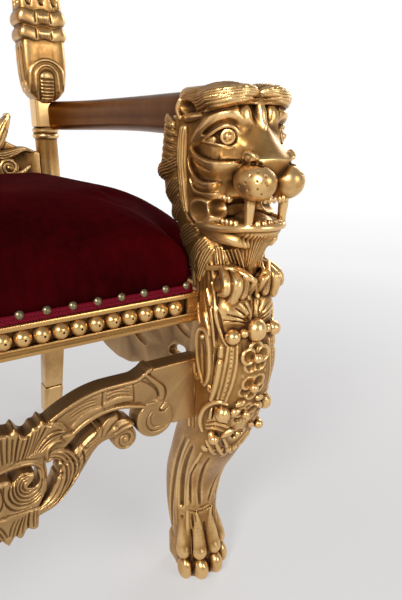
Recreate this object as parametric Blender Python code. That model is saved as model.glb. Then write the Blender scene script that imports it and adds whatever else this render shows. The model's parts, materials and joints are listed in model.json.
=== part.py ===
"""Lion throne: carved and gilded armchair with lion front legs, pierced aprons,
a domed velvet seat and a tall padded back.  Metres, +Z up, the chair faces -Y,
its own left side is +X.  The origin is under the middle of the footprint."""
import bpy
import bmesh
import math
from mathutils import Vector, Matrix, Quaternion

# ---------------------------------------------------------------- dimensions
OY = -0.0116             # shifts the design frame so the footprint is centred on the origin
GAP = 0.0004             # clearance between touching pieces

RAIL_FRONT_Y = -0.300    # front face of the front rail
RAIL_T = 0.028           # thickness of the seat rails
RAIL_Z0, RAIL_Z1 = 0.4533, 0.490
CHANNEL_H, CHANNEL_D = 0.0205, 0.007   # groove that holds the turned beads

LION_X = 0.292           # middle of each lion, from the middle of the chair
LION_HW = 0.050          # half width of the lion's body
REAR_X, REAR_Y = 0.2476, 0.262         # axis of the turned column behind
REAR_FOOT = (0.2400, 0.3850)
COLUMN_R = 0.0210
ARM_Z, ARM_H, ARM_W = 0.697, 0.050, 0.040
CONSOLE_HW, CONSOLE_HD = 0.0360, 0.0400

APRON_Y0, APRON_Y1 = -0.2980, -0.2740  # front and back face of the front apron
APRON_END = 0.2500

SEAT_CROWN = 0.6090
GIMP_H, GIMP_T = 0.0125, 0.0030
FRONT_HW = 0.2365        # half width of the seat between the lions
SIDE_HW0, SIDE_HW1 = 0.2950, 0.2590    # outer half width behind the lions, and at the back
SEAT_Y1 = 0.2340

BACK_Y = 0.2630          # middle plane of the back at seat height
BACK_RAKE = 0.045        # how far the top leans back
BACK_Z0, BACK_Z1 = 0.660, 1.470
TOP_Z = 1.800
BACK_SHOULDER_Z = 1.4404   # top of the square block on each rear post

GOLD = (0.60, 0.38, 0.15)
GOLD_DARK = (0.46, 0.27, 0.09)
VELVET = (0.10, 0.004, 0.010)
CRIMSON = (0.38, 0.010, 0.030)

# ---------------------------------------------------------------- start clean
for _o in list(bpy.data.objects):
    bpy.data.objects.remove(_o, do_unlink=True)

COLL = bpy.context.scene.collection


def material(name, rgb, rough, metal):
    m = bpy.data.materials.new(name)
    m.use_nodes = True
    b = m.node_tree.nodes["Principled BSDF"]
    b.inputs["Base Color"].default_value = (rgb[0], rgb[1], rgb[2], 1.0)
    b.inputs["Roughness"].default_value = rough
    b.inputs["Metallic"].default_value = metal
    m.diffuse_color = (rgb[0], rgb[1], rgb[2], 1.0)
    return m


def finish(bm, name, mat, smooth=True, angle=40.0):
    """Turn a bmesh in design coordinates into an object."""
    bmesh.ops.translate(bm, verts=bm.verts, vec=(0.0, OY, 0.0))
    bmesh.ops.recalc_face_normals(bm, faces=bm.faces)
    me = bpy.data.meshes.new(name)
    bm.to_mesh(me)
    bm.free()
    if smooth:
        me.shade_smooth()
        me.set_sharp_from_angle(angle=math.radians(angle))
    me.materials.append(mat)
    ob = bpy.data.objects.new(name, me)
    COLL.objects.link(ob)
    return ob


def cutter(name, boxes):
    """Hidden boxes (x0, x1, y0, y1, z0, z1) used to let one piece into another."""
    bm = bmesh.new()
    for b in boxes:
        box(bm, *b)
    bmesh.ops.translate(bm, verts=bm.verts, vec=(0.0, OY, 0.0))
    bmesh.ops.recalc_face_normals(bm, faces=bm.faces)
    me = bpy.data.meshes.new(name)
    bm.to_mesh(me)
    bm.free()
    ob = bpy.data.objects.new(name, me)
    ob.hide_render = True
    ob.display_type = 'WIRE'
    COLL.objects.link(ob)
    return ob


def envelope(name, outline, y0, y1):
    """Hidden board, an (x, z) outline between y0 and y1, that trims a carving flat."""
    bm = bmesh.new()
    prism_y(bm, outline, y0, y1)
    ob = finish(bm, name, M_GOLD, smooth=False)
    ob.hide_render = True
    ob.display_type = 'WIRE'
    return ob


def cut(ob, tool, name="let_in", op='DIFFERENCE'):
    m = ob.modifiers.new(name, 'BOOLEAN')
    m.operation = op
    m.object = tool
    m.solver = 'EXACT'
    m.use_self = op == 'UNION'
    return m


def fuse(ob, voxel, ratio, smooth=3):
    """Weld overlapping carved masses into one skin and thin it out."""
    m = ob.modifiers.new("weld", 'REMESH')
    m.mode = 'VOXEL'
    m.voxel_size = voxel
    m.use_smooth_shade = True
    if smooth:
        s = ob.modifiers.new("soften", 'SMOOTH')
        s.factor = 0.5
        s.iterations = smooth
    d = ob.modifiers.new("facets", 'DECIMATE')
    d.ratio = ratio
    return ob


# ---------------------------------------------------------------- solid helpers
def box(bm, x0, x1, y0, y1, z0, z1):
    m = Matrix.Translation(((x0 + x1) / 2, (y0 + y1) / 2, (z0 + z1) / 2)) @ Matrix.Diagonal(
        (abs(x1 - x0), abs(y1 - y0), abs(z1 - z0), 1.0))
    return bmesh.ops.create_cube(bm, size=1.0, matrix=m)["verts"]


def ball(bm, c, r, seg=16, rings=10, rot=(0.0, 0.0, 0.0)):
    """Ellipsoid with centre c, radii r and rotation in degrees."""
    if not isinstance(r, (tuple, list)):
        r = (r, r, r)
    q = (Matrix.Rotation(math.radians(rot[2]), 4, 'Z') @ Matrix.Rotation(math.radians(rot[1]), 4, 'Y')
         @ Matrix.Rotation(math.radians(rot[0]), 4, 'X'))
    m = Matrix.Translation(c) @ q @ Matrix.Diagonal((r[0], r[1], r[2], 1.0))
    bmesh.ops.create_uvsphere(bm, u_segments=seg, v_segments=rings, radius=1.0, matrix=m)


def loft(bm, rings):
    """Close a stack of equal loops with fans at both ends."""
    vs = [[bm.verts.new(p) for p in ring] for ring in rings]
    n = len(vs[0])
    for a, b in zip(vs[:-1], vs[1:]):
        for i in range(n):
            j = (i + 1) % n
            bm.faces.new((a[i], a[j], b[j], b[i]))
    for ring, flip in ((vs[0], True), (vs[-1], False)):
        c = bm.verts.new(sum((v.co for v in ring), Vector()) / n)
        for i in range(n):
            j = (i + 1) % n
            bm.faces.new((ring[j], ring[i], c) if flip else (ring[i], ring[j], c))


def superloop(cx, cy, z, hx, hy, n, e=2.0):
    """Loop in a level plane, from an ellipse (e=2) to nearly a square (e=8)."""
    out = []
    for i in range(n):
        a = 2 * math.pi * i / n
        c, s = math.cos(a), math.sin(a)
        out.append((cx + hx * math.copysign(abs(c) ** (2 / e), c),
                    cy + hy * math.copysign(abs(s) ** (2 / e), s), z))
    return out


def catmull(pts, steps):
    """Smooth curve through the given points; each point is a tuple of equal length."""
    P = [tuple(2 * a - b for a, b in zip(pts[0], pts[1]))] + list(pts) + [
        tuple(2 * a - b for a, b in zip(pts[-1], pts[-2]))]
    out = []
    for k in range(1, len(P) - 2):
        for i in range(steps):
            t = i / steps
            out.append(tuple(0.5 * (2 * p1 + (p2 - p0) * t + (2 * p0 - 5 * p1 + 4 * p2 - p3) * t * t
                                    + (3 * p1 - p0 - 3 * p2 + p3) * t ** 3)
                             for p0, p1, p2, p3 in zip(P[k - 1], P[k], P[k + 1], P[k + 2])))
    out.append(tuple(pts[-1]))
    return out


def rope(bm, pts, seg=10, steps=4, up=(0.0, 1.0, 0.0), e=2.0, ends=True):
    """Swept solid through (x, y, z, half width, half depth) with rounded ends.
    The depth lies along `up`, the width across it."""
    c = catmull(pts, steps)
    u = Vector(up).normalized()
    rings = []
    n = len(c)
    for i, p in enumerate(c):
        a = Vector(c[max(i - 1, 0)][:3])
        b = Vector(c[min(i + 1, n - 1)][:3])
        t = (b - a).normalized()
        w = t.cross(u)
        w.normalize()
        d = w.cross(t)
        rings.append((Vector(p[:3]), w, d, t, max(p[3], 2e-4), max(p[4], 2e-4)))
    full = []
    if ends:
        o, w, d, t, hw, hd = rings[0]
        full += [(o - t * min(hw, hd) * math.sin(k), w, d, hw * math.cos(k), hd * math.cos(k)) for k in (1.35, 0.75)]
    full += [(o, w, d, hw, hd) for o, w, d, t, hw, hd in rings]
    if ends:
        o, w, d, t, hw, hd = rings[-1]
        full += [(o + t * min(hw, hd) * math.sin(k), w, d, hw * math.cos(k), hd * math.cos(k)) for k in (0.75, 1.35)]
    loops = []
    for o, w, d, hw, hd in full:
        loop = []
        for k in range(seg):
            a = 2 * math.pi * k / seg
            ca, sa = math.cos(a), math.sin(a)
            loop.append(o + w * hw * math.copysign(abs(ca) ** (2 / e), ca)
                        + d * hd * math.copysign(abs(sa) ** (2 / e), sa))
        loops.append(loop)
    loft(bm, loops)


def stroke(bm, pts, y, depth, seg=8, steps=3, mirror=(1,)):
    """Carved ridge in the X-Z plane: pts are (x, z, half width)."""
    for s in mirror:
        rope(bm, [(s * x, y, z, w, depth) for x, z, w in pts], seg=seg, steps=steps)


def disc(bm, x, z, r, y0, y1, seg=20):
    m = Matrix.Translation((x, (y0 + y1) / 2, z)) @ Matrix.Rotation(math.radians(90), 4, 'X')
    bmesh.ops.create_cone(bm, cap_ends=True, segments=seg, radius1=r, radius2=r, depth=abs(y1 - y0), matrix=m)


def prism_y(bm, outline, y0, y1):
    """Closed board: an (x, z) outline given thickness along Y."""
    a = [bm.verts.new((x, y0, z)) for x, z in outline]
    b = [bm.verts.new((x, y1, z)) for x, z in outline]
    n = len(a)
    f = [bm.faces.new(a), bm.faces.new(list(reversed(b)))]
    for i in range(n):
        j = (i + 1) % n
        bm.faces.new((a[j], a[i], b[i], b[j]))
    bmesh.ops.triangulate(bm, faces=f)


# ---------------------------------------------------------------- materials
M_GOLD = material("gilded_wood", GOLD, 0.38, 0.75)
M_GOLD2 = material("gilded_wood_arm", GOLD_DARK, 0.40, 0.75)
M_VELVET = material("burgundy_velvet", VELVET, 0.85, 0.0)
M_BACKV = material("burgundy_backing", VELVET, 0.9, 0.0)
M_CRIMSON = material("crimson_gimp", CRIMSON, 0.8, 0.0)


# ---------------------------------------------------------------- front legs: carved lions
# Body and leg, bottom to top: height, middle in Y, half width, half depth
LION_BODY = (
    (-0.006, -0.2270, 0.0330, 0.0350), (0.045, -0.2260, 0.0350, 0.0360), (0.075, -0.2170, 0.0345, 0.0340),
    (0.110, -0.2130, 0.0350, 0.0340), (0.145, -0.2150, 0.0365, 0.0360), (0.180, -0.2220, 0.0390, 0.0400),
    (0.225, -0.2440, 0.0440, 0.0460), (0.265, -0.2640, 0.0465, 0.0490), (0.305, -0.2830, 0.0480, 0.0500),
    (0.350, -0.2990, 0.0500, 0.0520), (0.395, -0.3080, 0.0500, 0.0550), (0.440, -0.3080, 0.0500, 0.0530),
    (0.480, -0.3040, 0.0480, 0.0480), (0.515, -0.2980, 0.0440, 0.0460), (0.550, -0.2900, 0.0450, 0.0500),
    (0.585, -0.2830, 0.0490, 0.0470), (0.615, -0.2700, 0.0500, 0.0540), (0.650, -0.2600, 0.0490, 0.0500))


def lion_post(side, name):
    s = 1 if side == "left" else -1
    X = s * LION_X
    bm = bmesh.new()
    body = catmull(LION_BODY, 2)
    loft(bm, [superloop(X, y, z, hx, hy, 20, 2.5) for z, y, hx, hy in body])
    # square block where the rails and the apron are let in
    box(bm, X - LION_HW, X + LION_HW, -0.3080, -0.2560, 0.340, 0.500)
    # paw: heel, pad and four toes with a knuckle each
    ball(bm, (X, -0.2130, 0.030), (0.0350, 0.0300, 0.0330))
    for dx, dy in ((-0.0290, 0.014), (-0.0105, 0.0), (0.0105, 0.0), (0.0290, 0.014)):
        ball(bm, (X + dx, -0.2480 + dy, 0.0200), (0.0120, 0.0250, 0.0220), 12, 8)
        ball(bm, (X + dx * 0.95, -0.2440 + dy, 0.0460), (0.0110, 0.0190, 0.0170), 12, 8)
        rope(bm, [(X + dx * 0.9, -0.2420 + dy, 0.052, 0.010, 0.010), (X + dx * 0.8, -0.2350 + dy * 0.8, 0.085, 0.009, 0.009),
                  (X + dx * 0.75, -0.2340 + dy * 0.6, 0.120, 0.006, 0.006)], seg=8, steps=2)
    # long muscles down the leg
    for dx in (-0.030, 0.0, 0.030):
        rope(bm, [(X + dx, -0.2900 + abs(dx) * 0.5, 0.262, 0.008, 0.010), (X + dx * 0.95, -0.2520 + abs(dx) * 0.5, 0.190, 0.009, 0.010),
                  (X + dx * 0.9, -0.2440 + abs(dx) * 0.5, 0.120, 0.008, 0.008)], seg=8, steps=2)
    # head: skull, hair cap, brows, nose, muzzle, cheeks, jaw
    ball(bm, (X, -0.2880, 0.6560), (0.0530, 0.0640, 0.0600), 20, 12)
    ball(bm, (X, -0.2860, 0.7060), (0.0550, 0.0640, 0.0200), 20, 10, (-4, 0, 0))
    for d in (-1, 1):
        ball(bm, (X + d * 0.0270, -0.3060, 0.7130), (0.0300, 0.0420, 0.0130), 12, 8, (-8, 0, 0))
        ball(bm, (X + d * 0.0340, -0.3360, 0.6850), (0.0180, 0.0150, 0.0080), 12, 8, (0, d * 14, 0))
        ball(bm, (X + d * 0.0120, -0.3400, 0.6900), (0.0090, 0.0130, 0.0080), 12, 8)
        ball(bm, (X + d * 0.0380, -0.3360, 0.6690), (0.0120, 0.0110, 0.0095), 12, 8)
        ball(bm, (X + d * 0.0210, -0.3580, 0.6260), (0.0190, 0.0230, 0.0175), 14, 9)
        ball(bm, (X + d * 0.0430, -0.3140, 0.6500), (0.0110, 0.0380, 0.0105), 12, 8, (12, 0, 0))
        ball(bm, (X + d * 0.0430, -0.2960, 0.6330), (0.0120, 0.0340, 0.0110), 12, 8, (16, 0, 0))
        ball(bm, (X + d * 0.0400, -0.2980, 0.5920), (0.0120, 0.0260, 0.0150), 12, 8)
        rope(bm, [(X + d * 0.0420, -0.3000, 0.5860, 0.009, 0.010), (X + d * 0.0360, -0.3400, 0.5800, 0.008, 0.009),
                  (X + d * 0.0220, -0.3680, 0.5790, 0.008, 0.009), (X, -0.3740, 0.5790, 0.008, 0.009)], seg=8, up=(0, 0, 1))
        rope(bm, [(X + d * 0.0240, -0.3600, 0.6180, 0.0048, 0.0048), (X + d * 0.0235, -0.3620, 0.5840, 0.0040, 0.0040)],
             seg=8, steps=2)
        # locks of the mane
        rope(bm, [(X + d * 0.0500, -0.2700, 0.6900, 0.010, 0.014), (X + d * 0.0540, -0.2500, 0.6400, 0.012, 0.018),
                  (X + d * 0.0500, -0.2640, 0.5850, 0.010, 0.018), (X + d * 0.0380, -0.2920, 0.5400, 0.006, 0.012)],
             seg=10, up=(0, 1, 0))
    rope(bm, [(X, -0.3360, 0.6860, 0.014, 0.013), (X, -0.3560, 0.6740, 0.011, 0.010), (X, -0.3700, 0.6560, 0.016, 0.010),
              (X, -0.3740, 0.6480, 0.020, 0.009)], seg=12, steps=3, up=(0, 1, 0))
    ball(bm, (X, -0.3380, 0.6440), (0.0330, 0.0330, 0.0180))
    ball(bm, (X, -0.3300, 0.5720), (0.0300, 0.0440, 0.0100))
    ball(bm, (X, -0.3320, 0.5600), (0.0220, 0.0340, 0.0260), 14, 9)
    # neck boss that meets the arm
    box(bm, X - 0.0240, X + 0.0240, -0.2600, -0.2130, 0.6670, 0.7270)
    # drapery of two lobed leaves, a bead garland, flowers and a bottom scroll
    for d in (-1, 1):
        ball(bm, (X + d * 0.0240, -0.3420, 0.5060), (0.0160, 0.0100, 0.0160), 12, 8)
        rope(bm, [(X + d * 0.0120, -0.3460, 0.5150, 0.007, 0.006), (X + d * 0.0250, -0.3500, 0.5000, 0.009, 0.006),
                  (X + d * 0.0350, -0.3490, 0.4850, 0.004, 0.005)], seg=8, steps=2)
        rope(bm, [(X + d * 0.0450, -0.3300, 0.4950, 0.006, 0.008), (X + d * 0.0480, -0.3380, 0.4400, 0.006, 0.008),
                  (X + d * 0.0460, -0.3300, 0.3700, 0.006, 0.008), (X + d * 0.0380, -0.3150, 0.3300, 0.008, 0.008)],
             seg=8, steps=3)
        ball(bm, (X + d * 0.0340, -0.3500, 0.4490), 0.0098, 12, 8)
        ball(bm, (X + d * 0.0200, -0.3540, 0.4520), 0.0060, 10, 7)
        ball(bm, (X + d * 0.0220, -0.3480, 0.3760), (0.0120, 0.0100, 0.0120), 12, 8)
        ball(bm, (X + d * 0.0300, -0.3260, 0.3380), (0.0120, 0.0110, 0.0110), 12, 8)
    ball(bm, (X, -0.3560, 0.4520), 0.0135, 14, 9)
    ball(bm, (X, -0.3600, 0.4210), (0.0190, 0.0110, 0.0190), 14, 9)
    ball(bm, (X, -0.3560, 0.3840), (0.0170, 0.0110, 0.0170), 14, 9)
    ball(bm, (X, -0.3420, 0.3480), (0.0160, 0.0120, 0.0160), 14, 9)
    ball(bm, (X, -0.3180, 0.3120), (0.0300, 0.0160, 0.0180), 14, 9)
    ob = finish(bm, name, M_GOLD)
    fuse(ob, 0.0040, 0.027, 2)
    xi = X - s * LION_HW            # inner face
    a, b = sorted((xi + s * 0.0080, xi - s * 0.0300))
    tools = [
        (a - GAP, b + GAP, RAIL_FRONT_Y - GAP, RAIL_FRONT_Y + RAIL_T + GAP, RAIL_Z0 - GAP, RAIL_Z1 + GAP),      # front rail
        (a - GAP, b + GAP, APRON_Y0 - GAP, APRON_Y1 + GAP, 0.3200, 0.4040 + GAP),                              # front apron
        (X - 0.030, X + 0.030, -0.2700, -0.2000, RAIL_Z0 - 0.20, RAIL_Z1 + GAP),                               # side rail and apron
        (X - 0.070, X + 0.070, -0.2130 - GAP, -0.1500, 0.6600, 0.7400),                                        # arm
        (X - 0.080, X + 0.080, -0.4000, -0.1000, -0.0500, 0.0),                                                # sole
        (X - 0.0300, X + 0.0300, -0.4100, -0.3340, 0.5900, 0.6060),                                            # open mouth
    ]
    c, d = sorted((X - s * 0.0220, X + s * 0.0085))
    tools[2] = (c, d, -0.2620, -0.2000, 0.3300, RAIL_Z1 + GAP)
    t = cutter("lion_tool_" + side, tools[:5])
    cut(ob, t)
    return ob


lion_post("left", "lion_post_left")
lion_post("right", "lion_post_right")


# ---------------------------------------------------------------- rear posts
def rear_centre(z):
    """Middle of the rear post at height z: raked leg, upright column, leaning stile."""
    if z < RAIL_Z0:
        t = 1.0 - z / RAIL_Z0
        k = t ** 1.35
        return REAR_X + (REAR_FOOT[0] - REAR_X) * k, REAR_Y + (REAR_FOOT[1] - REAR_Y) * k
    if z < 0.90:
        return REAR_X, REAR_Y
    return REAR_X, REAR_Y + BACK_RAKE * ((z - 0.90) / (TOP_Z - 0.90)) ** 1.2


def rear_post(side, name):
    s = 1 if side == "left" else -1
    n = 8
    rings = []

    def ring(z, hx, hy=None, e=2.0, dy=0.0):
        x, y = rear_centre(z)
        rings.append(superloop(s * x, y + dy, z, hx, hx if hy is None else hy, n, e))

    # raked square leg with a small step above the foot
    for z, h in ((0.000, 0.0205), (0.077, 0.0225), (0.082, 0.0212), (0.160, 0.0230), (0.260, 0.0250), (0.360, 0.0265),
                 (0.453, 0.0270), (0.5020, 0.0270)):
        ring(z, h, None, 7.0)
    # turned column with two rings
    for z, r in ((0.503, 0.0235), (0.512, 0.0235), (0.518, COLUMN_R), (0.653, COLUMN_R), (0.6550, 0.0250), (0.6620, 0.0250),
                 (0.6645, 0.0220), (0.6670, 0.0245), (0.6725, 0.0245)):
        ring(z, r, None, 2.0)
    # square block that takes the arm
    ring(0.676, 0.0210, None, 8.0)
    ring(0.7270, 0.0210, None, 8.0)
    # console: round-bottomed block, two ribbed rolls, fluted shaft
    for z, k in ((0.7285, 0.60), (0.735, 0.78), (0.750, 0.92), (0.785, 1.0), (0.815, 0.99)):
        ring(z, CONSOLE_HW * k, CONSOLE_HD * (0.72 + 0.28 * k), 6.0)
    for zc, hr in ((0.8330, 0.0105), (0.8590, 0.0120)):
        for a, k in ((-1.0, 0.94), (-0.60, 1.08), (0.60, 1.08)):
            ring(zc + hr * a, CONSOLE_HW * k, CONSOLE_HD * k, 5.0)
    for z, k in ((0.8730, 0.95), (0.960, 0.95)):
        ring(z, CONSOLE_HW * k, CONSOLE_HD * k, 6.0)
    # small cornice, then a slimmer stile to the cresting
    for z, k in ((0.966, 1.08), (0.982, 1.08), (0.994, 0.74)):
        ring(z, CONSOLE_HW * k, CONSOLE_HW * k, 5.0)
    for z, r in ((1.004, 0.0235), (1.022, 0.0215), (1.080, 0.0240), (1.200, 0.0225), (1.330, 0.0205),
                 (1.336, 0.0240), (1.350, 0.0240)):
        ring(z, r, None, 2.0)
    ring(1.356, 0.0250, None, 8.0)
    ring(1.440, 0.0250, None, 8.0)
    # capital and pine-cone finial
    for z, r in ((1.446, 0.0305), (1.456, 0.0305), (1.466, 0.0175), (1.482, 0.0270), (1.506, 0.0330),
                 (1.534, 0.0310), (1.562, 0.0220), (1.590, 0.0080)):
        ring(z, r, None, 2.0)
    bm = bmesh.new()
    loft(bm, rings)
    return finish(bm, name, M_GOLD, angle=35)


rear_post("left", "rear_post_left")
rear_post("right", "rear_post_right")


# ---------------------------------------------------------------- arms
ARM_PATH = ((0.2920, -0.2130), (0.2990, -0.1500), (0.3050, -0.0600), (0.3060, 0.0400), (0.3000, 0.1300),
            (0.2880, 0.1950), (0.2700, 0.2395))


def arm(side, name):
    s = 1 if side == "left" else -1
    pts = []
    hs = (0.0285, 0.0260, 0.0245, 0.0240, 0.0240, 0.0245, 0.0240)
    ws = (0.0230, 0.0215, 0.0205, 0.0200, 0.0190, 0.0170, 0.0150)
    for (x, y), h, w in zip(ARM_PATH, hs, ws):
        pts.append((s * x, y, ARM_Z, w, h))
    bm = bmesh.new()
    rope(bm, pts, seg=12, steps=2, up=(0.0, 0.0, 1.0), e=3.2, ends=False)
    # the rear end laps the block of the post
    ob = finish(bm, name, M_GOLD2, angle=50)
    x0, x1 = sorted((s * (REAR_X - 0.060), s * (REAR_X + 0.0216)))
    t = cutter("arm_tool_" + side, [
        (x0, x1, REAR_Y - 0.0216, REAR_Y + 0.06, 0.600, 0.800),
        (X2 := s * LION_X - 0.060, s * LION_X + 0.060, -0.300, -0.2126, 0.600, 0.800)])
    cut(ob, t)
    return ob


arm("left", "arm_left")
arm("right", "arm_right")


# ---------------------------------------------------------------- seat rails
def rail_line(y):
    """Middle of the side rail across the chair, as |x| at depth y."""
    t = (y + 0.262) / (0.236 + 0.262)
    return 0.2850 + (0.2500 - 0.2850) * t


def front_rail():
    bm = bmesh.new()
    box(bm, -APRON_END, APRON_END, RAIL_FRONT_Y, RAIL_FRONT_Y + RAIL_T, RAIL_Z0, RAIL_Z1)
    bmesh.ops.bevel(bm, geom=[e for e in bm.edges if abs(e.verts[0].co.x - e.verts[1].co.x) > 0.1],
                    offset=0.0022, segments=2, affect='EDGES')
    ob = finish(bm, "seat_rail_front", M_GOLD, angle=30)
    zc = 0.4764
    t = cutter("front_channel", [(-0.2330, 0.2330, RAIL_FRONT_Y - 0.02, RAIL_FRONT_Y + CHANNEL_D,
                                  zc - CHANNEL_H / 2, zc + CHANNEL_H / 2)])
    cut(ob, t, "bead_channel")
    return ob


def side_rail(side, name):
    s = 1 if side == "left" else -1
    bm = bmesh.new()
    y0, y1 = -0.2616, REAR_Y - 0.0270 - GAP
    q = []
    for y, o in ((y0, -1), (y0, 1), (y1, 1), (y1, -1)):
        q.append((s * (rail_line(y) + o * RAIL_T / 2), y))
    a = [bm.verts.new((x, y, RAIL_Z0)) for x, y in q]
    b = [bm.verts.new((x, y, RAIL_Z1)) for x, y in q]
    bm.faces.new(a)
    bm.faces.new(list(reversed(b)))
    for i in range(4):
        j = (i + 1) % 4
        bm.faces.new((a[i], b[i], b[j], a[j]))
    bmesh.ops.recalc_face_normals(bm, faces=bm.faces)
    bmesh.ops.bevel(bm, geom=[e for e in bm.edges if abs(e.verts[0].co.y - e.verts[1].co.y) > 0.1],
                    offset=0.0022, segments=1, affect='EDGES')
    ob = finish(bm, name, M_GOLD, angle=30)
    # bead channel along the outer face
    bm = bmesh.new()
    zc = 0.4764
    q = []
    for y, o in ((-0.2500, RAIL_T / 2 - CHANNEL_D), (-0.2500, RAIL_T), (0.2230, RAIL_T), (0.2230, RAIL_T / 2 - CHANNEL_D)):
        q.append((s * (rail_line(y) + o), y))
    a = [bm.verts.new((x, y, zc - CHANNEL_H / 2)) for x, y in q]
    b = [bm.verts.new((x, y, zc + CHANNEL_H / 2)) for x, y in q]
    bm.faces.new(a)
    bm.faces.new(list(reversed(b)))
    for i in range(4):
        j = (i + 1) % 4
        bm.faces.new((a[i], b[i], b[j], a[j]))
    t = finish(bm, "side_channel_" + side, M_GOLD, smooth=False)
    t.hide_render = True
    t.display_type = 'WIRE'
    cut(ob, t, "bead_channel")
    return ob


def rear_rail():
    bm = bmesh.new()
    x = REAR_X - 0.0270 - GAP
    box(bm, -x, x, REAR_Y - 0.0130, REAR_Y + 0.0150, RAIL_Z0 - 0.020, RAIL_Z1)
    bmesh.ops.bevel(bm, geom=[e for e in bm.edges if abs(e.verts[0].co.x - e.verts[1].co.x) > 0.1],
                    offset=0.0022, segments=1, affect='EDGES')
    return finish(bm, "seat_rail_rear", M_GOLD, angle=30)


front_rail()
side_rail("left", "seat_rail_left")
side_rail("right", "seat_rail_right")
rear_rail()


# ---------------------------------------------------------------- front apron: pierced acanthus
def spiral(x, z, r0, r1, a0, turns, n, w0, w1, hand=1):
    """Points of a scroll that winds inwards, as (x, z, half width)."""
    out = []
    for i in range(n + 1):
        t = i / n
        a = math.radians(a0) + hand * 2 * math.pi * turns * t
        r = r0 + (r1 - r0) * t
        out.append((x + r * math.cos(a), z + r * math.sin(a), w0 + (w1 - w0) * t))
    return out


def front_apron():
    bm = bmesh.new()
    ym, hd = (APRON_Y0 + APRON_Y1) / 2, (APRON_Y1 - APRON_Y0) / 2 - 0.0006
    ya, yb = ym - hd, ym + hd
    both = (-1, 1)
    # arched bar from the fan of leaves to the leg
    stroke(bm, [(0.060, 0.3580, 0.0170), (0.085, 0.3670, 0.0190), (0.115, 0.3770, 0.0180), (0.145, 0.3790, 0.0175),
                (0.175, 0.3780, 0.0220)], ym, hd, steps=3, mirror=both)
    for s in both:
        # plain shoulder beside the leg, and the big scroll under it
        x0, x1 = sorted((s * 0.184, s * APRON_END))
        prism_y(bm, [(x0, 0.3380), (x1, 0.3380), (x1, 0.4025), (x0, 0.4025)], ya, yb)
        x0, x1 = sorted((s * 0.200, s * 0.2420))
        prism_y(bm, [(x0, 0.3180), (x1, 0.3240), (x1, 0.3450), (x0, 0.3450)], ya + 0.002, yb)
        disc(bm, s * 0.1880, 0.3355, 0.0262, ya, yb, 22)
        disc(bm, s * 0.1460, 0.3210, 0.0155, ya + 0.001, yb - 0.002, 18)
        # small leaf over the lower branch
        ball(bm, (s * 0.1300, ym, 0.3420), (0.0150, hd, 0.0125), 12, 8)
        ball(bm, (s * 0.1545, ym, 0.3345), (0.0140, hd, 0.0115), 12, 8)
        # centre volute
        disc(bm, s * 0.0215, 0.2930, 0.0225, ya, yb - 0.003, 20)
    # lower branch sweeping up to the small scroll
    stroke(bm, [(0.034, 0.2660, 0.0090), (0.055, 0.2760, 0.0110), (0.072, 0.2980, 0.0130), (0.090, 0.3220, 0.0140),
                (0.112, 0.3360, 0.0140), (0.134, 0.3330, 0.0120)], ym, hd, steps=3, mirror=both)
    # strand on the outer side of the centre volute
    stroke(bm, [(0.084, 0.3180, 0.0100), (0.072, 0.3310, 0.0085), (0.056, 0.3340, 0.0070), (0.047, 0.3220, 0.0060),
                (0.0445, 0.3050, 0.0050), (0.0390, 0.2850, 0.0050)], ym, hd * 0.9, steps=3, mirror=both)
    # hood over the volute
    stroke(bm, [(0.000, 0.3290, 0.0060), (0.018, 0.3320, 0.0065), (0.036, 0.3290, 0.0070), (0.048, 0.3380, 0.0090),
                (0.062, 0.3480, 0.0110)], ym, hd, steps=3, mirror=both)
    # fan of leaves on top
    for x0, x1, z1, w in ((0.002, 0.000, 0.3720, 0.0090), (0.008, 0.0160, 0.3740, 0.0085), (0.020, 0.0330, 0.3690, 0.0075),
                          (0.030, 0.0480, 0.3730, 0.0085), (0.036, 0.0630, 0.3680, 0.0100)):
        stroke(bm, [(x0, 0.3300, w * 0.7), ((x0 + x1) / 2, 0.3500, w), (x1, z1 - w * 0.4, w * 0.75)], ym, hd * 0.95,
               steps=2, mirror=both if x1 else (1,))
    # hanging leaf
    for x0, x1, z1, w in ((0.004, 0.0000, 0.2420, 0.0105), (0.014, 0.0120, 0.2440, 0.0085), (0.024, 0.0270, 0.2490, 0.0080)):
        stroke(bm, [(x0, 0.2860, w * 0.8), ((x0 + x1) / 2, 0.2650, w), (x1, z1, w * 0.8)], ym, hd * 0.9,
               steps=2, mirror=both if x1 else (1,))
    ob = finish(bm, "front_apron", M_GOLD, angle=40)
    fuse(ob, 0.0025, 0.0160, 1)
    x, xl = APRON_END, LION_X - LION_HW - 0.0016
    right = [(0.0, 0.2200), (xl, 0.2200), (xl, 0.3207), (x, 0.3207), (x, 0.4300), (0.0, 0.4300)]
    t = envelope("apron_trim", right + [(-px, pz) for px, pz in reversed(right[1:-1])], APRON_Y0 - 0.006, APRON_Y1 + 0.006)
    cut(ob, t, "trim", 'INTERSECT')
    return ob


front_apron()


# ---------------------------------------------------------------- side aprons
SIDE_APRON_T = 0.018


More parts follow.
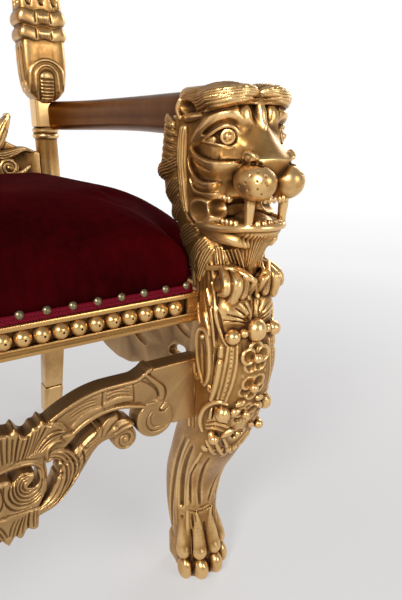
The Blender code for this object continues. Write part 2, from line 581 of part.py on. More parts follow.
def side_apron(side, name):
    s = 1 if side == "left" else -1
    y0, y1 = -0.2600, REAR_Y - 0.0270 - GAP
    mid = (y0 + y1) / 2
    bm = bmesh.new()

    def at(y, z, o):
        return (s * (rail_line(y) + o * SIDE_APRON_T / 2), y, z)

    # board with a waved lower edge
    n = 14
    low = []
    for i in range(n + 1):
        t = i / n
        y = y0 + (y1 - y0) * t
        u = abs(y - mid) / ((y1 - y0) / 2)
        z = 0.2990 + 0.046 * u ** 1.5 - 0.010 * math.exp(-((u - 0.0) / 0.10) ** 2) + 0.004 * math.cos(6 * math.pi * u)
        low.append((y, z))
    outline = low + [(y1, RAIL_Z0 - GAP), (y0, RAIL_Z0 - GAP)]
    a = [bm.verts.new(at(y, z, -1)) for y, z in outline]
    b = [bm.verts.new(at(y, z, 1)) for y, z in outline]
    f = [bm.faces.new(a), bm.faces.new(list(reversed(b)))]
    m = len(a)
    for i in range(m):
        j = (i + 1) % m
        bm.faces.new((a[j], a[i], b[i], b[j]))
    bmesh.ops.triangulate(bm, faces=f)
    ob = finish(bm, name, M_GOLD, angle=30)
    # pierced slots between the leaves
    bm = bmesh.new()
    for d in (-1, 1):
        for yy, zz, ry, rz, tilt in ((0.205, 0.412, 0.026, 0.0075, 18), (0.190, 0.372, 0.024, 0.0085, -20),
                                     (0.085, 0.358, 0.024, 0.0080, 14), (0.125, 0.414, 0.022, 0.0065, -12),
                                     (0.038, 0.402, 0.018, 0.0075, 30)):
            yc = mid + d * yy
            mtx = (Matrix.Translation((s * rail_line(yc), yc, zz)) @ Matrix.Rotation(math.radians(-d * tilt), 4, 'X')
                   @ Matrix.Diagonal((1.0, ry, rz, 1.0)) @ Matrix.Rotation(math.radians(90), 4, 'Y'))
            bmesh.ops.create_cone(bm, cap_ends=True, segments=6, radius1=1.0, radius2=1.0, depth=0.08, matrix=mtx)
    t = finish(bm, "side_apron_holes_" + side, M_GOLD, smooth=False)
    t.hide_render = True
    t.display_type = 'WIRE'
    cut(ob, t, "piercing")
    return ob


side_apron("left", "side_apron_left")
side_apron("right", "side_apron_right")


# ---------------------------------------------------------------- seat
def seat_outline(inset=0.0):
    """Right half then left half of the upholstered seat, notched round the front posts."""
    f = FRONT_HW - inset
    a = SIDE_HW0 - inset
    b = SIDE_HW1 - inset
    yf = RAIL_FRONT_Y + 0.003 + inset
    yn = -0.2320 + inset
    yb = SEAT_Y1 - inset
    half = [(0.0, yf), (f * 0.35, yf), (f * 0.7, yf), (f - 0.012, yf), (f - 0.0035, yf + 0.0035), (f, yf + 0.012), (f, yn - 0.008),
            (f + 0.003, yn - 0.002), (f + 0.010, yn), (a - 0.012, yn), (a - 0.0035, yn + 0.0035), (a, yn + 0.012)]
    for t in (0.25, 0.5, 0.75):
        half.append((a + (b - a) * t, yn + 0.012 + (yb - 0.024 - yn) * t))
    half += [(b, yb - 0.014), (b - 0.004, yb - 0.004), (b - 0.014, yb), (b * 0.5, yb), (0.0, yb)]
    return half + [(-x, y) for x, y in reversed(half[1:-1])]


def seat():
    cy = (RAIL_FRONT_Y + SEAT_Y1) / 2
    z0 = RAIL_Z1 + GAP
    base = seat_outline(GIMP_T + 0.0010)
    full = seat_outline(0.0)

    def ring(src, z, k, kc=1.0):
        return [(x * k, cy + (y - cy) * k * kc, z) for x, y in src]

    def lerp(a, b, t):
        return [(p[0] + (q[0] - p[0]) * t, p[1] + (q[1] - p[1]) * t) for p, q in zip(a, b)]
    zg = z0 + GIMP_H + 0.0006
    rings = [ring(base, z0, 1.0), ring(base, zg, 1.0), ring(full, zg + 0.004, 1.0), ring(full, 0.5400, 1.004)]
    for z, k in ((0.5680, 0.990), (0.5880, 0.940), (0.6010, 0.80), (SEAT_CROWN, 0.45)):
        rings.append(ring(full, z, k))
    bm = bmesh.new()
    loft(bm, rings)
    return finish(bm, "seat_cushion", M_VELVET, angle=60)


def gimp():
    z0 = RAIL_Z1 + GAP
    z1 = z0 + GIMP_H
    outer = seat_outline(0.0)
    inner = seat_outline(GIMP_T)
    bm = bmesh.new()
    loops = []
    for src, z in ((outer, z0), (outer, z1), (inner, z1), (inner, z0)):
        loops.append([bm.verts.new((x, y, z)) for x, y in src])
    n = len(outer)
    for k in range(4):
        a, b = loops[k], loops[(k + 1) % 4]
        for i in range(n):
            j = (i + 1) % n
            bm.faces.new((a[i], a[j], b[j], b[i]))
    return finish(bm, "seat_gimp", M_CRIMSON, smooth=False)


seat()
gimp()


# ---------------------------------------------------------------- back
def lean(z):
    return BACK_RAKE * (max(z - 0.90, 0.0) / (TOP_Z - 0.90)) ** 1.2


def back_half_width(z):
    """Outer half width of the framed panel: waisted low down, widest near the shoulders."""
    t = (z - BACK_Z0) / (BACK_Z1 - BACK_Z0)
    t = min(max(t, 0.0), 1.0)
    return 0.150 + 0.042 * math.sin(math.pi * min(t, 0.86) / 0.86 * 0.5) ** 1.3


def panel_outline(inset, n_side=8, n_arc=9):
    """(x, z) loop, right side up, arched top, left side down."""
    zb, zs, zt = BACK_Z0 + inset, 1.330, BACK_Z1 - inset
    right = []
    for i in range(n_side):
        z = zb + (zs - zb) * i / (n_side - 1)
        x = back_half_width(z) - inset
        if i == 0:
            right.append((x - 0.022, z))
            continue
        if i == 1:
            right.append((x - 0.002, zb + 0.024))
            continue
        right.append((x, z))
    xs = right[-1][0]
    for i in range(1, n_arc):
        a = math.pi / 2 * i / n_arc
        right.append((xs * math.cos(a) ** 0.85, zs + (zt - zs) * math.sin(a) ** 0.95))
    return right + [(0.0, zt)] + [(-x, z) for x, z in reversed(right)]


def ring_frame(name, out_in, y0, y1, mat, bead=0.006):
    """Closed frame between two outlines, with a raised middle and softened edges."""
    loops = []
    prof = ((out_in[0], y1), (out_in[0], y0 + bead), (out_in[0] + bead * 0.8, y0), (out_in[1] - bead * 1.4, y0),
            (out_in[1], y0 + bead * 1.6), (out_in[1], y1))
    bm = bmesh.new()
    for inset, y in prof:
        loops.append([bm.verts.new((x, y + lean(z), z)) for x, z in panel_outline(inset)])
    n = len(loops[0])
    m = len(loops)
    for k in range(m):
        a, b = loops[k], loops[(k + 1) % m]
        for i in range(n):
            j = (i + 1) % n
            bm.faces.new((a[i], a[j], b[j], b[i]))
    return finish(bm, name, mat, angle=35)


def pad(name, inset, y_front, y_back, mat, dome, steps):
    """Padded panel: flat behind, domed towards the front."""
    zc = (BACK_Z0 + BACK_Z1) / 2
    src = panel_outline(inset)
    bm = bmesh.new()
    rings = [[(x, y_back + lean(z), z) for x, z in src]]
    for k, h in steps:
        rings.append([(x * k, y_front - dome * h + lean(zc + (z - zc) * k), zc + (z - zc) * k) for x, z in src])
    loft(bm, rings)
    return finish(bm, name, mat, angle=60)


FRAME_W = 0.036
ring_frame("back_frame", (0.0, FRAME_W), BACK_Y - 0.020, BACK_Y + 0.014, M_GOLD)
pad("back_pad", FRAME_W + GAP, BACK_Y - 0.006, BACK_Y + 0.005, M_VELVET, 0.026,
    ((1.0, 0.0), (0.985, 0.30), (0.94, 0.62), (0.84, 0.86), (0.60, 0.98), (0.25, 1.0)))
pad("back_cover", FRAME_W + GAP, BACK_Y + 0.0055, BACK_Y + 0.0120, M_BACKV, 0.0, ((1.0, 0.0),))


def lower_rail():
    """Carved rail between the columns under the framed panel."""
    bm = bmesh.new()
    ym, hd = BACK_Y - 0.004, 0.013
    both = (-1, 1)
    x1 = REAR_X - COLUMN_R - 0.0004
    up = [(0.0, 0.6596), (0.150, 0.6596), (0.158, 0.6560), (0.172, 0.6480), (0.190, 0.6390), (x1 + 0.004, 0.6290)]
    low = [(x1 + 0.004, 0.5450), (0.150, 0.5350), (0.0, 0.5250)]
    outline = up + low + [(-x, z) for x, z in reversed(up[1:] + low[:-1])]
    prism_y(bm, outline, ym - hd, ym + hd)
    # acanthus tip that turns outwards, scroll under it
    stroke(bm, [(0.150, 0.6400, 0.0150), (0.160, 0.6620, 0.0120), (0.169, 0.6820, 0.0080), (0.1770, 0.6930, 0.0050)],
           ym - 0.002, hd, steps=3, mirror=both)
    stroke(bm, [(0.135, 0.6300, 0.0100), (0.160, 0.6260, 0.0100), (0.185, 0.6330, 0.0070)], ym - 0.008, hd * 0.7, steps=3, mirror=both)
    for s in both:
        disc(bm, s * 0.168, 0.6030, 0.0190, ym - hd - 0.006, ym, 18)
        disc(bm, s * 0.075, 0.6180, 0.0210, ym - hd - 0.006, ym, 18)
    ball(bm, (0.0, ym - hd, 0.6220), (0.0260, 0.0100, 0.0260), 14, 9)
    ob = finish(bm, "back_lower_rail", M_GOLD, angle=40)
    fuse(ob, 0.0035, 0.020, 1)
    w, zt = back_half_width(0.70) + 0.0010, 0.6596
    right = [(0.0, 0.5200), (x1, 0.5200), (x1, 0.7300), (w, 0.7300), (w, zt), (0.0, zt)]
    t = envelope("lower_rail_trim", right + [(-px, pz) for px, pz in reversed(right[1:-1])], ym - 0.035, ym + hd)
    cut(ob, t, "trim", 'INTERSECT')
    return ob


lower_rail()


def crest():
    """Cresting that bridges the posts: two long scrolls, leaves and a shell."""
    bm = bmesh.new()
    both = (-1, 1)
    yb = BACK_Y + lean(1.50)
    ym, hd = yb - 0.004, 0.015
    xi = REAR_X - 0.0250 - 0.0004
    # shaped base that follows the arch of the frame and meets the posts
    arch = []
    for x, z in panel_outline(-0.0006):
        if x >= 0 and z > 1.385:
            arch.append((x, z))
    arch.sort(key=lambda p: -p[0])
    top = [(0.0, 1.600), (0.070, 1.590), (0.110, 1.550), (0.145, 1.506), (0.180, 1.462), (xi, 1.436)]
    low = [(xi, 1.372), (0.205, 1.374)]
    right = low + arch
    half = [p for p in top] + right
    outline = half + [(-x, z) for x, z in reversed(half[1:-1])]
    prism_y(bm, outline, ym - hd * 0.8, ym + hd)
    # long acanthus scrolls rising to the middle, each with two leaves on its back
    stroke(bm, [(0.212, 1.420, 0.015), (0.186, 1.452, 0.020), (0.152, 1.496, 0.024), (0.118, 1.548, 0.024), (0.092, 1.592, 0.020),
                (0.076, 1.622, 0.015)], ym, hd, steps=3, mirror=both)
    stroke(bm, spiral(0.070, 1.614, 0.024, 0.007, 40, 1.1, 8, 0.012, 0.008, 1), ym, hd * 1.05, steps=2, mirror=both)
    stroke(bm, spiral(0.186, 1.472, 0.024, 0.007, -60, 1.1, 8, 0.012, 0.008, 1), ym, hd, steps=2, mirror=both)
    stroke(bm, [(0.112, 1.552, 0.016), (0.134, 1.582, 0.017), (0.140, 1.616, 0.010)], ym, hd * 0.9, steps=3, mirror=both)
    stroke(bm, [(0.142, 1.508, 0.015), (0.168, 1.534, 0.016), (0.176, 1.564, 0.009)], ym, hd * 0.9, steps=3, mirror=both)
    # scalloped shell in the middle: a solid fan with seven swelling ribs
    disc(bm, 0.0, 1.6500, 0.104, ym - hd * 0.6, ym + hd * 0.8, 28)
    for k in range(-3, 4):
        a = math.radians(90 - 25 * k)
        L = 0.146 - 0.0045 * abs(k)
        stroke(bm, [(0.026 * math.cos(a), 1.650 + 0.026 * math.sin(a), 0.008),
                    (0.6 * L * math.cos(a), 1.650 + 0.6 * L * math.sin(a), 0.0195),
                    (0.87 * L * math.cos(a), 1.650 + 0.87 * L * math.sin(a), 0.0205)], ym, hd * 0.9, steps=2)
    ball(bm, (0.0, ym - 0.012, 1.642), (0.028, 0.014, 0.028), 14, 9)
    ball(bm, (0.0, ym - 0.010, 1.576), (0.026, 0.014, 0.034), 14, 9)
    ob = finish(bm, "crest", M_GOLD, angle=40)
    fuse(ob, 0.0040, 0.018, 1)
    x, xo, zo = xi, 0.2100, BACK_SHOULDER_Z
    right = [(0.0, 1.3000), (x, 1.3000), (x, zo), (xo, zo), (xo, 1.9000), (0.0, 1.9000)]
    t = envelope("crest_trim", right + [(-px, pz) for px, pz in reversed(right[1:-1])], ym - 0.03, ym + 0.03)
    cut(ob, t, "trim", 'INTERSECT')
    # clear the frame below
    bm = bmesh.new()
    src = panel_outline(-0.0012)
    a = [bm.verts.new((px, 0.20, pz)) for px, pz in src]
    b = [bm.verts.new((px, 0.40, pz)) for px, pz in src]
    n = len(a)
    bm.faces.new(a)
    bm.faces.new(list(reversed(b)))
    for i in range(n):
        j = (i + 1) % n
        bm.faces.new((a[j], a[i], b[i], b[j]))
    t = finish(bm, "crest_clear", M_GOLD, smooth=False)
    t.hide_render = True
    t.display_type = 'WIRE'
    cut(ob, t, "clear")
    return ob


crest()
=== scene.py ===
import sys
import json
import math
import bpy
import bmesh
import numpy as np
import openvdb
from mathutils import Matrix, Vector, noise
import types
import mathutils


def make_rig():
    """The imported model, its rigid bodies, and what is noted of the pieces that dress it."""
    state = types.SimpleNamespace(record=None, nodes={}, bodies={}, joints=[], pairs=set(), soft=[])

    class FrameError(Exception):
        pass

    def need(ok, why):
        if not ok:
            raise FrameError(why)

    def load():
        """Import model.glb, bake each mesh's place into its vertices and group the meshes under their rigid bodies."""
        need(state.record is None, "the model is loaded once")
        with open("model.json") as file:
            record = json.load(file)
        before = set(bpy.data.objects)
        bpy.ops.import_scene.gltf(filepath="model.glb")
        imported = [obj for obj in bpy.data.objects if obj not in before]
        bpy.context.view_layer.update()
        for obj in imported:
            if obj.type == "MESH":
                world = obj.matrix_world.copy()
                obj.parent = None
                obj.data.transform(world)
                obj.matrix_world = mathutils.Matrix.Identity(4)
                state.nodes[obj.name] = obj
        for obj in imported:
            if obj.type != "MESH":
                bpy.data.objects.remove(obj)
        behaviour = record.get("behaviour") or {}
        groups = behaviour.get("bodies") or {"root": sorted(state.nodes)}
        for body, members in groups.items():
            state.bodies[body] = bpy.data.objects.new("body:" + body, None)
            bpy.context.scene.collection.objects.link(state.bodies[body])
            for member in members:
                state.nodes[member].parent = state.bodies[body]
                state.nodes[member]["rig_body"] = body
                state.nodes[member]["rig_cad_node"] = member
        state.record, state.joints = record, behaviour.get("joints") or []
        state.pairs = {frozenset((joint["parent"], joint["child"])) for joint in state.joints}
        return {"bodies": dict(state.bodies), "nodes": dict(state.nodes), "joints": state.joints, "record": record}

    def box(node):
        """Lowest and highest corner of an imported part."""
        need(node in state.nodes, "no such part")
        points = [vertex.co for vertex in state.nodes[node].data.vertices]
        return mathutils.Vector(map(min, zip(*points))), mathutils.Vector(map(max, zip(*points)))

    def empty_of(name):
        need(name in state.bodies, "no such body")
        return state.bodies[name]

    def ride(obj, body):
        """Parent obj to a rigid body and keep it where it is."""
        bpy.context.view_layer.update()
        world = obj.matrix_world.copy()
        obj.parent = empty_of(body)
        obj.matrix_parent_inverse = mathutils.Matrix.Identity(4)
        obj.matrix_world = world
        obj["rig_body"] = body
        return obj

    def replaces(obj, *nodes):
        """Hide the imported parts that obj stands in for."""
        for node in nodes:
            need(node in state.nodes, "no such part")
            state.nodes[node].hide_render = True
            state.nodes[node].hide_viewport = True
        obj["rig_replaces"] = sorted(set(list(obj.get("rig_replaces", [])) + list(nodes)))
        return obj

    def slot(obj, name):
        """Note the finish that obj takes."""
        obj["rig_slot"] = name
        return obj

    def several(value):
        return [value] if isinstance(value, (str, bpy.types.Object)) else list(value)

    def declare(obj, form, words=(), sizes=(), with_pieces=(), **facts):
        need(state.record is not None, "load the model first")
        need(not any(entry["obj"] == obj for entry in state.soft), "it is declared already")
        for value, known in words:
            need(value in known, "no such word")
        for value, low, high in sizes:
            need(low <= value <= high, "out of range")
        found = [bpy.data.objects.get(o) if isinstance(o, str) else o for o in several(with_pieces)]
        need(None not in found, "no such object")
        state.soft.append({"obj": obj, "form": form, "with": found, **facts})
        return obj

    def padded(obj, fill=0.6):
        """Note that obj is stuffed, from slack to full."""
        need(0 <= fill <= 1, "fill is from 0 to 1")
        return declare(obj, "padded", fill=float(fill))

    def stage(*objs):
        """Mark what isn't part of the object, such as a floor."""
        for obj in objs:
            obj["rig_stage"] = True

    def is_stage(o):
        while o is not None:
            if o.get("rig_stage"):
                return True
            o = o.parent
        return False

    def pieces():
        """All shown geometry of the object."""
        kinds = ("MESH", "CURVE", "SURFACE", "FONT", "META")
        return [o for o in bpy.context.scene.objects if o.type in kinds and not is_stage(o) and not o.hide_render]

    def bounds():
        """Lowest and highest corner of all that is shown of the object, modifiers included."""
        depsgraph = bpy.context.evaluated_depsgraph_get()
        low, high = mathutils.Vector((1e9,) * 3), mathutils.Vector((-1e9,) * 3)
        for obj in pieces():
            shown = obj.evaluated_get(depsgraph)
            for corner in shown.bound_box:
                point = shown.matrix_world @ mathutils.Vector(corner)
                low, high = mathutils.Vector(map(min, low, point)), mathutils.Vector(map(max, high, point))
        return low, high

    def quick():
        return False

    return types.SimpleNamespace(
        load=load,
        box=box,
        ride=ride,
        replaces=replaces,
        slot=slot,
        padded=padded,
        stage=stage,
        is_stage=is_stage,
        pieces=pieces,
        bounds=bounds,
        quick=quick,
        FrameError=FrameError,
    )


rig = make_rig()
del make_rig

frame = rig.load()
BOUNDS_CAD = [list(v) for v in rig.bounds()]
OY = -0.0116          # the chair's drawing is shifted back by this much in the shared frame


# ---------------------------------------------------------------- carving tools
# Carved pieces are sculpted as distance fields on a fine grid (negative inside), then meshed.
def catmull(pts, steps):
    """Smooth curve through the given points; each point is a tuple of equal length."""
    pts = [np.array(p, float) for p in pts]
    P = [2 * pts[0] - pts[1]] + pts + [2 * pts[-1] - pts[-2]]
    out = []
    for k in range(1, len(P) - 2):
        p0, p1, p2, p3 = P[k - 1], P[k], P[k + 1], P[k + 2]
        for i in range(steps):
            t = i / steps
            out.append(0.5 * (2 * p1 + (p2 - p0) * t + (2 * p0 - 5 * p1 + 4 * p2 - p3) * t * t
                              + (3 * p1 - p0 - 3 * p2 + p3) * t ** 3))
    out.append(pts[-1])
    return np.array(out)


def smin(a, b, k):
    h = np.maximum(k - np.abs(a - b), 0.0)
    return np.minimum(a, b) - h * h * (0.25 / k)


def smax(a, b, k):
    return -smin(-a, -b, k)


def step01(t):
    t = np.clip(t, 0.0, 1.0)
    return t * t * (3 - 2 * t)


def rot(rx=0.0, ry=0.0, rz=0.0):
    return np.array((Matrix.Rotation(math.radians(rz), 3, 'Z') @ Matrix.Rotation(math.radians(ry), 3, 'Y')
                     @ Matrix.Rotation(math.radians(rx), 3, 'X')))


class Vol:
    """A block of distance samples. Shapes are added to it one by one."""

    def __init__(self, lo, hi, h, far=0.02):
        self.lo = np.array(lo, float)
        self.h = h
        self.n = np.ceil((np.array(hi, float) - self.lo) / h).astype(int) + 1
        self.d = np.full(self.n, far, np.float32)

    def axes(self, lo=None, hi=None):
        i0 = np.zeros(3, int) if lo is None else np.clip(np.floor((np.array(lo) - self.lo) / self.h).astype(int), 0, self.n)
        i1 = self.n.copy() if hi is None else np.clip(np.ceil((np.array(hi) - self.lo) / self.h).astype(int) + 1, 0, self.n)
        if np.any(i1 <= i0):
            return None, None
        ax = [(self.lo[k] + self.h * np.arange(i0[k], i1[k])).astype(np.float32) for k in range(3)]
        sl = tuple(slice(i0[k], i1[k]) for k in range(3))
        return sl, (ax[0][:, None, None], ax[1][None, :, None], ax[2][None, None, :])

    def put(self, sl, s, k, op):
        a = self.d[sl]
        if op == 'add':
            self.d[sl] = smin(a, s, k) if k else np.minimum(a, s)
        elif op == 'cut':
            self.d[sl] = smax(a, -s, k) if k else np.maximum(a, -s)
        elif op == 'keep':
            self.d[sl] = smax(a, s, k) if k else np.maximum(a, s)

    def ell(self, c, r, k=0.004, R=None, op='add'):
        """Ellipsoid with centre c, radii r and rotation R."""
        r = (r, r, r) if np.isscalar(r) else r
        m = max(r) + k + 0.002
        if R is None:
            e = np.array(r) + k + 0.002
        else:
            e = np.array([m, m, m])
        sl, ax = self.axes(np.array(c) - e, np.array(c) + e)
        if sl is None:
            return
        x, y, z = ax[0] - c[0], ax[1] - c[1], ax[2] - c[2]
        if R is not None:
            x, y, z = (R[0, 0] * x + R[1, 0] * y + R[2, 0] * z, R[0, 1] * x + R[1, 1] * y + R[2, 1] * z,
                       R[0, 2] * x + R[1, 2] * y + R[2, 2] * z)
        k0 = np.sqrt((x / r[0]) ** 2 + (y / r[1]) ** 2 + (z / r[2]) ** 2)
        k1 = np.sqrt((x / r[0] ** 2) ** 2 + (y / r[1] ** 2) ** 2 + (z / r[2] ** 2) ** 2)
        self.put(sl, (k0 * (k0 - 1.0) / np.maximum(k1, 1e-6)).astype(np.float32), k, op)

    def box(self, c, r, k=0.001, R=None, op='add', rad=0.0):
        e = np.full(3, np.linalg.norm(r)) if R is not None else np.array(r)
        sl, ax = self.axes(np.array(c) - e - k - 0.002, np.array(c) + e + k + 0.002)
        if sl is None:
            return
        x, y, z = ax[0] - c[0], ax[1] - c[1], ax[2] - c[2]
        if R is not None:
            x, y, z = (R[0, 0] * x + R[1, 0] * y + R[2, 0] * z, R[0, 1] * x + R[1, 1] * y + R[2, 1] * z,
                       R[0, 2] * x + R[1, 2] * y + R[2, 2] * z)
        qx, qy, qz = np.abs(x) - r[0] + rad, np.abs(y) - r[1] + rad, np.abs(z) - r[2] + rad
        out = np.sqrt(np.maximum(qx, 0) ** 2 + np.maximum(qy, 0) ** 2 + np.maximum(qz, 0) ** 2)
        s = out + np.minimum(np.maximum(np.maximum(qx, qy), qz), 0) - rad
        self.put(sl, s.astype(np.float32), k, op)

    def _walk(self, pts, reach):
        """Block round a polyline and an iterator over its segments with their own smaller blocks."""
        p = pts[:, :3]
        lo, hi = (p - reach[:, None]).min(0), (p + reach[:, None]).max(0)
        sl, ax = self.axes(lo, hi)
        if sl is None:
            return None, None
        segs = []
        for i in range(len(pts) - 1):
            a, b = pts[i], pts[i + 1]
            e = max(reach[i], reach[i + 1])
            s2, _ = self.axes(np.minimum(a[:3], b[:3]) - e, np.maximum(a[:3], b[:3]) + e)
            if s2 is None:
                continue
            rel = tuple(slice(s2[k].start - sl[k].start, s2[k].stop - sl[k].start) for k in range(3))
            segs.append((i, rel, (ax[0][rel[0]], ax[1][:, rel[1]], ax[2][:, :, rel[2]])))
        return (sl, ax), segs

    def rope(self, pts, k=0.003, flat=None, op='add', steps=4, smooth=True):
        """Round stroke through (x, y, z, r). flat = (direction, ratio) thins it along a direction."""
        c = catmull(pts, steps) if smooth and len(pts) > 2 else np.array(pts, float)
        if len(c) == 2:
            c = np.array([c[0] + (c[1] - c[0]) * t for t in np.linspace(0, 1, 4)])
        rr = np.maximum(c[:, 3], 1e-4)
        blk, segs = self._walk(c, rr + k + 0.003)
        if blk is None:
            return
        tmp = np.full([s.stop - s.start for s in blk[0]], 0.05, np.float32)
        for i, rel, ax in segs:
            a, b = c[i, :3], c[i + 1, :3]
            ab = b - a
            L2 = max(ab @ ab, 1e-12)
            x, y, z = ax[0] - a[0], ax[1] - a[1], ax[2] - a[2]
            t = np.clip((x * ab[0] + y * ab[1] + z * ab[2]) / L2, 0, 1)
            x, y, z = x - t * ab[0], y - t * ab[1], z - t * ab[2]
            if flat is not None:
                n, q = flat
                w = (x * n[0] + y * n[1] + z * n[2]) * (1.0 / q - 1.0)
                x, y, z = x + w * n[0], y + w * n[1], z + w * n[2]
            s = np.sqrt(x * x + y * y + z * z) - (rr[i] + (rr[i + 1] - rr[i]) * t)
            if flat is not None:
                s = s * (0.5 * (1 + flat[1]))
            tmp[rel] = np.minimum(tmp[rel], s)
        self.put(blk[0], tmp, k, op)

    def emboss(self, pts, height, up=None, lim=0.02, steps=4, profile='round', pitch=0.0, amp=0.0, across=False, smooth=True,
               ends=0.15, lines=0, ledge=0):
        """Raise (or sink) the surface along (x, y, z, half width). With pitch and amp, fine grooves run along
        the stroke, or across it. up is the direction the relief is seen from."""
        c = catmull(pts, steps) if smooth and len(pts) > 2 else np.array(pts, float)
        w = np.maximum(c[:, 3], 2e-4)
        n = np.array(up, float) / np.linalg.norm(up) if up is not None else None
        reach = np.maximum(w + 0.001, lim if up is not None else 0)
        blk, segs = self._walk(c, reach)
        if blk is None:
            return
        shp = [s.stop - s.start for s in blk[0]]
        best = np.full(shp, 9.0, np.float32)
        lat = np.zeros(shp, np.float32)
        lon = np.zeros(shp, np.float32)
        dep = np.zeros(shp, np.float32)
        seg = np.linalg.norm(np.diff(c[:, :3], axis=0), axis=1)
        cum = np.concatenate([[0], np.cumsum(seg)])
        tot = cum[-1]
        for i, rel, ax in segs:
            a, b = c[i, :3], c[i + 1, :3]
            ab = b - a
            L2 = max(ab @ ab, 1e-12)
            if n is not None:
                abp = ab - n * (ab @ n)
                side = np.cross(abp / max(np.linalg.norm(abp), 1e-9), n)
            x, y, z = ax[0] - a[0], ax[1] - a[1], ax[2] - a[2]
            t = np.clip((x * ab[0] + y * ab[1] + z * ab[2]) / L2, 0, 1)
            x, y, z = x - t * ab[0], y - t * ab[1], z - t * ab[2]
            if n is not None:
                q = x * n[0] + y * n[1] + z * n[2]
                x, y, z = x - q * n[0], y - q * n[1], z - q * n[2]
                sd = x * side[0] + y * side[1] + z * side[2]
            else:
                q = 0.0
                sd = 0.0
            dist = np.sqrt(x * x + y * y + z * z) / (w[i] + (w[i + 1] - w[i]) * t)
            m = dist < best[rel]
            best[rel] = np.where(m, dist, best[rel])
            if n is not None:
                lat[rel] = np.where(m, sd, lat[rel])
                dep[rel] = np.where(m, np.abs(q), dep[rel])
            lon[rel] = np.where(m, cum[i] + t * seg[i], lon[rel])
        u = np.clip(best, 0, 1)
        if profile == 'round':
            f = (1 - u * u) ** 2
        elif profile == 'dome':
            f = np.sqrt(np.maximum(1 - u * u, 0))
        elif profile == 'flat':
            f = 1 - step01((u - 0.72) / 0.28)
        elif profile == 'sharp':
            f = 1 - u
        elif profile == 'pillow':
            f = 1 - u ** 3
        if ledge:
            f = (1 - step01(u)) * step01(0.5 + lat * ledge / 0.0012)
        g = height * f
        if pitch or lines:
            cc = (lon if across else lat) / pitch if pitch else np.sign(lat) * u * lines / 2
            g = g + amp * np.cos(2 * math.pi * cc) * (1 - step01((u - 0.75) / 0.25))
        if ends:
            e = ends * tot
            g = g * step01(lon / e) * step01((tot - lon) / e)
        if n is not None:
            g = g * (1 - step01((dep - lim * 0.7) / (lim * 0.3)))
        self.d[blk[0]] -= g.astype(np.float32)

    def at(self, p):
        """Trilinear sample at points p."""
        return sample(self.d, (p - self.lo) / self.h)

    def normal(self, p, e=0.0015):
        g = np.stack([self.at(p + np.eye(3)[k] * e) - self.at(p - np.eye(3)[k] * e) for k in range(3)], -1)
        return g / np.maximum(np.linalg.norm(g, axis=-1, keepdims=True), 1e-9)


def sample(a, q):
    q = np.clip(q, 0, np.array(a.shape) - 1.001)
    i = q.astype(int)
    f = q - i
    out = 0
    for dx in (0, 1):
        for dy in (0, 1):
            for dz in (0, 1):
                w = (f[..., 0] if dx else 1 - f[..., 0]) * (f[..., 1] if dy else 1 - f[..., 1]) * (f[..., 2] if dz else 1 - f[..., 2])
                out = out + w * a[i[..., 0] + dx, i[..., 1] + dy, i[..., 2] + dz]
    return out


def blur(a, r):
    """Box blur of radius r cells along every axis, by running sums."""
    for k in range(3):
        n = a.shape[k]
        c = np.cumsum(np.insert(a, 0, 0, axis=k), axis=k, dtype=np.float32)
        i1 = np.minimum(np.arange(n) + r + 1, n)
        i0 = np.maximum(np.arange(n) - r, 0)
        shp = [1, 1, 1]
        shp[k] = n
        a = (np.take(c, i1, axis=k) - np.take(c, i0, axis=k)) / (i1 - i0).reshape(shp).astype(np.float32)
    return a
# ---------------------------------------------------------------- the lion posts
# Height, middle in Y, half width, half depth of trunk and leg. The lion's own frame: u across (0 = middle),
# y forwards is minus, z up. Only the half u >= 0 is carved; the other half mirrors it.
LION_BODY = (
    (-0.006, -0.2240, 0.0320, 0.0360), (0.045, -0.2230, 0.0335, 0.0360), (0.075, -0.2150, 0.0350, 0.0360),
    (0.110, -0.2110, 0.0372, 0.0364), (0.145, -0.2130, 0.0385, 0.0385), (0.180, -0.2205, 0.0400, 0.0415),
    (0.225, -0.2440, 0.0440, 0.0460), (0.265, -0.2640, 0.0465, 0.0490), (0.305, -0.2830, 0.0480, 0.0500),
    (0.350, -0.2990, 0.0490, 0.0500), (0.395, -0.3080, 0.0490, 0.0520), (0.440, -0.3090, 0.0480, 0.0480),
    (0.480, -0.3090, 0.0425, 0.0405), (0.515, -0.2960, 0.0415, 0.0450), (0.550, -0.2820, 0.0440, 0.0500),
    (0.585, -0.2690, 0.0480, 0.0500), (0.615, -0.2580, 0.0500, 0.0460), (0.650, -0.2600, 0.0490, 0.0420), (0.690, -0.2640, 0.0480, 0.0360))


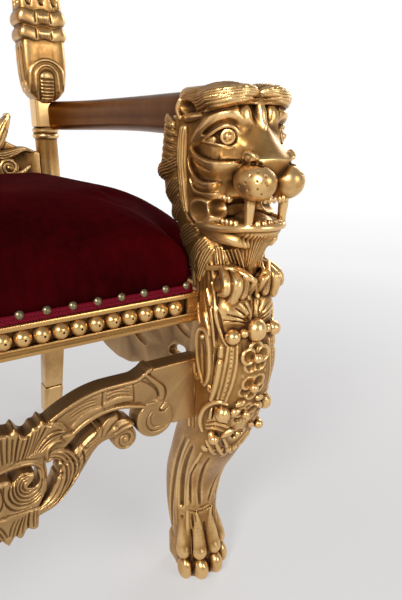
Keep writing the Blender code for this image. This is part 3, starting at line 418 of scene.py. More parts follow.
def lion_base(v):
    """Trunk and leg as a stack of soft rectangles, then the masses of the head."""
    sl, (u, y, z) = v.axes(None, (9, 9, 0.690))
    t = catmull(LION_BODY, 4)
    zz = z[0, 0, :]
    ym, hx, hy = (np.interp(zz, t[:, 0], t[:, k])[None, None, :] for k in (1, 2, 3))
    e = 2.5
    r = ((np.abs(u) / hx) ** e + (np.abs(y - ym) / hy) ** e) ** (1 / e)
    v.d[sl] = ((r - 1.0) * np.minimum(hx, hy)).astype(np.float32)
    # mane mass, neck boss for the arm, face block, lower face and hair cap
    v.box((0, -0.2480, 0.6320), (0.0500, 0.0370, 0.0520), k=0.008, rad=0.030)
    v.box((0, -0.2450, 0.6970), (0.0226, 0.0316, 0.0272), k=0.004, rad=0.012)
    v.box((0, -0.2960, 0.6640), (0.0470, 0.0520, 0.0440), k=0.006, rad=0.020)
    v.box((0, -0.2980, 0.6260), (0.0465, 0.0410, 0.0300), k=0.006, rad=0.016)
    v.ell((0, -0.3340, 0.6880), (0.0230, 0.0235, 0.0240), 0.006)
    v.box((0, -0.3020, 0.7040), (0.0510, 0.0430, 0.0150), k=0.004, rad=0.0145, R=rot(-3))
    v.ell((0.0255, -0.3250, 0.7075), (0.0262, 0.0330, 0.0155), 0.006)
    v.ell((0, -0.3000, 0.7080), (0.0440, 0.0420, 0.0150), 0.006)
    # muzzle, jaw and beard
    v.ell((0, -0.3400, 0.6380), (0.0340, 0.0350, 0.0200), 0.010)
    v.ell((0.0190, -0.3712, 0.6247), (0.0200, 0.0272, 0.0202), 0.0030)
    v.ell((0, -0.3370, 0.5700), (0.0330, 0.0400, 0.0095), 0.006)
    sl, (u, y, z) = v.axes((0, -0.390, 0.505), (0.045, -0.290, 0.580))
    b = catmull(((0.580, -0.3370, 0.0350, 0.0400), (0.568, -0.3350, 0.0300, 0.0370), (0.556, -0.3320, 0.0245, 0.0315), (0.545, -0.3290, 0.0200, 0.0280),
                 (0.530, -0.3250, 0.0165, 0.0255), (0.515, -0.3230, 0.0140, 0.0240), (0.500, -0.3230, 0.0120, 0.0200)), 4)[::-1]
    ym, hx, hy = (np.interp(z[0, 0, :], b[:, 0], b[:, k])[None, None, :] for k in (1, 2, 3))
    r = ((np.abs(u) / hx) ** 2.3 + (np.abs(y - ym) / hy) ** 2.3) ** (1 / 2.3)
    v.put(sl, ((r - 1.0) * np.minimum(hx, hy)).astype(np.float32), 0.004, 'add')


def lion_face(v):
    # nose: broad bridge, blunt at the tip, pointed underside let in between the muzzle pads
    sl, (u, y, z) = v.axes((0, -0.401, 0.612), (0.036, -0.325, 0.700))
    au = np.abs(u)
    notch = smax((au - 0.0232 * np.clip((z - 0.6262) / 0.0200, 0, 1.2)) * 0.8, 0.6262 - z, 0.001)
    v.put(sl, np.maximum(notch, y + 0.345).astype(np.float32), 0.0012, 'cut')
    up = np.clip(z - 0.6480, 0, None)
    yf = -0.3828 + 0.700 * up + au * au * (4.0 + up * 1500)
    yf = yf + np.clip(0.6480 - z, 0, None) * 0.10
    s = (yf - y) * (0.62 + 0.36 * step01((0.650 - z) / 0.006))
    w = 0.0250 - 0.10 * up
    w = np.where(z < 0.6480, 0.0240 * np.clip((z - 0.6265) / 0.0200, 0, 1), w)
    s = smax(s, (au - w) * 0.9, 0.0040)
    s = smax(s, (0.6265 - z), 0.003)
    s = np.maximum(s, y + 0.335)
    v.put(sl, s.astype(np.float32), 0.0030, 'add')
    v.emboss([(0.0, -0.384, 0.6490, 0.0220), (0.0, -0.384, 0.6460, 0.0220)], 0.0006, ends=0)
    # nostril wings and nostrils
    v.ell((0.0245, -0.3705, 0.6490), (0.0056, 0.0086, 0.0056), 0.003)
    v.rope([(0.0235, -0.3815, 0.6480, 0.0016), (0.0268, -0.3770, 0.6520, 0.0022), (0.0285, -0.3700, 0.6545, 0.0022), (0.0290, -0.3640, 0.6520, 0.0018), (0.0285, -0.3620, 0.6480, 0.0012)], 0.0014)
    v.ell((0.0210, -0.3835, 0.6425), (0.0040, 0.0050, 0.0026), 0.0012, op='cut')
    v.ell((0.0262, -0.3775, 0.6440), (0.0032, 0.0050, 0.0024), 0.0010, op='cut')
    # forehead: brow bands, a knob each side and a tongue between them
    v.rope([(0.0440, -0.2960, 0.6640, 0.0060), (0.0450, -0.3160, 0.6770, 0.0080), (0.0410, -0.3330, 0.6880, 0.0088), (0.0330, -0.3420, 0.6920, 0.0088),
            (0.0240, -0.3470, 0.6890, 0.0070), (0.0170, -0.3500, 0.6840, 0.0050)], 0.005)
    v.rope([(0.0175, -0.3440, 0.7010, 0.0050), (0.0172, -0.3480, 0.6940, 0.0064), (0.0150, -0.3505, 0.6870, 0.0046), (0.0115, -0.3540, 0.6810, 0.0024)], 0.005)
    v.rope([(0.0, -0.3480, 0.7030, 0.0044), (0.0, -0.3525, 0.6950, 0.0056), (0.0, -0.3560, 0.6860, 0.0046), (0.0, -0.3615, 0.6770, 0.0020)], 0.004)
    v.emboss([(0.0085, -0.3540, 0.7030, 0.0022), (0.0080, -0.3590, 0.6940, 0.0026), (0.0060, -0.3600, 0.6840, 0.0024), (0.0030, -0.3640, 0.6780, 0.0016)], -0.0010)
    v.emboss([(0.0250, -0.3480, 0.7000, 0.0024), (0.0255, -0.3520, 0.6935, 0.0026), (0.0220, -0.3540, 0.6860, 0.0020)], -0.0008)
    # socket: a hollow between brow edge and lid
    v.emboss([(0.0480, -0.3110, 0.6700, 0.0030), (0.0475, -0.3260, 0.6765, 0.0046), (0.0440, -0.3380, 0.6815, 0.0052), (0.0370, -0.3470, 0.6840, 0.0056),
              (0.0300, -0.3500, 0.6820, 0.0046), (0.0262, -0.3505, 0.6765, 0.0030)], -0.0038, steps=6, ends=0.16)
    v.ell((0.0215, -0.3425, 0.6640), (0.0110, 0.0125, 0.0200), 0.008, rot(0, -8, 0))
    ne = np.array((0.66, -0.74, 0.10))
    ne = ne / np.linalg.norm(ne)
    E = np.array((0.0362, -0.3452, 0.6695))
    v.rope([(0.0300, -0.3490, 0.6610, 0.0016), (0.0305, -0.3492, 0.6665, 0.0070), (0.0367, -0.3460, 0.6697, 0.0108), (0.0420, -0.3390, 0.6697, 0.0080),
            (0.0455, -0.3310, 0.6680, 0.0046), (0.0476, -0.3210, 0.6655, 0.0012)], 0.001, flat=(ne, 0.55), op='cut')
    v.ell(E - ne * 0.0064, 0.0100, 0.0006)
    v.rope([(0.0405, -0.3370, 0.6675, 0.0050), (0.0445, -0.3290, 0.6662, 0.0032), (0.0468, -0.3215, 0.6650, 0.0008)], 0.001)
    t1 = np.cross(ne, (0, 0, 1.0))
    t1 /= np.linalg.norm(t1)
    t2 = np.cross(t1, ne)
    for rad, dist, tube, op in ((0.0070, 0.0006, 0.0011, 'add'), (0.0052, 0.0024, 0.0008, 'cut')):
        C = E + ne * dist
        v.rope([tuple(C + (t1 * math.cos(a) + t2 * math.sin(a)) * rad) + (tube,) for a in np.linspace(0, 2 * math.pi, 19)], 0.0006, steps=1, op=op)
    v.ell(E + ne * 0.0016, 0.0038, 0.0006)
    v.ell(E + ne * 0.0056 - t1 * 0.0003, 0.0009, 0.0004, op='cut')
    # lids: the upper a crisp line, the lower a fine lip with a groove beneath
    v.rope([(0.0480, -0.3150, 0.6640, 0.0010), (0.0473, -0.3260, 0.6700, 0.0014), (0.0445, -0.3360, 0.6760, 0.0017), (0.0400, -0.3430, 0.6797, 0.0019),
            (0.0345, -0.3475, 0.6800, 0.0019), (0.0292, -0.3500, 0.6765, 0.0017), (0.0268, -0.3508, 0.6700, 0.0014), (0.0270, -0.3505, 0.6630, 0.0010)], 0.0012)
    v.rope([(0.0482, -0.3150, 0.6640, 0.0010), (0.0478, -0.3270, 0.6630, 0.0014), (0.0440, -0.3390, 0.6612, 0.0016), (0.0380, -0.3455, 0.6592, 0.0016),
            (0.0325, -0.3485, 0.6590, 0.0016), (0.0285, -0.3500, 0.6625, 0.0012)], 0.0010)
    v.emboss([(0.0488, -0.3130, 0.6610, 0.0013), (0.0484, -0.3290, 0.6600, 0.0017), (0.0440, -0.3420, 0.6580, 0.0018), (0.0370, -0.3490, 0.6562, 0.0018),
              (0.0290, -0.3520, 0.6570, 0.0012)], -0.0016)
    # cheeks: three shells, each ending in a sharp lower edge over a hollow
    side = (0.86, -0.50, 0.0)
    v.emboss([(0.0475, -0.2940, 0.6600, 0.0020), (0.0480, -0.3010, 0.6540, 0.0120), (0.0480, -0.3120, 0.6490, 0.0175), (0.0460, -0.3260, 0.6460, 0.0180),
              (0.0420, -0.3370, 0.6450, 0.0175), (0.0340, -0.3500, 0.6450, 0.0130), (0.0270, -0.3560, 0.6460, 0.0050)], 0.0075, up=side, ledge=-1, ends=0.05, steps=6)
    v.emboss([(0.0475, -0.2900, 0.6500, 0.0020), (0.0482, -0.2950, 0.6370, 0.0100), (0.0482, -0.3040, 0.6270, 0.0140), (0.0480, -0.3150, 0.6225, 0.0140),
              (0.0465, -0.3290, 0.6225, 0.0105), (0.0420, -0.3400, 0.6240, 0.0050)], 0.0075, up=side, ledge=-1, ends=0.05, steps=6)
    v.emboss([(0.0470, -0.2870, 0.6250, 0.0020), (0.0470, -0.2960, 0.6130, 0.0080), (0.0465, -0.3100, 0.6100, 0.0090), (0.0440, -0.3260, 0.6105, 0.0070),
              (0.0390, -0.3370, 0.6120, 0.0040)], 0.0030, up=side, ledge=-1, ends=0.05, steps=6)
    for e in ([(0.0490, -0.2960, 0.6480, 0.0030), (0.0500, -0.3060, 0.6420, 0.0044), (0.0490, -0.3200, 0.6385, 0.0050), (0.0460, -0.3320, 0.6375, 0.0050), (0.0400, -0.3440, 0.6380, 0.0036)],
              [(0.0490, -0.2960, 0.6260, 0.0026), (0.0500, -0.3060, 0.6205, 0.0036), (0.0490, -0.3200, 0.6185, 0.0036), (0.0450, -0.3340, 0.6195, 0.0026)]):
        v.emboss(e, -0.0044, steps=5)
    # whisker holes
    for a, b in ((60, 24), (38, 36), (72, 2), (42, 8), (16, 24), (92, -8), (64, -18), (40, -14), (66, -36), (14, -4), (26, -30), (20, 4)):
        a, b = math.radians(a), math.radians(b)
        c = (0.0190 + 0.0200 * math.sin(a) * math.cos(b), -0.3712 - 0.0272 * math.cos(a) * math.cos(b), 0.6247 + 0.0202 * math.sin(b))
        v.ell(c, 0.0013, 0.0006, op='cut')
    v.emboss([(0.0, -0.3880, 0.6270, 0.0022), (0.0, -0.3940, 0.6160, 0.0026), (0.0, -0.3800, 0.6050, 0.0026)], -0.0018, ends=0.02)


def lion_mouth(v):
    # open mouth, right through from side to side, deeper in the middle
    v.box((0, -0.3750, 0.5960), (0.070, 0.0420, 0.0096), k=0.001, rad=0.0070, op='cut')
    v.ell((0, -0.3370, 0.5950), (0.0330, 0.0200, 0.0090), 0.002, op='cut')
    # upper molars, canines and front teeth
    for k in range(4):
        v.ell((0.0390 - 0.0016 * k, -0.3280 - 0.0065 * k, 0.6065 - 0.0004 * k), (0.0032, 0.0030, 0.0042), 0.001)
    v.rope([(0.0228, -0.3690, 0.6140, 0.0062), (0.0230, -0.3688, 0.6000, 0.0055), (0.0228, -0.3680, 0.5900, 0.0050), (0.0225, -0.3672, 0.5800, 0.0046)], 0.001)
    v.emboss([(0.0262, -0.3735, 0.6060, 0.0013), (0.0258, -0.3722, 0.5860, 0.0013)], -0.0010)
    v.emboss([(0.0210, -0.3755, 0.6060, 0.0013), (0.0210, -0.3740, 0.5860, 0.0013)], -0.0009)
    for k in range(3):
        v.ell((0.0035 + 0.0055 * k, -0.3850 + 0.0008 * k, 0.6070), (0.0026, 0.0026, 0.0040), 0.0008)
    # tongue, lip rim and lower teeth
    v.ell((0, -0.3460, 0.5790), (0.0170, 0.0280, 0.0095), 0.002)
    v.emboss([(0, -0.3730, 0.5860, 0.0016), (0, -0.3300, 0.5880, 0.0016)], -0.0010, ends=0.02)
    v.rope([(0.0440, -0.3040, 0.5735, 0.0056), (0.0410, -0.3270, 0.5725, 0.0052), (0.0350, -0.3480, 0.5735, 0.0044), (0.0280, -0.3640, 0.5755, 0.0040),
            (0.0185, -0.3735, 0.5762, 0.0038), (0.0080, -0.3775, 0.5762, 0.0038), (0.0, -0.3785, 0.5762, 0.0038)], 0.0025)
    for k in range(3):
        v.ell((0.0004 + 0.0074 * k, -0.3762 + 0.0012 * k * k * 0.5, 0.5806), (0.0034, 0.0030, 0.0040), 0.0008)
    for k in range(5):
        v.ell((0.0316 + 0.0013 * k, -0.3560 + 0.0062 * k, 0.5800), (0.0030, 0.0030, 0.0040), 0.0008)
    # hinge of the jaw: a scoop with a thick rim, open towards the mouth
    v.ell((0.0345, -0.3060, 0.5880), (0.0180, 0.0290, 0.0200), 0.0020)
    v.ell((0.0560, -0.3130, 0.5890), (0.0120, 0.0300, 0.0158), 0.0008, rot(-6), op='cut')
    v.ell((0.0400, -0.3360, 0.5945), (0.0160, 0.0160, 0.0100), 0.0020, op='cut')
    v.emboss([(0.0440, -0.2780, 0.6060, 0.0018), (0.0470, -0.2775, 0.5920, 0.0022), (0.0470, -0.2820, 0.5790, 0.0024), (0.0455, -0.2980, 0.5700, 0.0024), (0.0430, -0.3120, 0.5665, 0.0020)], -0.0030)
    # jaw bar running down to the combed beard
    v.rope([(0.0400, -0.2980, 0.5690, 0.0050), (0.0360, -0.3270, 0.5640, 0.0075), (0.0270, -0.3480, 0.5600, 0.0070), (0.0180, -0.3560, 0.5560, 0.0050)], 0.004)
    v.emboss([(0.0, -0.3720, 0.5690, 0.0300), (0.0, -0.3630, 0.5580, 0.0235), (0.0, -0.3550, 0.5420, 0.0175), (0.0, -0.3490, 0.5220, 0.0140)], 0.0002, up=(0, -1, 0.1), lim=0.026,
             profile='flat', lines=15, amp=0.0007, ends=0.06)
    v.rope([(0.0450, -0.2960, 0.5590, 0.0016), (0.0420, -0.3150, 0.5540, 0.0030), (0.0350, -0.3350, 0.5480, 0.0034), (0.0260, -0.3480, 0.5410, 0.0030), (0.0190, -0.3540, 0.5350, 0.0014)], 0.0015, op='cut')


def lion_hair(v):
    # fringe: strands nested from the parting outwards, then round to the ear
    f = [(0.0008, -0.3530, 0.7115, 0.0045), (0.0100, -0.3570, 0.7140, 0.0070), (0.0220, -0.3580, 0.7135, 0.0092), (0.0350, -0.3500, 0.7105, 0.0102),
         (0.0460, -0.3340, 0.7070, 0.0105), (0.0515, -0.3120, 0.7040, 0.0100), (0.0520, -0.2880, 0.7040, 0.0070)]
    v.rope([(p[0], p[1] + 0.0070, p[2], p[3] * 0.78) for p in f[:5]], 0.003)
    v.emboss(f, 0.0004, up=(0.62, -0.72, 0.30), lim=0.030, profile='flat', lines=7, amp=0.0007, ends=0.04, steps=10)
    g = [(0.0010, -0.3440, 0.7190, 0.0030), (0.0110, -0.3400, 0.7215, 0.0080), (0.0240, -0.3280, 0.7215, 0.0130), (0.0340, -0.3060, 0.7180, 0.0150),
         (0.0380, -0.2820, 0.7140, 0.0140), (0.0380, -0.2640, 0.7090, 0.0100)]
    v.emboss(g, 0.0004, up=(0.25, -0.10, 1.0), lim=0.030, profile='flat', lines=9, amp=0.0006, ends=0.04, steps=10)
    v.emboss([(0.0008, -0.3300, 0.7250, 0.0030), (0.0060, -0.3120, 0.7260, 0.0060), (0.0120, -0.2860, 0.7240, 0.0080), (0.0140, -0.2660, 0.7190, 0.0070)], 0.0004, up=(0, 0, 1.0), lim=0.020,
             profile='flat', lines=5, amp=0.0006, ends=0.05, steps=6)
    v.emboss([(0.0, -0.3580, 0.7080, 0.0022), (0.0, -0.3560, 0.7150, 0.0026), (0.0, -0.3440, 0.7230, 0.0026), (0.0, -0.3200, 0.7260, 0.0020), (0.0, -0.2800, 0.7250, 0.0010)], -0.0026, ends=0.02)
    # crisp lower edge of the fringe and the hollow below it
    v.emboss([(0.0100, -0.3560, 0.7030, 0.0034), (0.0220, -0.3560, 0.7010, 0.0044), (0.0370, -0.3480, 0.6985, 0.0044), (0.0480, -0.3330, 0.6940, 0.0040), (0.0510, -0.3180, 0.6900, 0.0024)], -0.0034, steps=6, ends=0.1)
    v.rope([(0.0150, -0.3500, 0.7035, 0.0014), (0.0260, -0.3520, 0.7030, 0.0022), (0.0370, -0.3470, 0.7010, 0.0024), (0.0460, -0.3350, 0.6975, 0.0020), (0.0500, -0.3220, 0.6940, 0.0012)], 0.0010)
    # ear: hollow under the hair, bright rim behind and a leaf-shaped lobe below
    v.ell((0.0560, -0.2880, 0.6985), (0.0140, 0.0180, 0.0088), 0.0015, rot(10), op='cut')
    v.rope([(0.0455, -0.2760, 0.6855, 0.0026), (0.0474, -0.2880, 0.6885, 0.0046), (0.0476, -0.3010, 0.6895, 0.0040), (0.0468, -0.3130, 0.6905, 0.0012)], 0.002)
    v.rope([(0.0510, -0.2720, 0.7070, 0.0022), (0.0520, -0.2680, 0.6980, 0.0024), (0.0500, -0.2700, 0.6880, 0.0022)], 0.0012)
    # combed band that frames the face, from the ear down to the jaw
    F = [(0.0470, -0.2770, 0.6830, 0.0040), (0.0478, -0.2740, 0.6680, 0.0070), (0.0482, -0.2730, 0.6500, 0.0076), (0.0480, -0.2730, 0.6320, 0.0072),
         (0.0478, -0.2750, 0.6130, 0.0062), (0.0474, -0.2760, 0.5980, 0.0056), (0.0466, -0.2790, 0.5800, 0.0050)]
    v.emboss(F, 0.0022, up=(1, 0, 0), lim=0.014, profile='dome', pitch=0.0034, amp=0.0007, ends=0.06, steps=6)
    v.emboss([(p[0], p[1] - p[3] - 0.0016, p[2], 0.0016) for p in F[:5]], -0.0022, steps=5)


def lion_mane(v):
    # short tufts behind the ear, over the arm's end
    for k in range(6):
        z = 0.6850 - 0.0085 * k
        o = 0.0018 * k
        s = [(0.0440, -0.2640, z - 0.0070, 0.0024), (0.0485, -0.2530, z - 0.0045, 0.0048), (0.0480, -0.2400 + o, z + 0.0010, 0.0040), (0.0440, -0.2300 + o, z + 0.0080, 0.0008)]
        v.rope(s, 0.0010)
        v.emboss([(p[0] + 0.004, p[1], p[2] + 0.0012, max(p[3], 0.0012)) for p in s], 0.0002, up=(1, 0, 0), lim=0.010, profile='flat', lines=3, amp=0.0005, ends=0.05, steps=5)
    # locks down the side of the neck, combed along their length
    L = (((0.0470, -0.2660, 0.6400, 0.0050), (0.0505, -0.2480, 0.6340, 0.0110), (0.0500, -0.2290, 0.6290, 0.0135), (0.0440, -0.2130, 0.6200, 0.0080)),
         ((0.0460, -0.2690, 0.6190, 0.0050), (0.0480, -0.2580, 0.6110, 0.0100), (0.0475, -0.2460, 0.6020, 0.0110), (0.0440, -0.2360, 0.5920, 0.0070)),
         ((0.0460, -0.2710, 0.6000, 0.0050), (0.0478, -0.2620, 0.5910, 0.0095), (0.0465, -0.2510, 0.5800, 0.0105), (0.0430, -0.2430, 0.5690, 0.0060)))
    for s in L:
        v.rope([(p[0] - 0.0060, p[1], p[2], p[3] * 0.8) for p in s], 0.003)
        v.emboss(list(s), 0.0010, up=(0.95, 0.3, 0.0), lim=0.016, profile='flat', pitch=0.0035, amp=0.0008, ends=0.08)
    # three fans below the jaw and the long hair of the breast
    B = ((((0.0430, -0.3010, 0.5690, 0.0060), (0.0465, -0.2850, 0.5610, 0.0110), (0.0460, -0.2680, 0.5520, 0.0125), (0.0420, -0.2560, 0.5440, 0.0080)), (1.0, 0.0, 0.0)),
         (((0.0430, -0.3130, 0.5560, 0.0060), (0.0440, -0.3000, 0.5430, 0.0100), (0.0430, -0.2880, 0.5280, 0.0110), (0.0400, -0.2790, 0.5140, 0.0070)), (1.0, -0.10, 0.0)),
         (((0.0400, -0.3200, 0.5480, 0.0050), (0.0410, -0.3110, 0.5340, 0.0080), (0.0405, -0.3020, 0.5180, 0.0085), (0.0390, -0.2950, 0.5040, 0.0050)), (0.95, -0.30, 0.0)),
         (((0.0370, -0.3300, 0.5500, 0.0060), (0.0350, -0.3310, 0.5360, 0.0080), (0.0330, -0.3330, 0.5240, 0.0070), (0.0310, -0.3350, 0.5140, 0.0050)), (0.70, -0.70, 0.0)),
         (((0.0260, -0.3420, 0.5480, 0.0090), (0.0230, -0.3440, 0.5380, 0.0110), (0.0200, -0.3450, 0.5290, 0.0100), (0.0170, -0.3460, 0.5200, 0.0070)), (0.40, -0.90, 0.0)))
    for s, n in B:
        v.emboss(list(s), 0.0016, up=n, lim=0.018, profile='flat', pitch=0.0034, amp=0.0009, ends=0.06, steps=5)
    for s in (((0.0460, -0.2960, 0.5540, 0.0014), (0.0455, -0.2800, 0.5400, 0.0020), (0.0430, -0.2680, 0.5300, 0.0014)),
              ((0.0440, -0.3060, 0.5440, 0.0012), (0.0435, -0.2960, 0.5290, 0.0018), (0.0420, -0.2880, 0.5160, 0.0012)),
              ((0.0410, -0.3220, 0.5440, 0.0012), (0.0400, -0.3160, 0.5280, 0.0018), (0.0390, -0.3100, 0.5140, 0.0012))):
        v.emboss(list(s), -0.0030)
    # long hair lines down the inner side of the neck
    for k in range(6):
        o = 0.0075 * k
        v.rope([(0.0400 - 0.0006 * k, -0.2760 - o, 0.5350, 0.0016), (0.0405 - 0.0008 * k, -0.2830 - o, 0.5200, 0.0030), (0.0405 - 0.0008 * k, -0.2880 - o * 0.95, 0.5000, 0.0034),
                (0.0415 - 0.0006 * k, -0.2900 - o * 0.9, 0.4800, 0.0022)], 0.0014)


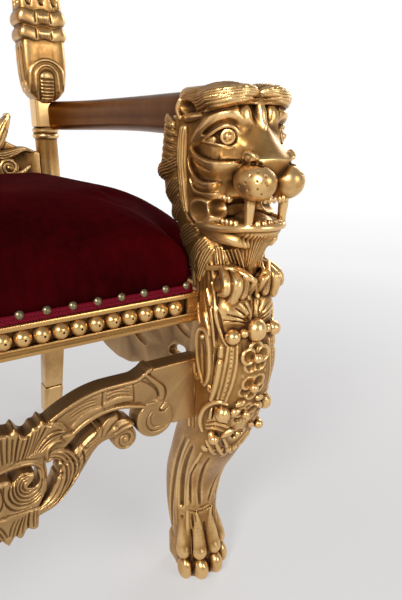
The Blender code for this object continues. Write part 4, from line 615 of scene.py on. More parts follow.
# Carving on the trunk and leg: kind, height, then (u, y, z, half width) along each stroke.
TRUNK_CARVING = (
    ('R', 0.001, ((0.0309, -0.3297, 0.5189, 0.0018), (0.0242, -0.3327, 0.5283, 0.0022), (0.0166, -0.3447, 0.5249, 0.0024), (0.0116, -0.3545, 0.5198, 0.0024), (0.004, -0.3577, 0.5123, 0.0024))),
    ('R', 0.0006, ((0.0293, -0.3324, 0.515, 0.0012), (0.0231, -0.3347, 0.5225, 0.0016), (0.0152, -0.3453, 0.5191, 0.0018), (0.0097, -0.3545, 0.5137, 0.0018), (0.0023, -0.356, 0.5068, 0.0018))),
    ('R', 0.0012, ((0.027, -0.3343, 0.5151, 0.005), (0.0266, -0.3369, 0.5063, 0.0066), (0.026, -0.3398, 0.4971, 0.0056), (0.0271, -0.3411, 0.4902, 0.0042), (0.0283, -0.3418, 0.4848, 0.0024))),
    ('R', 0.0018, ((0.0193, -0.3382, 0.5158, 0.005), (0.019, -0.3404, 0.5069, 0.0062), (0.0213, -0.3417, 0.4989, 0.0044), (0.0233, -0.3424, 0.4929, 0.0026))),
    ('R', 0.0018, ((0.0139, -0.3449, 0.5141, 0.0046), (0.0115, -0.3459, 0.505, 0.0056), (0.0108, -0.345, 0.4967, 0.0044), (0.0121, -0.3462, 0.492, 0.0028))),
    ('R', 0.0008, ((0.0094, -0.3527, 0.5102, 0.0034), (0.0009, -0.3446, 0.5007, 0.004), (0.0033, -0.346, 0.495, 0.0028))),
    ('G', 0.003, ((0.0238, -0.3361, 0.5151, 0.0012), (0.023, -0.3393, 0.5046, 0.0018), (0.0247, -0.3416, 0.4934, 0.0016))),
    ('G', 0.0032, ((0.016, -0.3405, 0.5133, 0.0012), (0.0151, -0.3429, 0.5026, 0.002), (0.0172, -0.3447, 0.493, 0.0018))),
    ('G', 0.0026, ((0.0117, -0.3497, 0.5115, 0.0012), (0.0057, -0.3444, 0.5015, 0.0016), (0.0075, -0.3461, 0.4943, 0.0014))),
    ('G', 0.0014, ((0.0273, -0.3349, 0.5119, 0.0008), (0.0276, -0.3387, 0.4974, 0.0009))),
    ('G', 0.0014, ((0.0187, -0.3392, 0.5125, 0.0008), (0.0203, -0.3419, 0.4997, 0.0009))),
    ('G', 0.0014, ((0.0132, -0.3456, 0.5116, 0.0008), (0.0104, -0.3447, 0.498, 0.0009))),
    ('R', 0.0008, ((0, -0.3553, 0.505, 0.0016), (0.0076, -0.3478, 0.487, 0.0026), (0.0052, -0.3516, 0.4706, 0.0026), (0.0044, -0.3532, 0.4623, 0.0022))),
    ('G', 0.002, ((0.0052, -0.3451, 0.499, 0.0009), (0.0028, -0.3485, 0.4844, 0.0012), (0.0011, -0.3522, 0.468, 0.001))),
    ('R', 0.0004, ((0.0031, -0.3528, 0.4644, 0.0014), (0.0035, -0.3513, 0.4722, 0.0036), (0.0075, -0.3488, 0.4832, 0.0024))),
    ('R', 0.0006, ((0.0048, -0.353, 0.4633, 0.0014), (0.0108, -0.3504, 0.4742, 0.0036), (0.0178, -0.347, 0.4831, 0.0022))),
    ('R', 0.0006, ((0.0067, -0.3532, 0.4623, 0.0014), (0.0176, -0.3496, 0.4711, 0.0034), (0.029, -0.3431, 0.4769, 0.0022))),
    ('R', 0.0006, ((0.0088, -0.3533, 0.461, 0.0014), (0.0212, -0.3494, 0.4668, 0.0032), (0.035, -0.3401, 0.4694, 0.002))),
    ('R', 0.0004, ((0.0115, -0.3534, 0.459, 0.0012), (0.0233, -0.3496, 0.4623, 0.0028), (0.0351, -0.3419, 0.4615, 0.0018))),
    ('G', 0.0018, ((0.004, -0.353, 0.4635, 0.0007), (0.0074, -0.3509, 0.4728, 0.0012), (0.0127, -0.3479, 0.4835, 0.001))),
    ('G', 0.0018, ((0.0057, -0.3531, 0.4624, 0.0007), (0.0144, -0.3502, 0.4721, 0.0012), (0.0239, -0.3455, 0.4802, 0.001))),
    ('G', 0.0018, ((0.0079, -0.3533, 0.4615, 0.0007), (0.0194, -0.3496, 0.4687, 0.0012), (0.0322, -0.3417, 0.4733, 0.001))),
    ('G', 0.0018, ((0.01, -0.3534, 0.4598, 0.0007), (0.0223, -0.3496, 0.4643, 0.0012), (0.0351, -0.3412, 0.4653, 0.001))),
    ('R', 0.0016, ((0.0377, -0.3231, 0.5071, 0.0014), (0.0382, -0.3279, 0.491, 0.002), (0.0387, -0.3338, 0.4717, 0.0024), (0.0387, -0.3396, 0.4539, 0.0026), (0.0365, -0.3451, 0.4417, 0.0024), (0.0341, -0.3483, 0.4358, 0.0014))),
    ('G', 0.0024, ((0.0363, -0.3266, 0.5043, 0.001), (0.0366, -0.3322, 0.4867, 0.0016), (0.0368, -0.3377, 0.469, 0.0018), (0.0366, -0.3426, 0.4527, 0.0018), (0.0344, -0.3468, 0.4429, 0.0012))),
    ('R', 0.001, ((0.0422, -0.3057, 0.4856, 0.0014), (0.0439, -0.3129, 0.4699, 0.0024), (0.0451, -0.3225, 0.4568, 0.0026), (0.0456, -0.3284, 0.4443, 0.0016))),
    ('R', 0.001, ((0.041, -0.3144, 0.4975, 0.0014), (0.0415, -0.3222, 0.4812, 0.0026), (0.0423, -0.3291, 0.4638, 0.0028), (0.0433, -0.3341, 0.4458, 0.0022), (0.0437, -0.3361, 0.432, 0.0012))),
    ('R', 0.0008, ((0.0424, -0.2976, 0.476, 0.0012), (0.045, -0.3031, 0.4616, 0.002), (0.0469, -0.3094, 0.451, 0.0016))),
    ('G', 0.0022, ((0.042, -0.311, 0.487, 0.001), (0.0434, -0.3196, 0.47, 0.0016), (0.0442, -0.3279, 0.4548, 0.0014))),
    ('G', 0.0026, ((0.0397, -0.3216, 0.4966, 0.001), (0.0405, -0.3279, 0.4774, 0.0018), (0.0411, -0.3341, 0.4598, 0.0018), (0.0421, -0.3385, 0.4362, 0.0014))),
    ('R', 0.0008, ((0.0335, -0.3493, 0.4324, 0.0018), (0.036, -0.3488, 0.4129, 0.0024), (0.0382, -0.3455, 0.3895, 0.0024), (0.0395, -0.3382, 0.3624, 0.002))),
    ('R', 0.0012, ((0.0393, -0.3435, 0.4319, 0.003), (0.0405, -0.3433, 0.4155, 0.005), (0.0421, -0.3408, 0.3943, 0.0054), (0.0432, -0.3354, 0.373, 0.0046), (0.0438, -0.3303, 0.359, 0.003))),
    ('R', 0.0002, ((0.0293, -0.3522, 0.431, 0.0032), (0.0309, -0.3527, 0.4114, 0.0036), (0.0339, -0.3496, 0.3883, 0.0036), (0.0356, -0.3424, 0.3633, 0.003))),
    ('R', 0.0008, ((0.0237, -0.3545, 0.4342, 0.0014), (0.0252, -0.3558, 0.413, 0.0019), (0.0286, -0.3529, 0.3864, 0.0019), (0.0317, -0.3443, 0.3593, 0.0015))),
    ('D', 0.0009, ((0.0298, -0.3523, 0.4282), (0.0301, -0.3524, 0.4232), (0.0306, -0.3527, 0.4183), (0.031, -0.3529, 0.4129), (0.0316, -0.3527, 0.407), (0.0321, -0.352, 0.4005), (0.0328, -0.3514, 0.3941), (0.0333, -0.3499, 0.3871), (0.0339, -0.3481, 0.38), (0.0346, -0.3459, 0.373), (0.0352, -0.3434, 0.3658))),
    ('G', 0.003, ((0.043, -0.3382, 0.4308, 0.0014), (0.0436, -0.3383, 0.4106, 0.002), (0.0444, -0.3356, 0.3869, 0.002), (0.0448, -0.3297, 0.3649, 0.0014))),
    ('R', 0.0012, ((0.0487, -0.318, 0.3804, 0.0018), (0.0491, -0.3112, 0.3933, 0.0024), (0.049, -0.3063, 0.4107, 0.0028), (0.0487, -0.3051, 0.4275, 0.003), (0.048, -0.3073, 0.4413, 0.0032), (0.0471, -0.3149, 0.4481, 0.0034), (0.0465, -0.3229, 0.4463, 0.0036), (0.0466, -0.3276, 0.4351, 0.0038), (0.0467, -0.3296, 0.4192, 0.004), (0.0469, -0.3298, 0.4004, 0.004), (0.0472, -0.3273, 0.386, 0.0034), (0.048, -0.3215, 0.3767, 0.0026), (0.0489, -0.3163, 0.379, 0.002))),
    ('B', 0.001, ((0.0481, -0.3165, 0.4385, 0.0036),)),
    ('G', 0.0034, ((0.0483, -0.317, 0.4313, 0.0016), (0.0486, -0.3188, 0.4155, 0.0024), (0.0486, -0.3196, 0.3986, 0.0024), (0.0484, -0.3208, 0.3874, 0.0016))),
    ('R', 0.0012, ((0.0443, -0.3361, 0.4211, 0.0012), (0.0437, -0.3385, 0.4051, 0.0024), (0.0435, -0.3374, 0.3875, 0.0028), (0.0445, -0.3323, 0.3723, 0.0028), (0.0462, -0.3285, 0.3726, 0.002), (0.0464, -0.3288, 0.3783, 0.0014))),
    ('B', 0.0008, ((0.0454, -0.331, 0.3763, 0.0024),)),
    ('B', 0.001, ((0.0492, -0.3068, 0.3841, 0.0026),)),
    ('R', 0.001, ((0.0489, -0.2994, 0.3963, 0.0014), (0.0491, -0.3005, 0.3869, 0.002), (0.0492, -0.3054, 0.3791, 0.0024), (0.0492, -0.3115, 0.3837, 0.002), (0.0492, -0.3101, 0.389, 0.0014))),
    ('R', 0.001, ((0.0483, -0.2951, 0.4063, 0.0018), (0.0485, -0.2926, 0.3815, 0.0026), (0.0488, -0.29, 0.3519, 0.0028), (0.0485, -0.2865, 0.3206, 0.0028), (0.0478, -0.2851, 0.2959, 0.0022))),
    ('G', 0.0024, ((0.0492, -0.3026, 0.3699, 0.0012), (0.049, -0.2996, 0.346, 0.0018), (0.0484, -0.2964, 0.3213, 0.0018), (0.0469, -0.296, 0.2992, 0.0014))),
    ('D', 0.0008, ((0.0491, -0.3019, 0.3574), (0.049, -0.3003, 0.3484), (0.049, -0.2995, 0.3398), (0.0487, -0.2983, 0.3308), (0.0485, -0.2976, 0.3219), (0.048, -0.2968, 0.3129), (0.0472, -0.2963, 0.3038))),
    ('R', 0.0014, ((0.0295, -0.3443, 0.3543, 0.0018), (0.0361, -0.3402, 0.3574, 0.0026), (0.0426, -0.331, 0.3538, 0.0032), (0.0459, -0.3205, 0.3437, 0.0034), (0.0467, -0.3125, 0.3293, 0.0034), (0.0459, -0.3092, 0.3152, 0.003), (0.0434, -0.3102, 0.3039, 0.0022))),
    ('R', 0.0018, ((0.0294, -0.3426, 0.3486, 0.0022), (0.0273, -0.3411, 0.3404, 0.0032), (0.0276, -0.338, 0.3316, 0.0026))),
    ('R', 0.0018, ((0.0344, -0.3399, 0.3512, 0.0022), (0.0326, -0.3381, 0.3414, 0.0034), (0.033, -0.3345, 0.3316, 0.0028))),
    ('R', 0.0016, ((0.0388, -0.335, 0.3494, 0.002), (0.0378, -0.3332, 0.3405, 0.0032), (0.038, -0.3297, 0.3311, 0.0026))),
    ('R', 0.0014, ((0.0419, -0.3289, 0.3438, 0.0018), (0.0415, -0.3271, 0.3362, 0.0026), (0.0414, -0.3244, 0.3287, 0.002))),
    ('G', 0.0022, ((0.0318, -0.3413, 0.3495, 0.0008), (0.03, -0.3396, 0.3405, 0.0011), (0.0304, -0.3364, 0.3317, 0.001))),
    ('G', 0.0022, ((0.0368, -0.3377, 0.3505, 0.0008), (0.0354, -0.3359, 0.3412, 0.0011), (0.0357, -0.3324, 0.3313, 0.001))),
    ('G', 0.0022, ((0.0406, -0.3323, 0.3474, 0.0008), (0.0399, -0.3304, 0.339, 0.0011), (0.0398, -0.3273, 0.3301, 0.001))),
    ('R', 0.0006, ((0.0422, -0.321, 0.3235, 0.0012), (0.0358, -0.331, 0.3287, 0.0024), (0.0243, -0.3367, 0.3237, 0.002))),
    ('R', 0.0006, ((0.0423, -0.318, 0.3165, 0.0012), (0.0345, -0.3292, 0.3207, 0.0024), (0.0202, -0.3344, 0.3137, 0.002))),
    ('R', 0.0006, ((0.0415, -0.3167, 0.3101, 0.0012), (0.0344, -0.326, 0.3123, 0.0022), (0.0219, -0.3306, 0.306, 0.0018))),
    ('G', 0.0016, ((0.0422, -0.3198, 0.3199, 0.0007), (0.0353, -0.3303, 0.3248, 0.001), (0.022, -0.3354, 0.3182, 0.0008))),
    ('G', 0.0016, ((0.0418, -0.3173, 0.3131, 0.0007), (0.0338, -0.3284, 0.3167, 0.001), (0.021, -0.3324, 0.3096, 0.0008))),
    ('B', 0.003, ((0.0358, -0.3204, 0.3022, 0.0048),)),
    ('R', 0.0026, ((0.0243, -0.3265, 0.299, 0.002), (0.0202, -0.3295, 0.3023, 0.0042), (0.0159, -0.3322, 0.3061, 0.0034), (0.0132, -0.3341, 0.3091, 0.0016))),
    ('R', 0.0008, ((0.0375, -0.3109, 0.2868, 0.0016), (0.032, -0.3095, 0.2742, 0.0032), (0.0257, -0.3071, 0.2628, 0.0028), (0.0206, -0.3065, 0.2579, 0.0016))),
    ('R', 0.001, ((0.0293, -0.3189, 0.2884, 0.002), (0.0208, -0.3141, 0.2717, 0.0036), (0.012, -0.3083, 0.2573, 0.003), (0.0058, -0.3063, 0.2528, 0.0016))),
    ('R', 0.001, ((0.0193, -0.324, 0.2899, 0.002), (0.008, -0.3157, 0.2703, 0.0036), (0.0032, -0.3071, 0.2542, 0.003), (0.0101, -0.3037, 0.2487, 0.0016))),
    ('D', 0.0015, ((0.0248, -0.3108, 0.2686), (0.0117, -0.3131, 0.2661))),
    ('G', 0.002, ((0.0315, -0.3174, 0.2883, 0.0009), (0.026, -0.3142, 0.2758, 0.0012))),
    ('G', 0.002, ((0.022, -0.3234, 0.2906, 0.0009), (0.0143, -0.3173, 0.2745, 0.0012))),
    ('B', 0.0076, ((0.0281, -0.3507, 0.4465, 0.0092),)),
    ('B', 0.006, ((0.016, -0.3543, 0.4497, 0.0054),)),
    ('B', 0.008, ((0.0333, -0.322, 0.2984, 0.0068),)),
    ('R', 0.0034, ((0.0083, -0.3515, 0.3585, 0.0022), (0.0132, -0.35, 0.3553, 0.0042), (0.0182, -0.3486, 0.3542, 0.003))),
    ('R', 0.0034, ((0.0075, -0.3464, 0.3418, 0.0022), (0.0171, -0.3451, 0.3417, 0.005), (0.0218, -0.3427, 0.3383, 0.0034))),
)
LEG_CARVING = (
    ('G', 0.004, ((0.0472, -0.2738, 0.2774, 0.0016), (0.045, -0.2517, 0.2364, 0.0028), (0.0393, -0.2267, 0.1822, 0.0032), (0.0358, -0.2128, 0.1245, 0.0032), (0.0313, -0.2069, 0.0686, 0.0026))),
    ('R', 0.0006, ((0.0468, -0.2865, 0.2842, 0.0014), (0.0449, -0.2608, 0.2393, 0.002), (0.0393, -0.238, 0.1893, 0.002), (0.0351, -0.2252, 0.1328, 0.002), (0.0325, -0.223, 0.0757, 0.0016))),
    ('G', 0.004, ((0.0445, -0.2882, 0.271, 0.0014), (0.0425, -0.2653, 0.2293, 0.0028), (0.036, -0.2439, 0.1817, 0.0032), (0.0321, -0.2349, 0.1382, 0.0032), (0.0305, -0.2332, 0.0989, 0.0024))),
    ('R', 0.0008, ((0.0365, -0.2965, 0.259, 0.0016), (0.0353, -0.2714, 0.2171, 0.002), (0.0293, -0.2509, 0.176, 0.002), (0.026, -0.2416, 0.1323, 0.0018))),
    ('G', 0.0022, ((0.0349, -0.2838, 0.2352, 0.0012), (0.033, -0.2643, 0.2034, 0.0014), (0.0258, -0.2499, 0.1663, 0.0014), (0.022, -0.2443, 0.1324, 0.0012))),
    ('G', 0.0046, ((0.0247, -0.3005, 0.2502, 0.0012), (0.0248, -0.2857, 0.2255, 0.0019), (0.0171, -0.2639, 0.187, 0.0021), (0.0111, -0.2517, 0.1511, 0.0021), (0.0072, -0.2478, 0.1257, 0.0018))),
    ('R', 0.001, ((0.0254, -0.2405, 0.118, 0.0016), (0.0252, -0.24, 0.0961, 0.003), (0.0252, -0.2416, 0.0754, 0.0044), (0.0267, -0.2447, 0.0565, 0.0052))),
    ('R', 0.0014, ((0.0134, -0.2461, 0.1167, 0.0018), (0.0093, -0.247, 0.0939, 0.0032), (0.0056, -0.2504, 0.0728, 0.0046), (0.0059, -0.2569, 0.0545, 0.0056))),
    ('G', 0.003, ((0.0197, -0.2438, 0.1151, 0.001), (0.0175, -0.2452, 0.0909, 0.0018), (0.0167, -0.2497, 0.0666, 0.0024), (0.0189, -0.2542, 0.049, 0.0028), (0.0213, -0.2539, 0.0247, 0.0026))),
)


def stroke_carving(v, table, force=1.0):
    """Carve a table of strokes: R raises a strand, G cuts a groove, B sets a boss and D drills a small hole."""
    todo = []
    for kind, lift, pts in table:
        p = np.array([q[:3] for q in pts])
        for k in range(2):
            deep = np.minimum(v.at(p) + 0.0006, 0.0)
            p = p - v.normal(p) * deep[:, None]
        w = np.array([q[3] if len(q) > 3 else 0.0 for q in pts])
        todo.append((kind, lift, p, w, v.normal(p)))
    for kind, lift, p, w, n in todo:
        if kind == 'R':
            c = p + n * (lift * 1.25 - 0.65 * w)[:, None]
            v.rope([tuple(q) + (float(r),) for q, r in zip(c, w)], 0.0012, steps=5)
    for kind, lift, p, w, n in todo:
        if kind == 'G':
            v.emboss([tuple(q) + (float(r),) for q, r in zip(p, w * 1.30 * force)], -lift * 1.35 * force, steps=5, ends=0.08)
    for kind, lift, p, w, n in todo:
        if kind == 'B':
            for q, r, m in zip(p, w, n):
                v.ell(q + m * (lift - 0.4 * r), r, 0.0006)
        elif kind == 'D':
            for q, m in zip(p, n):
                v.ell(q + m * 0.0006, (lift * 1.1, lift * 1.6, lift * 0.9), 0.0004, op='cut')


def skin(v, u0, z0):
    """Front face of the carving at the given place across and up."""
    ys = np.linspace(-0.400, -0.200, 401)
    d = v.at(np.stack([np.full(401, u0), ys, np.full(401, z0)], 1))
    return float(ys[int(np.argmax(d < 0))])


def blossom(v, zc, yc, R, tilt, petals=5, turn=18):
    """Open flower: cupped petals round a bead."""
    M = rot(-tilt)
    c = np.array((0, yc, zc))
    v.ell(c + M @ np.array((0, 0.0060, 0)), (R * 0.95, 0.0060, R * 0.90), 0.003, M)
    for k in range(petals):
        a = math.radians(90 + turn + 360 / petals * k)
        rp = R * (0.60 if petals == 5 else 0.42)
        q = c + M @ np.array((math.cos(a) * R * 0.52, 0.0004 + 0.0016 * (k % 2), math.sin(a) * R * 0.52))
        T = M @ rot(0, 0, 0)
        v.ell(q, (rp, 0.0046, rp), 0.0006, T)
        v.ell(q + M @ np.array((math.cos(a) * rp * 0.10, -0.0052, math.sin(a) * rp * 0.10)), (rp * 0.74, 0.0056, rp * 0.74), 0.0008, T, op='cut')
        for j in (-1, 0, 1):
            e = a + 0.42 * j
            p0 = c + M @ np.array((math.cos(a) * R * 0.30, -0.0006, math.sin(a) * R * 0.30))
            p1 = c + M @ np.array((math.cos(e) * R * 0.86, -0.0008, math.sin(e) * R * 0.86))
            v.emboss([tuple(p0) + (0.0008,), tuple(p1) + (0.0011,)], -0.0008, ends=0.1)
    v.ell(c + M @ np.array((0, -0.0040, 0)), R * 0.31, 0.0004)


def lion_breast(v):
    """Collar leaves, bead garland, cartouche with flowers and the scrolls at its sides."""
    # palmette ground behind the bead garland
    v.ell((0.0215, -0.3385, 0.4730), (0.0205, 0.0120, 0.0185), 0.006, rot(4, 0, 24))
    stroke_carving(v, TRUNK_CARVING)
    # collar leaves: heavy lobes hanging from the collar on each side of the beard's point
    v.ell((0.0240, -0.3370, 0.5060), (0.0180, 0.0165, 0.0150), 0.004, rot(-4, 0, 26))
    lobes = (((0.0060, 0.5130, 0.0040), (0.0078, 0.5040, 0.0054), (0.0074, 0.4950, 0.0046), (0.0066, 0.4890, 0.0016)),
             ((0.0130, 0.5190, 0.0048), (0.0160, 0.5090, 0.0060), (0.0168, 0.4980, 0.0052), (0.0160, 0.4890, 0.0014)),
             ((0.0225, 0.5240, 0.0050), (0.0262, 0.5110, 0.0070), (0.0280, 0.4970, 0.0062), (0.0285, 0.4835, 0.0016)),
             ((0.0310, 0.5240, 0.0046), (0.0350, 0.5130, 0.0060), (0.0362, 0.5030, 0.0052), (0.0362, 0.4930, 0.0014)))
    ways = []
    for lobe in lobes:
        p = np.array([(a, skin(v, a, b), b) for a, b, r in lobe])
        r = np.array([q[2] for q in lobe])
        m = v.normal(p)
        ways.append((p, r, m, p + m * (r * 0.45 + np.array((0.0, 0.0002, 0.0016, 0.0050)) * (0.3 + 20 * p[:, 0]))[:, None]))
    for p, r, m, c in ways:
        v.rope([tuple(q) + (float(x),) for q, x in zip(c, r)], 0.0012, steps=6)
    for p, r, m, c in ways:
        t = c + m * (r * 0.95)[:, None]
        for o in (-0.42, 0.0, 0.42):
            v.emboss([tuple(q + np.array((o * x, 0, 0))) + (0.0010,) for q, x in zip(t[:-1], r)] + [tuple(t[-1]) + (0.0006,)], -0.0010, steps=5, ends=0.12)
    # collar rope
    p = np.array([(a, skin(v, a, b), b) for a, b in ((0.0, 0.5080), (0.0100, 0.5150), (0.0210, 0.5235), (0.0300, 0.5262), (0.0400, 0.5225))])
    v.rope([tuple(q + np.array((0, -0.0010, 0))) + (0.0030,) for q in p], 0.0008, steps=6)
    # bead garland
    v.ell((0, -0.3590, 0.4517), (0.0125, 0.0120, 0.0142), 0.0006)
    # flowers, top to bottom
    blossom(v, 0.4167, -0.3600, 0.0198, 2, turn=0)
    blossom(v, 0.3761, -0.3550, 0.0192, -12, turn=30)
    blossom(v, 0.3332, -0.3412, 0.0180, -24, turn=10)
    blossom(v, 0.2960, -0.3242, 0.0120, -30, petals=7, turn=0)
    for u0, y0, z0, r in ((0.0150, -0.3560, 0.3960, 0.0042), (0.0170, -0.3440, 0.3540, 0.0048), (0.0155, -0.3300, 0.3120, 0.0046)):
        v.ell((u0, y0, z0), (r, r * 0.8, r * 1.1), 0.001)
        v.emboss([(u0 - r * 0.6, y0 - r * 0.7, z0 - r * 0.6, 0.0008), (u0 + r * 0.6, y0 - r * 0.7, z0 + r * 0.6, 0.0008)], -0.0010, up=(0, -1, 0), lim=0.010, ends=0.1)
    # shell scrolls beside the lower flowers
    y0 = skin(v, 0.0330, 0.3400)
    v.ell((0.0325, y0 + 0.0010, 0.3400), (0.0098, 0.0095, 0.0112), 0.001, rot(-14, 0, 20))
    for k in range(4):
        o = 0.0042 * (k - 1.5)
        v.emboss([(0.0325 + o - 0.0010, y0 - 0.0060, 0.3475, 0.0008), (0.0325 + o, y0 - 0.0085, 0.3400, 0.0011), (0.0325 + o + 0.0008, y0 - 0.0060, 0.3320, 0.0008)], -0.0009, ends=0.1)
    # scalloped hem below the flowers
    for k in range(4):
        u0 = 0.0045 + 0.0100 * k
        v.ell((u0, -0.3120 + 0.0035 * k, 0.2680 + 0.0020 * k), (0.0056, 0.0060, 0.0090), 0.001, rot(-28))
        v.ell((u0, -0.3190 + 0.0035 * k, 0.2680 + 0.0020 * k), (0.0014, 0.0030, 0.0016), 0.0004, op='cut')


def lion_leg(v):
    """Flutes down the leg, the slot at the shin, tendons and toes."""
    stroke_carving(v, LEG_CARVING, 1.22)
    v.emboss([(0.0072, -0.2478, 0.1225, 0.0020), (0.0, -0.2480, 0.1210, 0.0022)], -0.0036, ends=0)
    v.emboss([(0.0250, -0.2425, 0.1220, 0.0014), (0.0150, -0.2460, 0.1165, 0.0022), (0.0, -0.2475, 0.1140, 0.0024)], -0.0028, ends=0.06)
    v.emboss([(0.0330, -0.1950, 0.2200, 0.0030), (0.0300, -0.1830, 0.1700, 0.0034), (0.0270, -0.1800, 0.1100, 0.0034), (0.0260, -0.1830, 0.0600, 0.0024)], -0.0030, steps=6)
    # pad of the foot and four toes, two in front and one at each side, each with its knuckle
    v.ell((0, -0.2180, 0.0260), (0.0360, 0.0320, 0.0300), 0.006)
    for u0, y0, s in ((0.0128, -0.2540, 1.0), (0.0325, -0.2410, 0.86)):
        v.rope([(u0 * 0.75, y0 + 0.0150, 0.1080, 0.0040), (u0 * 0.85, y0 + 0.0095, 0.0880, 0.0076 * s), (u0 * 0.95, y0 + 0.0050, 0.0680, 0.0104 * s), (u0, y0 + 0.0030, 0.0530, 0.0120 * s)], 0.004)
        v.ell((u0, y0 + 0.0005, 0.0470), (0.0124 * s, 0.0140 * s, 0.0130), 0.003)
        v.ell((u0 * 1.02, y0 - 0.0035, 0.0175), (0.0122 * s, 0.0170 * s, 0.0190), 0.0022)
    for q in (((0.0, -0.2440, 0.1000, 0.0012), (0.0, -0.2560, 0.0700, 0.0020), (0.0, -0.2640, 0.0440, 0.0026), (0.0, -0.2680, 0.0180, 0.0028), (0.0, -0.2670, 0.0010, 0.0028)),
              ((0.0195, -0.2390, 0.1000, 0.0012), (0.0215, -0.2490, 0.0700, 0.0020), (0.0236, -0.2550, 0.0440, 0.0026), (0.0240, -0.2580, 0.0180, 0.0026), (0.0240, -0.2570, 0.0010, 0.0026))):
        v.emboss(list(q), -0.0036, steps=5, ends=0.05)
    # heel
    v.box((0, -0.2060, 0.0300), (0.0345, 0.0200, 0.0290), k=0.004, rad=0.014)
    # sole
    v.box((0, -0.25, -0.050), (0.2, 0.3, 0.050), k=0.0008, op='cut')


def lion_volume(h, parts=('face', 'mouth', 'hair', 'mane', 'breast', 'leg')):
    v = Vol((0.0, -0.402, -0.004), (0.062, -0.172, 0.738), h)
    lion_base(v)
    for p in parts:
        globals()['lion_' + p](v)
    return v
# ---------------------------------------------------------------- carved boards
def spiral(x, z, r0, r1, a0, turns, n, w0, w1, hand=1):
    """Points of a scroll that winds inwards, as (x, z, half width)."""
    out = []
    for i in range(n + 1):
        t = i / n
        a = math.radians(a0) + hand * 2 * math.pi * turns * t
        r = r0 + (r1 - r0) * t
        out.append((x + r * math.cos(a), z + r * math.sin(a), w0 + (w1 - w0) * t))
    return out


